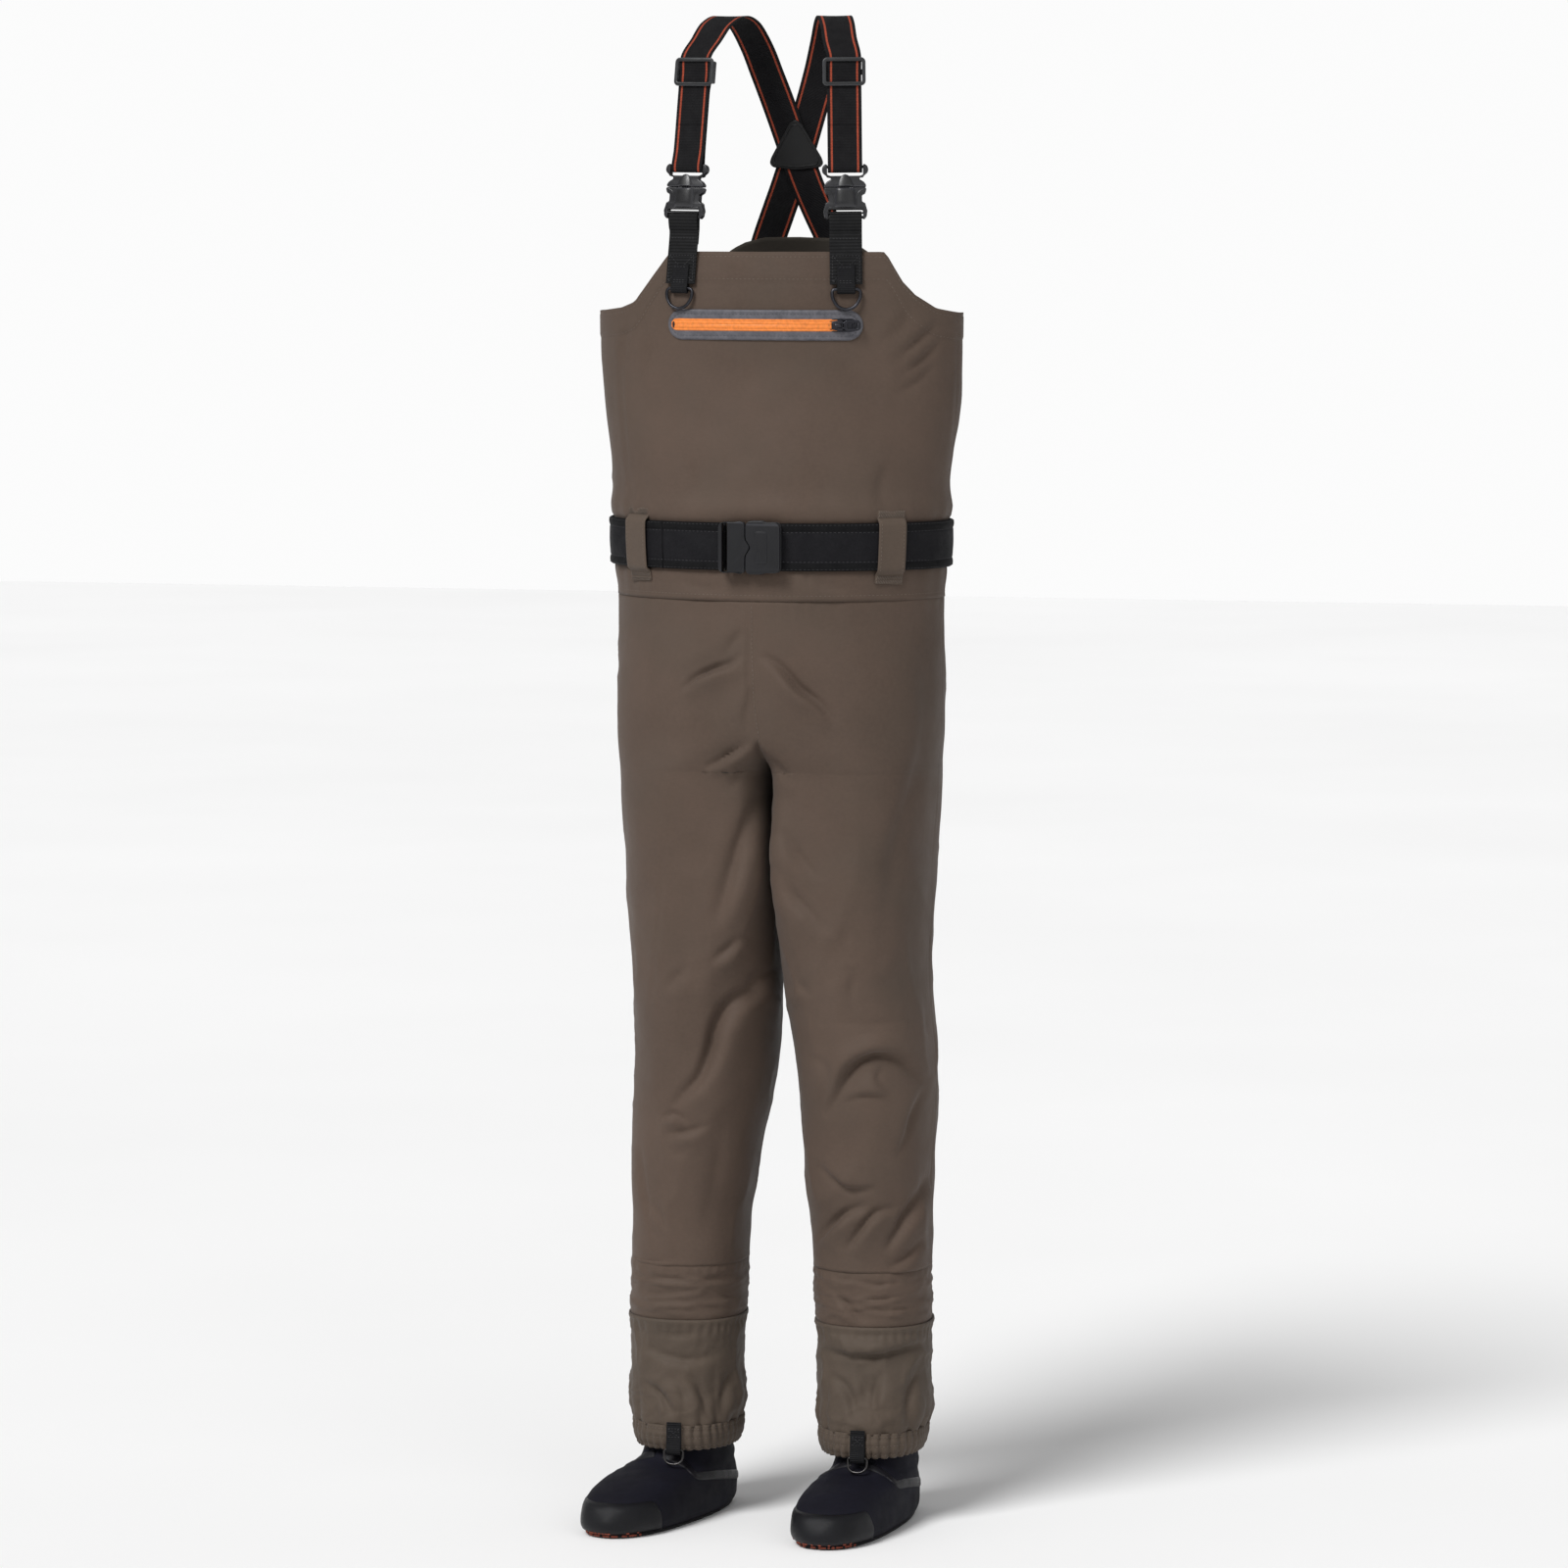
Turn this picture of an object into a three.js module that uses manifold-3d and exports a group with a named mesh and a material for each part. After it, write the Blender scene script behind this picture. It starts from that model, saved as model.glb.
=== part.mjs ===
// Stocking-foot chest waders with a woven shell, H-back braces and neoprene booties. Millimetres, +Z up, front faces -Y.
import * as THREE from "three";
import Module from "manifold-3d";

// ---- driving dimensions (mm) ----
const SHELL_T = 2.0; // bib, leg and shin fabric shell
const GAP = 0.35; // clearance between neighbouring pieces
const X_SHIFT = 0, Y_SHIFT = 38.8; // centre the bounding box on the origin in plan
const WAIST_Z = 1000; // seam between bib and trousers
const CROTCH_HI = 866, CROTCH_LO = 806; // the two trouser halves part between these heights
const SHIN_TOP_Z = 276; // seam above the shin band
const GUARD_TOP_Z = 215; // seam at the top of the gravel guard
const HEM_TOP_Z = 103, HEM_LOW_Z = 77; // gathered elastic hem of the guard
const BELT_LO = 1024, BELT_HI = 1074, BELT_T = 4.5; // 50 mm padded belt
const STRAP_W = 36, STRAP_T = 1.4; // 38 mm brace webbing, stitched edge to edge
const BUCKLE_L = -38, BUCKLE_M = -9, BUCKLE_R = 28; // belt buckle ends and parting line in x
const ZIP_R = 385, ZIP_Y = 292; // chest pocket arc, axis of the arc
const ZIP_LO = 1264, ZIP_HI = 1296, ZIP_HALF = 103; // pocket surround
const ANCHOR_X = 88, ANCHOR_Y = -79.4, ANCHOR_Z = 1330; // origin of each brace hardware frame
const BUST_YAW = 13.4; // degrees each brace faces outward
const FOOT_YAW = { r: 18, l: 9 }; // degrees the boots point towards -X
const FOOT_X = { r: 101, l: 107 }, FOOT_Y = 1;

// z, half width, front reach, back reach of the torso
const TORSO = [
  [780, 171, 109, 104], [840, 174, 113, 109], [880, 175, 114, 110], [940, 175.5, 114, 108], [1000, 176.5, 113, 103],
  [1020, 178.5, 113, 101], [1080, 181.5, 113, 99], [1113, 182, 110, 98], [1144, 185, 106, 98], [1175, 189.5, 101, 98],
  [1207, 193, 97, 98], [1245, 195.5, 93.3, 98], [1300, 196, 93, 97], [1358, 188, 85, 90], [1372, 186, 83, 88],
];
// z, centre x, half width, front reach, back reach of each leg
const LEG = [
  [70, 101, 51, 68, 60], [78, 101.5, 53, 70, 62], [92, 102, 57, 72, 64], [110, 102.5, 58, 70, 66], [140, 103, 60, 66, 68], [180, 103, 61, 64, 70],
  [215, 102.5, 61.5, 64, 72], [260, 101, 62, 66, 74], [292, 100.5, 62, 68, 76], [324, 99.5, 62.5, 70, 78],
  [356, 97.5, 65.5, 74, 80], [388, 96, 68, 77, 81], [420, 94.5, 70, 80, 82], [451, 92, 72, 84, 81], [483, 89, 73.5, 88, 80],
  [547, 84.5, 75.5, 94, 82], [600, 82, 77.5, 98, 88], [660, 82.5, 79.5, 102, 94], [720, 83.5, 81.8, 106, 100],
  [780, 86, 84.5, 109, 104], [880, 87, 85.5, 114, 110],
];
// z, toe reach, heel reach, half width of the bootie
const FOOT = [
  [0, 180, 66, 42], [4, 184, 70, 44], [14, 188, 74, 47], [28, 184, 75, 47], [40, 171, 72, 46], [50, 140, 67, 44],
  [60, 79, 60, 40], [70, 63, 55, 39.5], [78, 57, 52, 39.5], [100, 53, 51, 41], [140, 54, 53, 45], [206, 55, 57, 49],
];

const wasm = await Module();
wasm.setup();
const { Manifold } = wasm;
const root = new THREE.Group();
root.name = "chest_waders";

// ---- helpers ----
const rad = (d) => (d * Math.PI) / 180;
function table(rows, z) {
  if (z <= rows[0][0]) return rows[0].slice(1);
  for (let i = 1; i < rows.length; i++)
    if (z <= rows[i][0]) {
      const k = (z - rows[i - 1][0]) / (rows[i][0] - rows[i - 1][0]);
      const s = k; // straight between stations
      return rows[i].slice(1).map((v, j) => rows[i - 1][j + 1] * (1 - s) + v * s);
    }
  return rows[rows.length - 1].slice(1);
}
const smooth = (k) => { k = Math.min(1, Math.max(0, k)); return k * k * (3 - 2 * k); };
function solid(geometry) {
  const g = new THREE.BufferGeometry().setAttribute("position", (geometry.index ? geometry.toNonIndexed() : geometry).getAttribute("position"));
  const pos = g.getAttribute("position"), key = new Map(), verts = [], tris = [];
  for (let i = 0; i < pos.count; i++) {
    const k = [pos.getX(i), pos.getY(i), pos.getZ(i)].map((v) => Math.round(v * 1e4)).join();
    if (!key.has(k)) { key.set(k, verts.length / 3); verts.push(pos.getX(i), pos.getY(i), pos.getZ(i)); }
    tris.push(key.get(k));
  }
  const keep = [];
  for (let i = 0; i < tris.length; i += 3)
    if (tris[i] !== tris[i + 1] && tris[i + 1] !== tris[i + 2] && tris[i] !== tris[i + 2]) keep.push(tris[i], tris[i + 1], tris[i + 2]);
  return new Manifold(new wasm.Mesh({ numProp: 3, vertProperties: new Float32Array(verts), triVerts: new Uint32Array(keep) }));
}
function geometryOf(m) {
  const mesh = m.getMesh();
  const v = new Float32Array(mesh.numVert * 3);
  for (let i = 0; i < mesh.numVert; i++) v.set(mesh.vertProperties.subarray(i * mesh.numProp, i * mesh.numProp + 3), i * 3);
  return new THREE.BufferGeometry().setAttribute("position", new THREE.BufferAttribute(v, 3)).setIndex(new THREE.BufferAttribute(mesh.triVerts, 1));
}
// colour, roughness and metalness of each family of pieces
const LOOKS = [
  [/^(bib|trouser|shin|belt_loop)/, 0x5e5047, 0.85, 0], [/^(gravel|guard)/, 0x584e47, 0.85, 0], [/^belt_buckle/, 0x26262a, 0.45, 0],
  [/^belt/, 0x252427, 0.8, 0], [/^(brace_slider|clip|dring_[rl]$)/, 0x26262a, 0.45, 0], [/^(brace|dring_tab|hook_tab|cross)/, 0x262527, 0.8, 0],
  [/^pocket/, 0x5a5a5e, 0.7, 0], [/^zip_coil/, 0xee903a, 0.5, 0], [/^(zip|lace_hook)/, 0x4b4948, 0.4, 0.9],
  [/^toe_rand/, 0x333237, 0.8, 0], [/^bootie/, 0x201f26, 0.9, 0],
];
const garment = new THREE.Group();
garment.name = "garment";
garment.position.set(X_SHIFT, Y_SHIFT, 0);
root.add(garment);
const groups = new Map();
function add(name, shape, matrix) {
  const [, color, roughness, metalness] = LOOKS.find(([re]) => re.test(name));
  const mesh = new THREE.Mesh(shape.isBufferGeometry ? shape : geometryOf(shape), new THREE.MeshStandardMaterial({ color, roughness, metalness }));
  mesh.name = name;
  if (matrix && !groups.has(matrix)) {
    const g = new THREE.Group();
    g.applyMatrix4(matrix);
    garment.add(g);
    groups.set(matrix, g);
  }
  (matrix ? groups.get(matrix) : garment).add(mesh);
}
// offsets a plan loop along its normals; positive is outward for a loop that runs anticlockwise
function offsetLoop(pts, d, closed = true) {
  const n = pts.length;
  return pts.map((p, i) => {
    const a = closed ? pts[(i + n - 1) % n] : pts[Math.max(0, i - 1)], b = closed ? pts[(i + 1) % n] : pts[Math.min(n - 1, i + 1)];
    const tx = b[0] - a[0], ty = b[1] - a[1], l = Math.hypot(tx, ty) || 1;
    return [p[0] + (ty / l) * d, p[1] - (tx / l) * d, p[2]];
  });
}
// a shell between two stacks of loops, from the bottom up, each loop anticlockwise
function shell(outer, inner, closed = true) {
  const rows = outer.length, cols = outer[0].length, pos = [], idx = [];
  for (const stack of [outer, inner]) for (const loop of stack) for (const p of loop) pos.push(...p);
  const O = (i, j) => i * cols + ((j + cols) % cols), Q = (i, j) => rows * cols + O(i, j);
  const quad = (a, b, c, d) => idx.push(a, b, c, a, c, d);
  const last = closed ? cols : cols - 1;
  for (let i = 0; i < rows - 1; i++)
    for (let j = 0; j < last; j++) {
      quad(O(i, j), O(i, j + 1), O(i + 1, j + 1), O(i + 1, j));
      quad(Q(i, j), Q(i + 1, j), Q(i + 1, j + 1), Q(i, j + 1));
    }
  for (let j = 0; j < last; j++) {
    quad(O(rows - 1, j), O(rows - 1, j + 1), Q(rows - 1, j + 1), Q(rows - 1, j));
    quad(O(0, j), Q(0, j), Q(0, j + 1), O(0, j + 1));
  }
  if (!closed)
    for (let i = 0; i < rows - 1; i++) {
      quad(O(i, 0), O(i + 1, 0), Q(i + 1, 0), Q(i, 0));
      quad(O(i, cols - 1), Q(i, cols - 1), Q(i + 1, cols - 1), O(i + 1, cols - 1));
    }
  return new THREE.BufferGeometry().setAttribute("position", new THREE.BufferAttribute(new Float32Array(pos), 3)).setIndex(idx);
}
// a solid between stacked loops, capped flat at both ends
function loft(loops) {
  const rows = loops.length, cols = loops[0].length, pos = [], idx = [];
  for (const loop of loops) for (const p of loop) pos.push(...p);
  const O = (i, j) => i * cols + ((j + cols) % cols);
  for (let i = 0; i < rows - 1; i++)
    for (let j = 0; j < cols; j++) idx.push(O(i, j), O(i, j + 1), O(i + 1, j + 1), O(i, j), O(i + 1, j + 1), O(i + 1, j));
  for (const [row, up] of [[0, false], [rows - 1, true]]) {
    const flat = THREE.ShapeUtils.triangulateShape(loops[row].map((p) => new THREE.Vector2(p[0], p[1])), []);
    for (const [a, b, c] of flat) up ? idx.push(O(row, a), O(row, b), O(row, c)) : idx.push(O(row, a), O(row, c), O(row, b));
  }
  return new THREE.BufferGeometry().setAttribute("position", new THREE.BufferAttribute(new Float32Array(pos), 3)).setIndex(idx);
}
// outline in (x, z), extruded from y0 to y1
function plate(outline, y0, y1) {
  const shape = new THREE.Shape(outline.map(([x, z]) => new THREE.Vector2(x, z)));
  const g = new THREE.ExtrudeGeometry(shape, { depth: y1 - y0, bevelEnabled: false });
  g.applyMatrix4(new THREE.Matrix4().set(1, 0, 0, 0, 0, 0, -1, y1, 0, 1, 0, 0, 0, 0, 0, 1));
  return solid(g);
}
const box = (x0, x1, y0, y1, z0, z1) =>
  solid(new THREE.BoxGeometry(x1 - x0, y1 - y0, z1 - z0).translate((x0 + x1) / 2, (y0 + y1) / 2, (z0 + z1) / 2));
// a band of even thickness whose side view (y, z) follows a path, w wide in x
function band(path, t, w) {
  const left = [], right = [];
  path.forEach((p, i) => {
    const a = path[Math.max(0, i - 1)], b = path[Math.min(path.length - 1, i + 1)];
    const d1 = [p[0] - a[0], p[1] - a[1]], d2 = [b[0] - p[0], b[1] - p[1]];
    const u = (v) => { const l = Math.hypot(...v) || 1; return [v[0] / l, v[1] / l]; };
    const u1 = i ? u(d1) : u(d2), u2 = i < path.length - 1 ? u(d2) : u(d1);
    let n = [-(u1[1] + u2[1]), u1[0] + u2[0]];
    const l = Math.hypot(...n); n = [n[0] / l, n[1] / l];
    const c = Math.max(0.5, n[0] * -u1[1] + n[1] * u1[0]);
    left.push([p[0] + (n[0] * t) / 2 / c, p[1] + (n[1] * t) / 2 / c]);
    right.push([p[0] - (n[0] * t) / 2 / c, p[1] - (n[1] * t) / 2 / c]);
  });
  const shape = new THREE.Shape([...left, ...right.reverse()].map(([y, z]) => new THREE.Vector2(y, z)));
  const g = new THREE.ExtrudeGeometry(shape, { depth: w, bevelEnabled: false });
  // shape x -> y, shape y -> z, depth -> x
  g.applyMatrix4(new THREE.Matrix4().set(0, 0, 1, -w / 2, 1, 0, 0, 0, 0, 1, 0, 0, 0, 0, 0, 1));
  return solid(g);
}
// a flat strap along points, each with its width direction
function strap(points, widths, w, t) {
  const n = points.length, pos = [], idx = [];
  points.forEach((p, i) => {
    const a = points[Math.max(0, i - 1)], b = points[Math.min(n - 1, i + 1)];
    const tan = new THREE.Vector3().subVectors(b, a).normalize();
    const wd = widths[i].clone().addScaledVector(tan, -widths[i].dot(tan)).normalize();
    const nor = new THREE.Vector3().crossVectors(tan, wd);
    for (const [sw, sn] of [[-1, -1], [1, -1], [1, 1], [-1, 1]])
      pos.push(...p.clone().addScaledVector(wd, (sw * w) / 2).addScaledVector(nor, (sn * t) / 2).toArray());
  });
  for (let i = 0; i < n - 1; i++)
    for (let j = 0; j < 4; j++) {
      const a = i * 4 + j, b = i * 4 + ((j + 1) % 4);
      idx.push(a, b, b + 4, a, b + 4, a + 4);
    }
  idx.push(0, 2, 1, 0, 3, 2);
  const e = (n - 1) * 4;
  idx.push(e, e + 1, e + 2, e, e + 2, e + 3);
  const g = new THREE.BufferGeometry().setAttribute("position", new THREE.BufferAttribute(new Float32Array(pos), 3)).setIndex(idx);
  const m = solid(g);
  return m.volume() < 0 ? solid(flip(g)) : m;
}
function flip(g) {
  const i = g.index.array.slice();
  for (let k = 0; k < i.length; k += 3) [i[k + 1], i[k + 2]] = [i[k + 2], i[k + 1]];
  return new THREE.BufferGeometry().setAttribute("position", g.getAttribute("position")).setIndex(new THREE.BufferAttribute(i, 1));
}

// ---- sections ----
function torsoPoint(z, deg, off = 0) {
  const [a, f, b] = table(TORSO, z), t = rad(deg);
  const d = Math.sin(t) < 0 ? f : b;
  const x = a * Math.cos(t), y = d * Math.sin(t);
  let nx = Math.cos(t) * d, ny = Math.sin(t) * a;
  const l = Math.hypot(nx, ny);
  return [x + (nx / l) * off, y + (ny / l) * off, z];
}
const torsoArc = (z, from, to, steps, off = 0) =>
  Array.from({ length: steps + 1 }, (_, i) => torsoPoint(z, from + ((to - from) * i) / steps, off));
const torsoLoop = (z, steps, off = 0) => torsoArc(z, -180, 180, steps, off).slice(0, -1);
// height of the bib's top edge over the plan
function topEdge(x, front) {
  const k = Math.abs(x);
  const rows = front
    ? (x < 0
      ? [[0, 1357], [104, 1357.5], [111, 1352], [133, 1319], [144, 1304], [160, 1298], [196, 1293]]
      : [[0, 1357], [126, 1357], [134, 1351], [146, 1326], [157, 1312], [176, 1298], [196, 1293]])
    : [[0, 1370], [40, 1369], [62, 1364], [76, 1357], [88, 1346], [98, 1333], [108, 1319], [120, 1305], [135, 1295], [155, 1291], [176, 1290], [196, 1293]];
  return table(rows, k)[0];
}
function legLoop(z, steps, off = 0) {
  const [c, w, f, b] = table(LEG, z), pts = [];
  for (let i = 0; i < steps; i++) {
    const t = (2 * Math.PI * i) / steps, ct = Math.cos(t), st = Math.sin(t), e = 2 / 2.25;
    const d = st < 0 ? f : b;
    pts.push([c + w * Math.sign(ct) * Math.abs(ct) ** e, d * Math.sign(st) * Math.abs(st) ** e, z]);
  }
  return off ? offsetLoop(pts, off) : pts;
}
// half of the hip section, with its inner side behind the centre plane
function hipLoop(z, steps, off = 0) {
  const [a, f, b] = table(TORSO, z), pts = [], edge = 108;
  for (let i = 0; i < steps; i++) {
    let deg = (360 * i) / steps;
    if (deg > 180) deg -= 360;
    const s = Math.sign(deg) || 1, m = Math.abs(deg), d = s < 0 ? f : b;
    if (m <= edge) { const t = rad((m / edge) * 90); pts.push([a * Math.cos(t), s * d * Math.sin(t), z]); }
    else { const k = (m - edge) / (180 - edge); pts.push([-14 * Math.min(1, k * 3), s * d * (1 - k), z]); }
  }
  return off ? offsetLoop(pts, off) : pts;
}
function trouserLoop(z, steps, off = 0) {
  const k = smooth((z - CROTCH_LO) / (CROTCH_HI - CROTCH_LO));
  const a = legLoop(z, steps), b = hipLoop(z, steps);
  const pts = a.map((p, i) => [p[0] * (1 - k) + b[i][0] * k, p[1] * (1 - k) + b[i][1] * k, z]);
  return off ? offsetLoop(pts, off) : pts;
}
function footLoop(z, steps, off = 0) {
  const [t, h, w] = table(FOOT, z), pts = [];
  const mid = (t - h) / 2, half = (t + h) / 2, ball = 0.13 * smooth((half - 62) / 50);
  for (let i = 0; i < steps; i++) {
    const a = (2 * Math.PI * i) / steps, c = Math.cos(a), s = Math.sin(a), e = 2 / 2.35;
    // toe along -y
    pts.push([w * (1 - ball * (s > 0 ? s : s)) * Math.sign(c) * Math.abs(c) ** e, -mid + half * Math.sign(s) * Math.abs(s) ** e, z]);
  }
  return off ? offsetLoop(pts, off) : pts;
}
const side = { l: 1, r: -1 };
const mirrorX = (m, s) => (s > 0 ? m : m.mirror([1, 0, 0]));

// ---- bib ----
{
  const levels = [WAIST_Z + GAP, 1020, 1080, 1130, 1180, 1225, 1262, 1290];
  const panel = (from, to, front) => {
    const steps = 18;
    const stack = (off) => {
      const rows = levels.map((z) => torsoArc(z, from, to, steps, off));
      const base = torsoArc(1290, from, to, steps, 0);
      for (const k of [0.5, 1])
        rows.push(base.map((p, j) => {
          const z = 1290 + k * (topEdge(p[0], front) - 1290);
          return torsoPoint(z, from + ((to - from) * j) / steps, off);
        }));
      return rows;
    };
    return shell(stack(0), stack(-SHELL_T), false);
  };
  add("bib_front_panel", panel(-179.85, -0.15, true));
  add("bib_back_panel", panel(0.15, 179.85, false));
}

// ---- legs, shin bands, gravel guards ----
const LEG_STEPS = 24;
for (const k of ["r", "l"]) {
  const s = side[k];
  const levels = [SHIN_TOP_Z + GAP, 324, 388, 451, 520, 600, 680, 760, 800, 820, 836, 852, 870, 900, 950, WAIST_Z - GAP];
  const tube = solid(shell(levels.map((z) => trouserLoop(z, LEG_STEPS)), levels.map((z) => trouserLoop(z, LEG_STEPS, -SHELL_T))));
  const half = tube.subtract(box(-80, 0.2, -300, 300, 0, 1400));
  // front and back panels meet at the inseam and the outseam
  add("trouser_front_" + k, mirrorX(half.subtract(box(-10, 300, -0.17, 300, 0, 1400)), s));
  add("trouser_back_" + k, mirrorX(half.subtract(box(-10, 300, -300, 0.17, 0, 1400)), s));
  const tubeOf = (zs, t, grow = 0) => mirrorX(solid(shell(zs.map((z) => legLoop(z, LEG_STEPS, grow)), zs.map((z) => legLoop(z, LEG_STEPS, grow - t)))), s);
  add("shin_band_" + k, tubeOf([GUARD_TOP_Z + GAP, SHIN_TOP_Z - GAP], SHELL_T));
  add("gravel_guard_" + k, tubeOf([HEM_TOP_Z + GAP, 140, GUARD_TOP_Z - GAP], SHELL_T, 0.6));
  add("guard_hem_" + k, tubeOf([HEM_LOW_Z, 90, HEM_TOP_Z], 4.2, 0.6));
}

// ---- booties ----
for (const k of ["r", "l"]) {
  const s = side[k], place = new THREE.Matrix4().makeTranslation(s * FOOT_X[k], FOOT_Y, 0).multiply(new THREE.Matrix4().makeRotationZ(rad(-FOOT_YAW[k])));
  const zs = [4.4, 14, 28, 40, 50, 60, 70, 78, 100, 206];
  add("bootie_" + k, shell(zs.map((z) => footLoop(z, 22)), zs.map((z) => footLoop(z, 22, -4))), place);
  add("bootie_sole_" + k, loft([0, 4].map((z) => footLoop(z, 24, 0).map((p) => [p[0], p[1], z]))), place);
  const rim = [4.8, 14, 28, 36];
  const cut = (loop) => Array.from({ length: 17 }, (_, i) => loop[(28 + i) % 48]);
  add("toe_rand_" + k, shell(rim.map((z) => cut(footLoop(z, 48, 1.9))), rim.map((z) => cut(footLoop(z, 48, 0.45))), false), place);
}

// ---- lace hooks on the guard hems ----
for (const k of ["r", "l"]) {
  const s = side[k], x0 = s * 100.5, yf = -71.4;
  const m = new THREE.Matrix4().makeTranslation(x0, yf, 90);
  // webbing tab folded round the hook bar, sewn to the face of the hem
  add("hook_tab_" + k, band([[-2.0, 18], [-2.0, -12.5], [-4.0, -16.6], [-6.4, -12.5], [-6.2, -9.5], [-4.3, -2], [-4.3, 14]], 1.2, 16), m);
  const r = 1.3, yb = -4.0, zb = -11.2;
  const wire = new THREE.CatmullRomCurve3([
    [-7, yb, zb], [0, yb, zb], [7, yb, zb], [9.8, yb, zb - 1.2], [10.2, yb, zb - 6], [9.2, yb - 1.4, zb - 11], [5.2, yb - 2.6, zb - 14.4],
    [0, yb - 3.0, zb - 15.2], [-5.2, yb - 2.6, zb - 14.4], [-9.2, yb - 1.4, zb - 11], [-10.2, yb, zb - 6], [-9.8, yb, zb - 1.2],
  ].map((p) => new THREE.Vector3(...p)), true, "catmullrom", 0.5);
  add("lace_hook_" + k, solid(new THREE.TubeGeometry(wire, 26, r, 5, true)), m);
}

// ---- belt, loops and buckle ----
{
  const degAt = (x) => -(180 / Math.PI) * Math.acos(x / 180); // front half of the plan
  const belt = (from, to, steps) => {
    const zs = [BELT_LO, BELT_HI];
    const stack = (off) => zs.map((z) => torsoArc(z, from, to, steps, off));
    return shell(stack(0.7 + BELT_T), stack(0.7), false);
  };
  add("belt", belt(degAt(BUCKLE_R - 6), 180 + 360 * 0 + (180 + degAt(-104)) , 30));
  add("belt_front_end", belt(degAt(-103.2), degAt(BUCKLE_L + 6), 8));
  for (const k of ["r", "l"]) {
    const s = side[k], c = degAt(134 * s), path = [];
    const strip = (z) => [c - 6.2, c, c + 6.2].map((d) => d);
    const rows = [
      [BELT_LO - 14, 0.5], [BELT_LO - 2.5, 0.5], [BELT_LO - 1, 5.9], [BELT_HI + 1, 5.9], [BELT_HI + 2.5, 0.5], [BELT_HI + 12, 0.5],
    ];
    const outer = rows.map(([z, o], i) => strip(z).map((d) => torsoPoint(z, d, o + 1.3)));
    const inner = rows.map(([z, o], i) => strip(z).map((d) => torsoPoint(z, d, o)));
    outer[1] = strip(0).map((d) => torsoPoint(BELT_LO - 3.2, d, 1.8)); outer[2] = strip(0).map((d) => torsoPoint(BELT_LO - 1.9, d, 7.2));
    outer[3] = strip(0).map((d) => torsoPoint(BELT_HI + 1.9, d, 7.2)); outer[4] = strip(0).map((d) => torsoPoint(BELT_HI + 3.2, d, 1.8));
    add("belt_loop_" + k, shell(outer, inner, false));
  }
  const y0 = -128.6, y1 = -118.8, mid = (BELT_LO + BELT_HI) / 2, h = 28;
  const round = (x0, x1, z0, z1, r) => [[x0 + r, z0], [x1 - r, z0], [x1, z0 + r], [x1, z1 - r], [x1 - r, z1], [x0 + r, z1], [x0, z1 - r], [x0, z0 + r]];
  let female = plate(round(BUCKLE_M, BUCKLE_R, mid - h, mid + h, 4), y0, y1);
  female = female.subtract(box(BUCKLE_R - 9.5, BUCKLE_R - 4, y0 - 1, y1 + 1, mid - 25.6, mid + 25.6)); // webbing slot
  female = female.subtract(box(BUCKLE_M - 1, 15, y0 + 2.2, y1 - 2.2, mid - 22, mid + 22)); // cavity
  female = female.subtract(box(-5, 8, y0 + 2.2, y1 - 2.2, mid - h - 1, mid + h + 1)); // side windows
  add("belt_buckle_female", female);
  let male = plate(round(BUCKLE_L, BUCKLE_M - GAP, mid - h, mid + h, 4), y0, y1);
  male = male.subtract(box(BUCKLE_L + 4, BUCKLE_L + 9.5, y0 - 1, y1 + 1, mid - 25.6, mid + 25.6));
  const ya = y0 + 2.6, yb = y1 - 2.6;
  male = male.add(box(BUCKLE_M - 3, 13, ya, yb, mid - 5, mid + 5)).add(box(BUCKLE_M - 3, 7.5, ya, yb, mid + 13, mid + 19)).add(box(BUCKLE_M - 3, 7.5, ya, yb, mid - 19, mid - 13));
  male = male.add(box(-4.5, 7.5, ya, yb, mid + 13, mid + 21.6)).add(box(-4.5, 7.5, ya, yb, mid - 21.6, mid - 13));
  add("belt_buckle_male", male);
}

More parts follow.
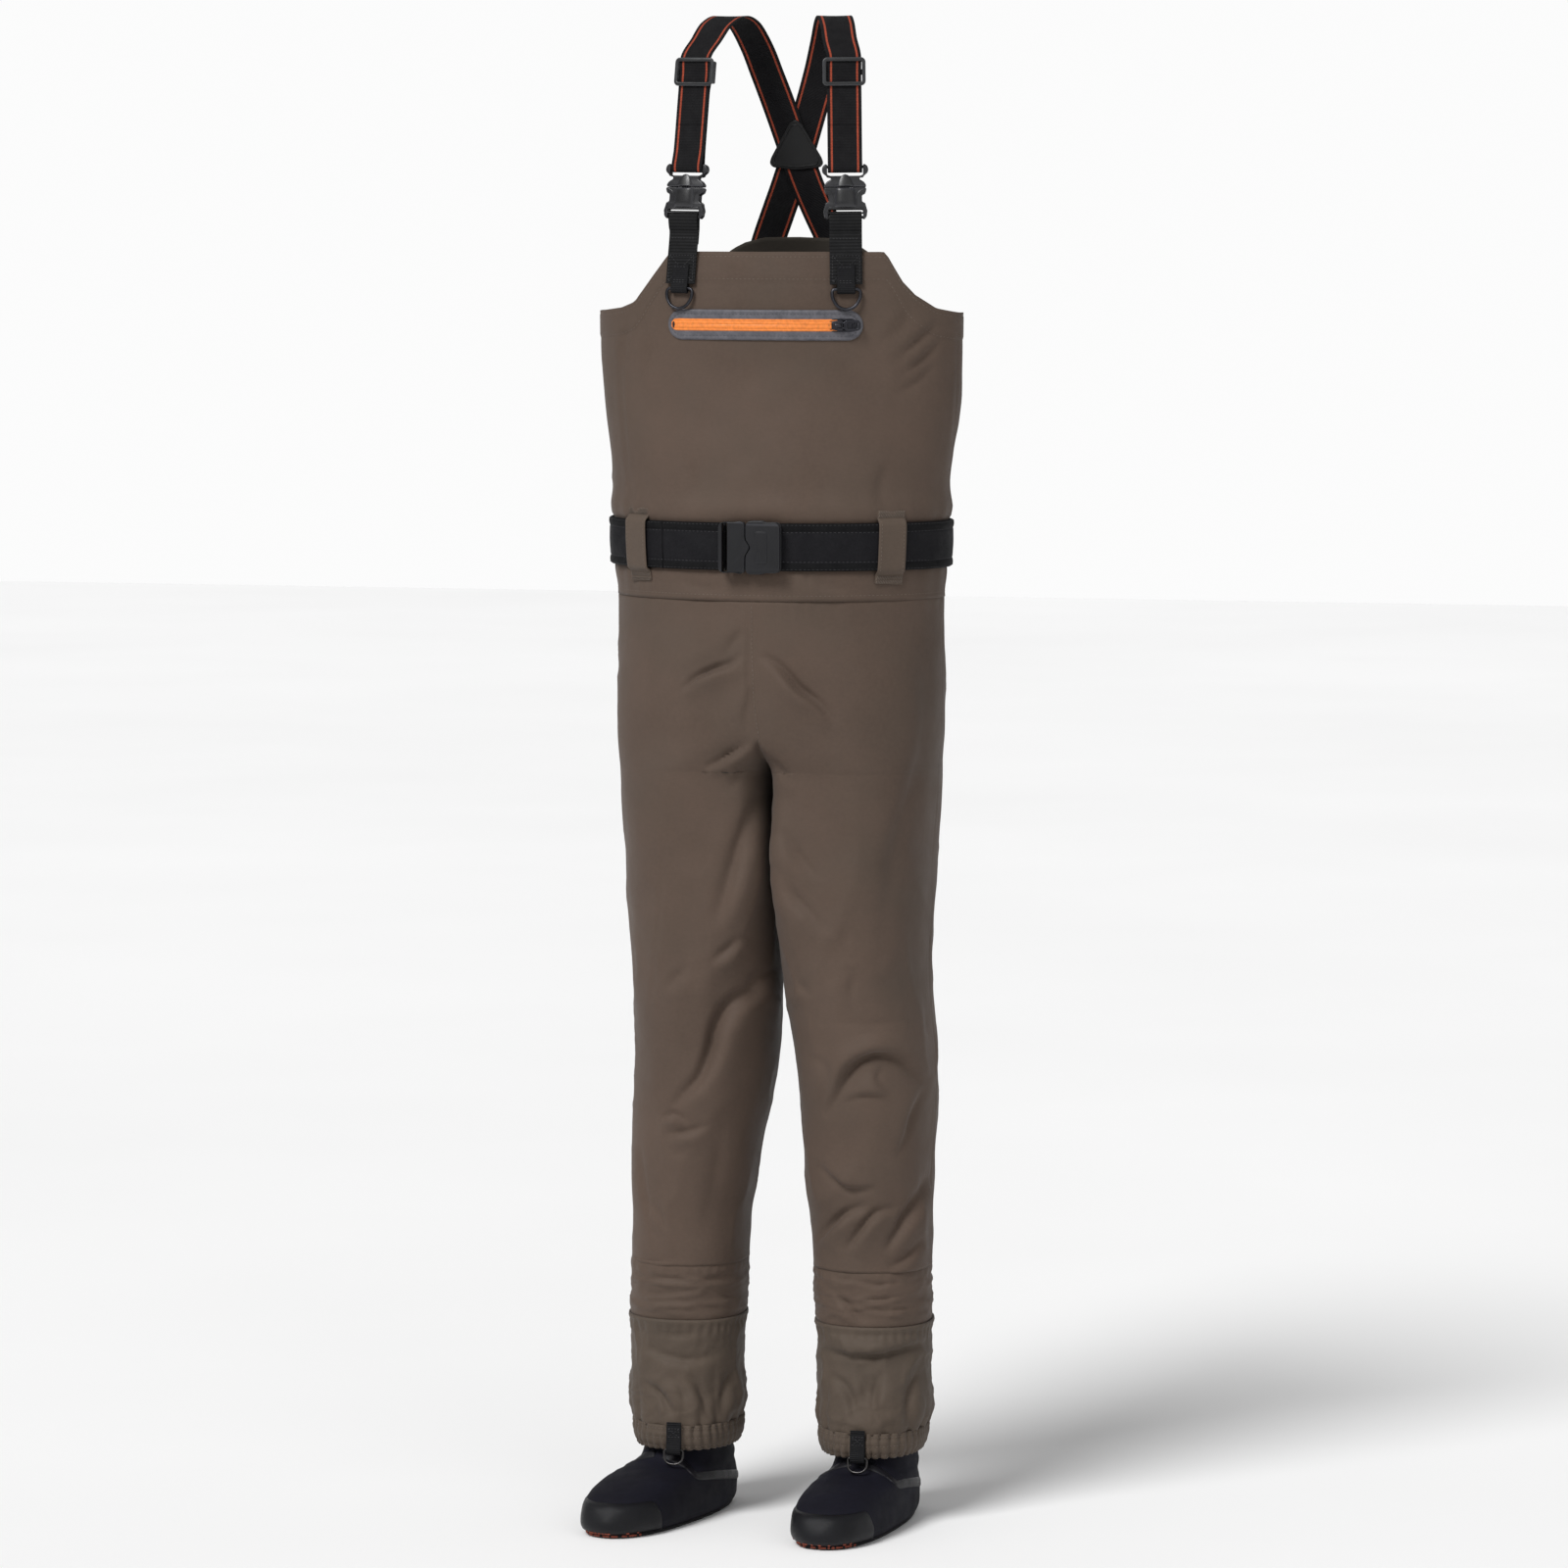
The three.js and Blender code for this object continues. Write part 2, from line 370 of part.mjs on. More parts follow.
// ---- braces ----
const frames = {};
for (const k of ["r", "l"]) {
  const s = side[k];
  const t = new THREE.Vector3(-9 * s, 30, 205).normalize();
  const n = new THREE.Vector3(s * Math.sin(rad(BUST_YAW)), -Math.cos(rad(BUST_YAW)), 0);
  n.addScaledVector(t, -n.dot(t)).normalize();
  const w = new THREE.Vector3().crossVectors(t, n);
  frames[k] = new THREE.Matrix4().makeBasis(w, n.clone().negate(), t).setPosition(s * ANCHOR_X, ANCHOR_Y, ANCHOR_Z);
}
for (const k of ["r", "l"]) {
  const s = side[k], m = frames[k];
  add("brace_anchor_" + k, band([[-3.6, -8], [-3.6, 44], [-8.8, 57], [-8.8, 65.5], [-6, 67.8], [-3.2, 65.5], [-3.2, 58], [-1.7, 47], [-1.7, 34]], 1.5, STRAP_W - 2), m);
  add("dring_tab_" + k, band([[-5.5, 12], [-5.5, -8], [-6.7, -13], [-3.8, -17.6], [-0.85, -13], [-0.85, -9.5]], 1.4, 19), m);
  const ring = new THREE.CatmullRomCurve3([
    [-10.4, -13], [0, -13], [10.4, -13], [13.6, -13.8], [14.8, -17], [13.4, -24.5], [8.4, -31.4], [0, -34.2], [-8.4, -31.4], [-13.4, -24.5], [-14.8, -17], [-13.6, -13.8],
  ].map(([x, z]) => new THREE.Vector3(x, -3.8, z)), true, "catmullrom", 0.5);
  add("dring_" + k, solid(new THREE.TubeGeometry(ring, 32, 1.5, 6, true)), m);

  // side-release clip, bottom at 60 along the strap
  const c = 60, y0 = -10, y1 = -2;
  const up = (pts) => pts.map(([x, z]) => [x, z + c]);
  let female = plate(up([[-20, 0], [20, 0], [22.5, 3], [23, 8], [20.8, 14], [20.8, 28], [21.8, 33], [-21.8, 33], [-20.8, 28], [-20.8, 14], [-23, 8], [-22.5, 3]]), y0, y1);
  female = female.subtract(box(-18.2, 18.2, y0 - 1, y1 + 1, c + 4, c + 10));
  female = female.subtract(box(-18.2, 18.2, y0 - 1, -7.5, c - 1, c + 5)).subtract(box(-18.2, 18.2, -4.5, y1 + 1, c - 1, c + 5));
  female = female.subtract(box(-17.5, 17.5, -8.3, -3.7, c + 12, c + 40)).subtract(box(-30, 30, -8.3, -3.7, c + 15.5, c + 27));
  add("clip_female_" + k, female, m);
  let male = plate(up([[-21.8, 33.4], [21.8, 33.4], [22, 40], [24, 46], [24.4, 52], [23, 56], [20, 57.6], [0, 58.6], [-20, 57.6], [-23, 56], [-24.4, 52], [-24, 46], [-22, 40]]), y0, y1);
  male = male.subtract(box(-18.7, 18.7, y0 - 1, y1 + 1, c + 45.5, c + 52.4));
  male = male.subtract(box(-18.7, 18.7, y0 - 1, -7.6, c + 50, c + 60)).subtract(box(-18.7, 18.7, -4.4, y1 + 1, c + 50, c + 60));
  male = male.add(box(-5, 5, -7.9, -4.1, c + 13, c + 36));
  for (const q of [-1, 1]) male = male.add(box(Math.min(q * 10, q * 15), Math.max(q * 10, q * 15), -7.9, -4.1, c + 16, c + 36)).add(box(Math.min(q * 10, q * 17.1), Math.max(q * 10, q * 17.1), -7.9, -4.1, c + 16, c + 25));
  add("clip_male_" + k, male, m);

  // strap end folded through the clip, its return layer, and the slider it is sewn to
  add("brace_loop_" + k, band([[-6.2, 158], [-6.2, 130], [-8.9, 117.5], [-8.9, 112], [-6, 109.4], [-3.2, 112], [-3.2, 117.5], [-4.0, 130], [-4.0, 158]], STRAP_T, STRAP_W), m);
  add("brace_return_" + k, band([[-4.0, 158.5], [-4.0, 194], [-2.2, 205], [-2.2, 219]], STRAP_T, STRAP_W), m);
  let slider = plate([[-19.5, 200], [19.5, 200], [22.5, 203], [22.5, 227], [19.5, 230], [-19.5, 230], [-22.5, 227], [-22.5, 203]], -10, -1.2);
  slider = slider.subtract(box(-18.6, 18.6, -7.3, 0, 190, 240)).subtract(box(-18.6, 18.6, -11, 0, 204.2, 225.8));
  slider = slider.add(box(-20, 20, -5.1, -3.3, 212, 218));
  add("brace_slider_" + k, slider, m);

  // webbing over the shoulder, crossed at the back and sewn to the back panel
  const at = (y, z) => new THREE.Vector3(0, y, z).applyMatrix4(m);
  const back = s * 1.25;
  const pts = [at(-6.2, 158.5), at(-6.2, 196), at(-6.2, 232)];
  const free = [[72, -38, 1577], [65, -19, 1594], [56, 6, 1602], [47, 30, 1594], [38, 49, 1571], [28, 61, 1540], [15.5, 69, 1503], [2, 75, 1462], [-11, 79, 1425], [-23, 84.5, 1395], [-35, 91.5, 1366], [-46, 96.2, 1334]];
  free.forEach(([x, y, z], i) => pts.push(new THREE.Vector3(s * x, y + back * smooth((i - 3) / 4), z)));
  const w0 = new THREE.Vector3().setFromMatrixColumn(m, 0), X = new THREE.Vector3(1, 0, 0);
  const widths = pts.map((_, i) => w0.clone().lerp(X, smooth((i - 2) / 3)));
  add("brace_strap_" + k, strap(pts, widths, STRAP_W, STRAP_T));
}
{
  // rounded triangle over the crossing
  const outline = [[-26, -24], [0, -27], [26, -24], [29.5, -20], [28, -14], [6, 24], [0, 27.5], [-6, 24], [-28, -14], [-29.5, -20]];
  const m = new THREE.Matrix4().makeTranslation(0, 70.0, 1467).multiply(new THREE.Matrix4().makeRotationX(rad(7.5)));
  add("cross_patch", plate(outline, 0, 1.6), m);
}

// ---- chest pocket ----
const arcAt = (r, deg, z) => [r * Math.sin(rad(deg)), ZIP_Y - r * Math.cos(rad(deg)), z];
const arcStrip = (r0, r1, x0, x1, z0, z1, steps) => {
  const d0 = (Math.asin(x0 / ZIP_R) * 180) / Math.PI, d1 = (Math.asin(x1 / ZIP_R) * 180) / Math.PI;
  const row = (r, z) => Array.from({ length: steps + 1 }, (_, i) => arcAt(r, d0 + ((d1 - d0) * i) / steps, z));
  return shell([row(r1, z0), row(r1, z1)], [row(r0, z0), row(r0, z1)], false);
};
add("pocket_surround", arcStrip(ZIP_R + 0.6, ZIP_R + 1.9, -ZIP_HALF, ZIP_HALF + 3, ZIP_LO, ZIP_HI, 16));
add("zip_coil", arcStrip(ZIP_R + 2.3, ZIP_R + 4.1, -98, 99, 1274, 1286, 16));
{
  const deg = (Math.asin(80 / ZIP_R) * 180) / Math.PI;
  const m = new THREE.Matrix4().makeTranslation(0, ZIP_Y, 1280).multiply(new THREE.Matrix4().makeRotationZ(rad(deg))).multiply(new THREE.Matrix4().makeTranslation(0, -(ZIP_R + 4.6), 0));
  // tapered slider body with a bridge for the pull
  let body = plate([[-6, -4.2], [4, -5.6], [6, -4.6], [6, 4.6], [4, 5.6], [-6, 4.2]], -2.4, 0);
  body = body.add(box(-3.6, -1.6, -5.8, -2.2, -1.8, 1.8)).add(box(2.8, 4.8, -5.8, -2.2, -1.8, 1.8)).add(box(-3.6, 4.8, -5.8, -4.9, -1.8, 1.8));
  add("zip_slider", body, m);
  // the pull's end bar lies under the bridge and turns there
  const ring = plate([[0.05, -3.1], [6.6, -3.1], [9, -5.6], [22.4, -5.6], [24.6, -3.2], [24.6, 3.2], [22.4, 5.6], [9, 5.6], [6.6, 3.1], [0.05, 3.1]], -4.5, -2.8)
    .subtract(box(1.15, 6.4, -6, 0, -2.1, 2.1)).subtract(box(10.2, 22, -6, 0, -3.4, 3.4));
  add("zip_pull", ring, m);
}

export default root;
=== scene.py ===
import math

import bpy
import numpy as np
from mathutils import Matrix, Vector


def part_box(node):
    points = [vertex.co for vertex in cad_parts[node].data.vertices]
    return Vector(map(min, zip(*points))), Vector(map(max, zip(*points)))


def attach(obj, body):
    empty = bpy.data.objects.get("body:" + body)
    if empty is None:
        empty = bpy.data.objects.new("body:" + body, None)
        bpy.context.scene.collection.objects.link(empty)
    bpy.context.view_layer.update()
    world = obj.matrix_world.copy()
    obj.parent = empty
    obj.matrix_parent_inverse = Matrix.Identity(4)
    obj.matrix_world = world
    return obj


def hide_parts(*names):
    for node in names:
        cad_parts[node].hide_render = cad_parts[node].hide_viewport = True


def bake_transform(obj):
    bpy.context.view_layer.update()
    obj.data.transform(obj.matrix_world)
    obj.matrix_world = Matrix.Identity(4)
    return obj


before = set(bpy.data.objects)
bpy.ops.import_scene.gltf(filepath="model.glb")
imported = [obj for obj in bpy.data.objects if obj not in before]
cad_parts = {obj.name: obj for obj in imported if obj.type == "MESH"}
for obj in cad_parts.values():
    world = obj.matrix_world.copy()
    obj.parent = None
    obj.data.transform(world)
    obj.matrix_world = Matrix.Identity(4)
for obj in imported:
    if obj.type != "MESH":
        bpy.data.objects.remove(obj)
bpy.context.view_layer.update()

# ------------------------------------------------------------------ camera first
# lengths are millimetres in the body frame; MOVE takes them to the row frame, and everything in Blender is metres
MM = 0.001
_lo, _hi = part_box("belt_buckle_female")  # its body-frame box is x -9..28, y -128.6..-118.8
MOVE = np.array([(_lo[0] + _hi[0]) * 500.0 - 9.5, (_lo[1] + _hi[1]) * 500.0 + 123.7, 0.0])
PSI, E0, DIST, ZT = math.radians(13.0), math.radians(5.6), 7100.0, 789.0
FPX = DIST / 1.045  # focal length in pixels of the 1600 frame
CX, CY = 797.0, 800.0
BACK = np.array([math.sin(PSI) * math.cos(E0), -math.cos(PSI) * math.cos(E0), math.sin(E0)])
CAM_POS = np.array([0, 0, ZT]) + DIST * BACK
RIGHT = np.array([math.cos(PSI), math.sin(PSI), 0.0])
UP = np.cross(RIGHT, -BACK)


def to_view(p):
    """Where body-frame points fall in the front view, in units of that 1600 frame."""
    d = p - CAM_POS
    dep = d @ -BACK
    return np.stack([CX + FPX * (d @ RIGHT) / dep, CY - FPX * (d @ UP) / dep], -1)


cam_data = bpy.data.cameras.new("camera")
cam = bpy.data.objects.new("camera", cam_data)
bpy.context.scene.collection.objects.link(cam)
cam_data.sensor_width = 36.0
cam_data.lens = FPX / 1600.0 * 36.0
cam_data.clip_start, cam_data.clip_end = 0.1, 60.0
cam.location = Vector((CAM_POS + RIGHT * 3.1 + MOVE) * MM)
cam.rotation_mode = "QUATERNION"
cam.rotation_quaternion = Vector(-BACK).to_track_quat("-Z", "Y")
bpy.context.scene.camera = cam

scene = bpy.context.scene
scene.view_settings.view_transform = "Standard"
scene.view_settings.look = "None"


# ------------------------------------------------------------------ the design's tables
TORSO = [
    [780, 171, 109, 104], [840, 174, 113, 109], [880, 175, 114, 110], [940, 175.5, 114, 108], [1000, 176.5, 113, 103],
    [1020, 178.5, 113, 101], [1080, 181.5, 113, 99], [1113, 182, 110, 98], [1144, 185, 106, 98], [1175, 189.5, 101, 98],
    [1207, 193, 97, 98], [1245, 195.5, 93.3, 98], [1300, 196, 93, 97], [1358, 188, 85, 90], [1372, 186, 83, 88],
]
LEG = [
    [70, 101, 51, 68, 60], [78, 101.5, 53, 70, 62], [92, 102, 57, 72, 64], [110, 102.5, 58, 70, 66], [140, 103, 60, 66, 68], [180, 103, 61, 64, 70],
    [215, 102.5, 61.5, 64, 72], [260, 101, 62, 66, 74], [292, 100.5, 62, 68, 76], [324, 99.5, 62.5, 70, 78],
    [356, 97.5, 65.5, 74, 80], [388, 96, 68, 77, 81], [420, 94.5, 70, 80, 82], [451, 92, 72, 84, 81], [483, 89, 73.5, 88, 80],
    [547, 84.5, 75.5, 94, 82], [600, 82, 77.5, 98, 88], [660, 82.5, 79.5, 102, 94], [720, 83.5, 81.8, 106, 100],
    [780, 86, 84.5, 109, 104], [880, 87, 85.5, 114, 110],
]
FOOT = [
    [0, 180, 66, 42], [4, 184, 70, 44], [14, 188, 74, 47], [28, 184, 75, 47], [40, 171, 72, 46], [50, 140, 67, 44],
    [60, 79, 60, 40], [70, 63, 55, 39.5], [78, 57, 52, 39.5], [100, 53, 51, 41], [140, 54, 53, 45], [206, 55, 57, 49],
]
EDGE_F = [[-196, 1293], [-160, 1298], [-144, 1304], [-133, 1319], [-109, 1354.5], [-105, 1357.5], [0, 1357], [130, 1357], [134, 1352], [146, 1326], [157, 1312], [176, 1298], [196, 1293]]
EDGE_B = [[0, 1370], [40, 1369], [62, 1364], [76, 1357], [88, 1346], [98, 1333], [108, 1319], [120, 1305], [135, 1295], [155, 1291], [176, 1290], [196, 1293]]
WAIST_Z, SHIN_TOP, GUARD_TOP, HEM_TOP, HEM_LOW = 992.0, 276.0, 215.0, 103.0, 77.0
CROTCH_HI, CROTCH_LO = 866.0, 806.0
BELT_LO, BELT_HI = 1024.0, 1074.0
SIDE = {"r": -1.0, "l": 1.0}


def pchip(rows):
    r = np.array(rows, float)
    x, y = r[:, 0], r[:, 1:]
    h = np.diff(x)
    d = np.diff(y, axis=0) / h[:, None]
    m = np.zeros_like(y)
    m[0], m[-1] = d[0], d[-1]
    for i in range(1, len(x) - 1):
        w1, w2 = 2 * h[i] + h[i - 1], h[i] + 2 * h[i - 1]
        for k in range(y.shape[1]):
            if d[i - 1, k] * d[i, k] > 0:
                m[i, k] = (w1 + w2) / (w1 / d[i - 1, k] + w2 / d[i, k])

    def f(z):
        z = np.clip(np.asarray(z, float), x[0], x[-1])
        i = np.clip(np.searchsorted(x, z, side="right") - 1, 0, len(h) - 1)
        t = ((z - x[i]) / h[i])[..., None]
        hh = h[i][..., None]
        return (2 * t**3 - 3 * t**2 + 1) * y[i] + (t**3 - 2 * t**2 + t) * hh * m[i] + (-2 * t**3 + 3 * t**2) * y[i + 1] + (t**3 - t**2) * hh * m[i + 1]

    return f


torso_tab, leg_tab, foot_tab = pchip(TORSO), pchip(LEG), pchip(FOOT)
edge_f, edge_b = np.array(EDGE_F, float), np.array(EDGE_B, float)


def smooth(k):
    k = np.clip(k, 0.0, 1.0)
    return k * k * (3 - 2 * k)


def bump(v, c, s):
    """1 at v = c, falling off over s."""
    return np.exp(-(((v - c) / s) ** 2))


def torso(z, deg, off=0.0):
    z, deg = np.broadcast_arrays(np.asarray(z, float), np.asarray(deg, float))
    tab = torso_tab(z)
    a, f, b = tab[..., 0], tab[..., 1], tab[..., 2]
    t = np.radians(deg)
    d = np.where(np.sin(t) < 0, f, b)
    nx, ny = np.cos(t) * d, np.sin(t) * a
    ln = np.hypot(nx, ny)
    return np.stack([a * np.cos(t) + nx / ln * off, d * np.sin(t) + ny / ln * off, z + 0 * t], -1)


def leg_loop(z, deg):
    c, w, f, b = leg_tab(np.array([z]))[0]
    t = np.radians(deg)
    ct, st, e = np.cos(t), np.sin(t), 2 / 2.25
    d = np.where(st < 0, f, b)
    return np.stack([c + w * np.sign(ct) * np.abs(ct) ** e, d * np.sign(st) * np.abs(st) ** e], -1)


def hip_loop(z, deg):
    a, f, b = torso_tab(np.array([z]))[0]
    m, s, edge = np.abs(deg), np.where(deg < 0, -1.0, 1.0), 108.0
    d = np.where(s < 0, f, b)
    t = np.radians(m / edge * 90)
    k = (m - edge) / (180 - edge)
    outer = m <= edge
    return np.stack([np.where(outer, a * np.cos(t), -14 * np.minimum(1, k * 3)), np.where(outer, s * d * np.sin(t), s * d * (1 - k))], -1)


def trouser_loop(z, deg):
    k = float(smooth((z - CROTCH_LO) / (CROTCH_HI - CROTCH_LO)))
    return leg_loop(z, deg) * (1 - k) + hip_loop(z, deg) * k


def soft_loop(z, deg):
    """The trouser loop as the cloth hangs: the two legs lie flat together in front and behind."""
    leg = leg_loop(z, deg)
    sq = float(smooth((z - 540) / 200))
    if sq > 0:
        c, w, f, b = leg_tab(np.array([z]))[0]
        t = np.radians(deg)
        ct, st = np.cos(t), np.sin(t)
        box_ = np.stack([c + w * np.sign(ct) * np.abs(ct) ** (2 / 6.5), np.where(st < 0, f, b) * np.sign(st) * np.abs(st) ** (2 / 3.0)], -1)
        kk = sq * smooth(-ct / 0.5 + 0.1)[:, None] * 0.95
        leg = leg * (1 - kk) + box_ * kk
    k = float(smooth((z - 802) / 46))
    # the seat squares up toward the legs, so that one runs into the other
    a, f, b = torso_tab(np.array([z]))[0]
    q = float(smooth((975 - z) / 150))
    e = 2 / (2 + 0.75 * q)
    m = np.minimum(np.abs(deg), 108.0)
    t = np.radians(m / 108.0 * 90)
    hip = hip_loop(z, deg)
    full = np.stack([a * np.maximum(np.cos(t), 0) ** e, np.where(deg < 0, -f, b) * np.sin(t) ** e], -1)
    hip = np.where((np.abs(deg) < 108.0)[:, None], full, hip)
    slim = 1 - 0.035 * float(smooth((z - 640) / 140))
    leg = leg * np.array([1.0, slim])
    return leg * (1 - k) + hip * k


def resample(p, n):
    s = np.concatenate([[0], np.cumsum(np.linalg.norm(np.diff(p, axis=0), axis=1))])
    u = np.linspace(0, s[-1], n)
    return np.stack([np.interp(u, s, p[:, k]) for k in range(p.shape[1])], -1), s[-1]


# ------------------------------------------------------------------ seeded value noise
def vnoise(p, size, seed=0):
    q = np.asarray(p, float) / np.asarray(size, float) + 31.7 + seed * 17.31
    i = np.floor(q).astype(np.int64)
    f = q - i
    f = f * f * (3 - 2 * f)

    def h(dx, dy, dz):
        n = ((i[..., 0] + dx) * 374761393 + (i[..., 1] + dy) * 668265263 + (i[..., 2] + dz) * 1442695041 + seed * 144665) & 0xFFFFFFFF
        n = ((n ^ (n >> 13)) * 1274126177) & 0xFFFFFFFF
        return ((n ^ (n >> 16)) & 0xFFFF) / 32767.5 - 1.0

    def mix(a, b, t):
        return a + (b - a) * t

    x0 = mix(mix(h(0, 0, 0), h(1, 0, 0), f[..., 0]), mix(h(0, 1, 0), h(1, 1, 0), f[..., 0]), f[..., 1])
    x1 = mix(mix(h(0, 0, 1), h(1, 0, 1), f[..., 0]), mix(h(0, 1, 1), h(1, 1, 1), f[..., 0]), f[..., 1])
    return mix(x0, x1, f[..., 2])


def fbm(p, size, seed=0, octaves=3):
    out, amp = 0.0, 1.0  # octaves of the same noise
    for o in range(octaves):
        out = out + amp * vnoise(p, np.asarray(size, float) / 2**o, seed + o * 7)
        amp *= 0.5
    return out / 1.75


# ------------------------------------------------------------------ meshes
def grid(P, closed, uv=None):
    """Faces of a grid of points P[row, column]; rows go up and columns anticlockwise, so they face outward."""
    R, C = P.shape[:2]
    last = C if closed else C - 1
    i, j = np.meshgrid(np.arange(R - 1), np.arange(last), indexing="ij")
    j2 = (j + 1) % C
    F = np.stack([i * C + j, i * C + j2, (i + 1) * C + j2, (i + 1) * C + j], -1).reshape(-1, 4)
    if uv is None:
        uv = grid_uv(P, closed)
    k = j + 1
    U = np.stack([uv[i, j], uv[i, k], uv[i + 1, k], uv[i + 1, j]], -2).reshape(-1, 4, 2)
    return P.reshape(-1, 3).astype(float), F, U


def grid_uv(P, closed):
    """Arc-length UVs, in metres, with one more column than a closed grid has."""
    Q = np.concatenate([P, P[:, :1]], 1) if closed else P
    du = np.linalg.norm(np.diff(Q, axis=1), axis=2).mean(0)
    dv = np.linalg.norm(np.diff(Q, axis=0), axis=2).mean(1)
    u, v = np.concatenate([[0], np.cumsum(du)]), np.concatenate([[0], np.cumsum(dv)])
    return np.stack(np.broadcast_arrays(u[None, :] * MM, v[:, None] * MM), -1)


def weld(V, F, tol=0.01):
    key = np.round(V / tol).astype(np.int64)
    _, first, inv = np.unique(key, axis=0, return_index=True, return_inverse=True)
    return V[first], np.asarray(inv).reshape(-1)[F]


def join(*parts):
    Vs, Fs, Us, off = [], [], [], 0
    for V, F, U in parts:
        Vs.append(V), Fs.append(F + off), Us.append(U)
        off += len(V)
    return np.concatenate(Vs), np.concatenate(Fs), np.concatenate(Us)


def normals(V, F):
    n = np.cross(V[F[:, 2]] - V[F[:, 0]], V[F[:, 3]] - V[F[:, 1]])
    N = np.zeros_like(V)
    for k in range(4):
        np.add.at(N, F[:, k], n)
    return N / np.maximum(np.linalg.norm(N, axis=1), 1e-9)[:, None]


def relax(V, F, times=1, keep=0.5):
    for _ in range(times):
        S, n = np.zeros_like(V), np.zeros(len(V))
        for a, b in ((0, 1), (1, 2), (2, 3), (3, 0)):
            np.add.at(S, F[:, a], V[F[:, b]]), np.add.at(n, F[:, a], 1)
            np.add.at(S, F[:, b], V[F[:, a]]), np.add.at(n, F[:, b], 1)
        V = V * keep + S / np.maximum(n, 1)[:, None] * (1 - keep)
    return V


def thicken(V, N, F, U, t):
    """A closed skin: the sheet, its inner copy t inside, and rims. Returns V, F, U and a face mark: 0 outside, 1 inside, 2 rim."""
    n = len(V)
    A, B = F[:, [0, 1, 2, 3]].ravel(), F[:, [1, 2, 3, 0]].ravel()
    code, back = A.astype(np.int64) * (n + 1) + B, B.astype(np.int64) * (n + 1) + A
    edge = ~np.isin(code, back) & (A != B)
    uv = U[:, [0, 1, 2, 3]].reshape(-1, 2)[edge]
    uv2 = U[:, [1, 2, 3, 0]].reshape(-1, 2)[edge]
    a, b = A[edge], B[edge]
    rim = np.stack([b, a, a + n, b + n], -1)
    rim_uv = np.stack([uv2, uv, uv + [0, t * MM], uv2 + [0, t * MM]], 1)
    Fi = F[:, ::-1] + n
    out = np.concatenate([V, V - N * t])
    mark = np.concatenate([np.zeros(len(F)), np.ones(len(F)), np.full(len(rim), 2)])
    return out, np.concatenate([F, Fi, rim]), np.concatenate([U, U[:, ::-1], rim_uv]), mark


def build(name, V, F, U=None, mats=(), mark=None, smooth_faces=True, flat_rims=False):
    co = (V + MOVE) * MM
    faces, uvs, marks = [], [], []
    Fl = F.tolist()
    Ul = U.tolist() if U is not None else None
    for k, f in enumerate(Fl):
        keep = [i for i in range(len(f)) if f[i] != f[i - 1]]
        if len(keep) < 3:
            continue
        faces.append([f[i] for i in keep])
        if Ul is not None:
            uvs.extend(Ul[k][i] for i in keep)
        marks.append(int(mark[k]) if mark is not None else 0)
    used = np.unique([i for f in faces for i in f])
    if len(used) < len(co):
        back = np.full(len(co), -1)
        back[used] = np.arange(len(used))
        faces = [[int(back[i]) for i in f] for f in faces]
        co = co[used]
    me = bpy.data.meshes.new(name)
    me.from_pydata(co.tolist(), [], faces)
    if Ul is not None:
        layer = me.uv_layers.new(name="UVMap")
        layer.data.foreach_set("uv", np.array(uvs, np.float32).ravel())
    for m in mats:
        me.materials.append(m)
    if mark is not None:
        me.polygons.foreach_set("material_index", np.minimum(np.array(marks), max(len(mats) - 1, 0)).astype(np.int32))
    me.polygons.foreach_set("use_smooth", np.full(len(me.polygons), smooth_faces))
    me.update()
    ob = bpy.data.objects.new(name, me)
    scene.collection.objects.link(ob)
    return ob


def mesh_from_lists(name, verts, faces, mat, uvs=None, smooth_faces=True, auto=None):
    """verts in the body frame, faces of any length."""
    me = bpy.data.meshes.new(name)
    co = (np.asarray(verts, float) + MOVE) * MM
    me.from_pydata(co.tolist(), [], [list(f) for f in faces])
    me.materials.append(mat)
    if uvs is None:
        # box projection in metres
        layer = me.uv_layers.new(name="UVMap")
        loops = np.zeros(len(me.loops), np.int32)
        me.loops.foreach_get("vertex_index", loops)
        nor = np.zeros(len(me.polygons) * 3)
        me.polygons.foreach_get("normal", nor)
        nor = np.abs(nor.reshape(-1, 3))
        tot = np.zeros(len(me.polygons), np.int32)
        me.polygons.foreach_get("loop_total", tot)
        ax = np.repeat(nor.argmax(1), tot)
        c = co[loops]
        uv = np.where((ax == 0)[:, None], c[:, [1, 2]], np.where((ax == 1)[:, None], c[:, [0, 2]], c[:, [0, 1]]))
        layer.data.foreach_set("uv", uv.astype(np.float32).ravel())
    else:
        layer = me.uv_layers.new(name="UVMap")
        layer.data.foreach_set("uv", np.asarray(uvs, np.float32).ravel())
    me.polygons.foreach_set("use_smooth", np.full(len(me.polygons), smooth_faces))
    if smooth_faces and auto is not None:
        me.set_sharp_from_angle(angle=math.radians(auto))
    me.update()
    ob = bpy.data.objects.new(name, me)
    scene.collection.objects.link(ob)
    return ob


class Soup:
    """Loose closed parts gathered into one piece, in the body frame."""

    def __init__(self):
        self.v, self.f, self.n = [], [], 0

    def add(self, V, F, M=None):
        V = np.asarray(V, float)
        if M is not None:
            V = V @ M[:3, :3].T + M[:3, 3]
        self.v.append(V)
        self.f.extend([[i + self.n for i in f] for f in F])
        self.n += len(V)
        return self

    def make(self, name, mat, auto=35):
        return mesh_from_lists(name, np.concatenate(self.v), self.f, mat, auto=auto)


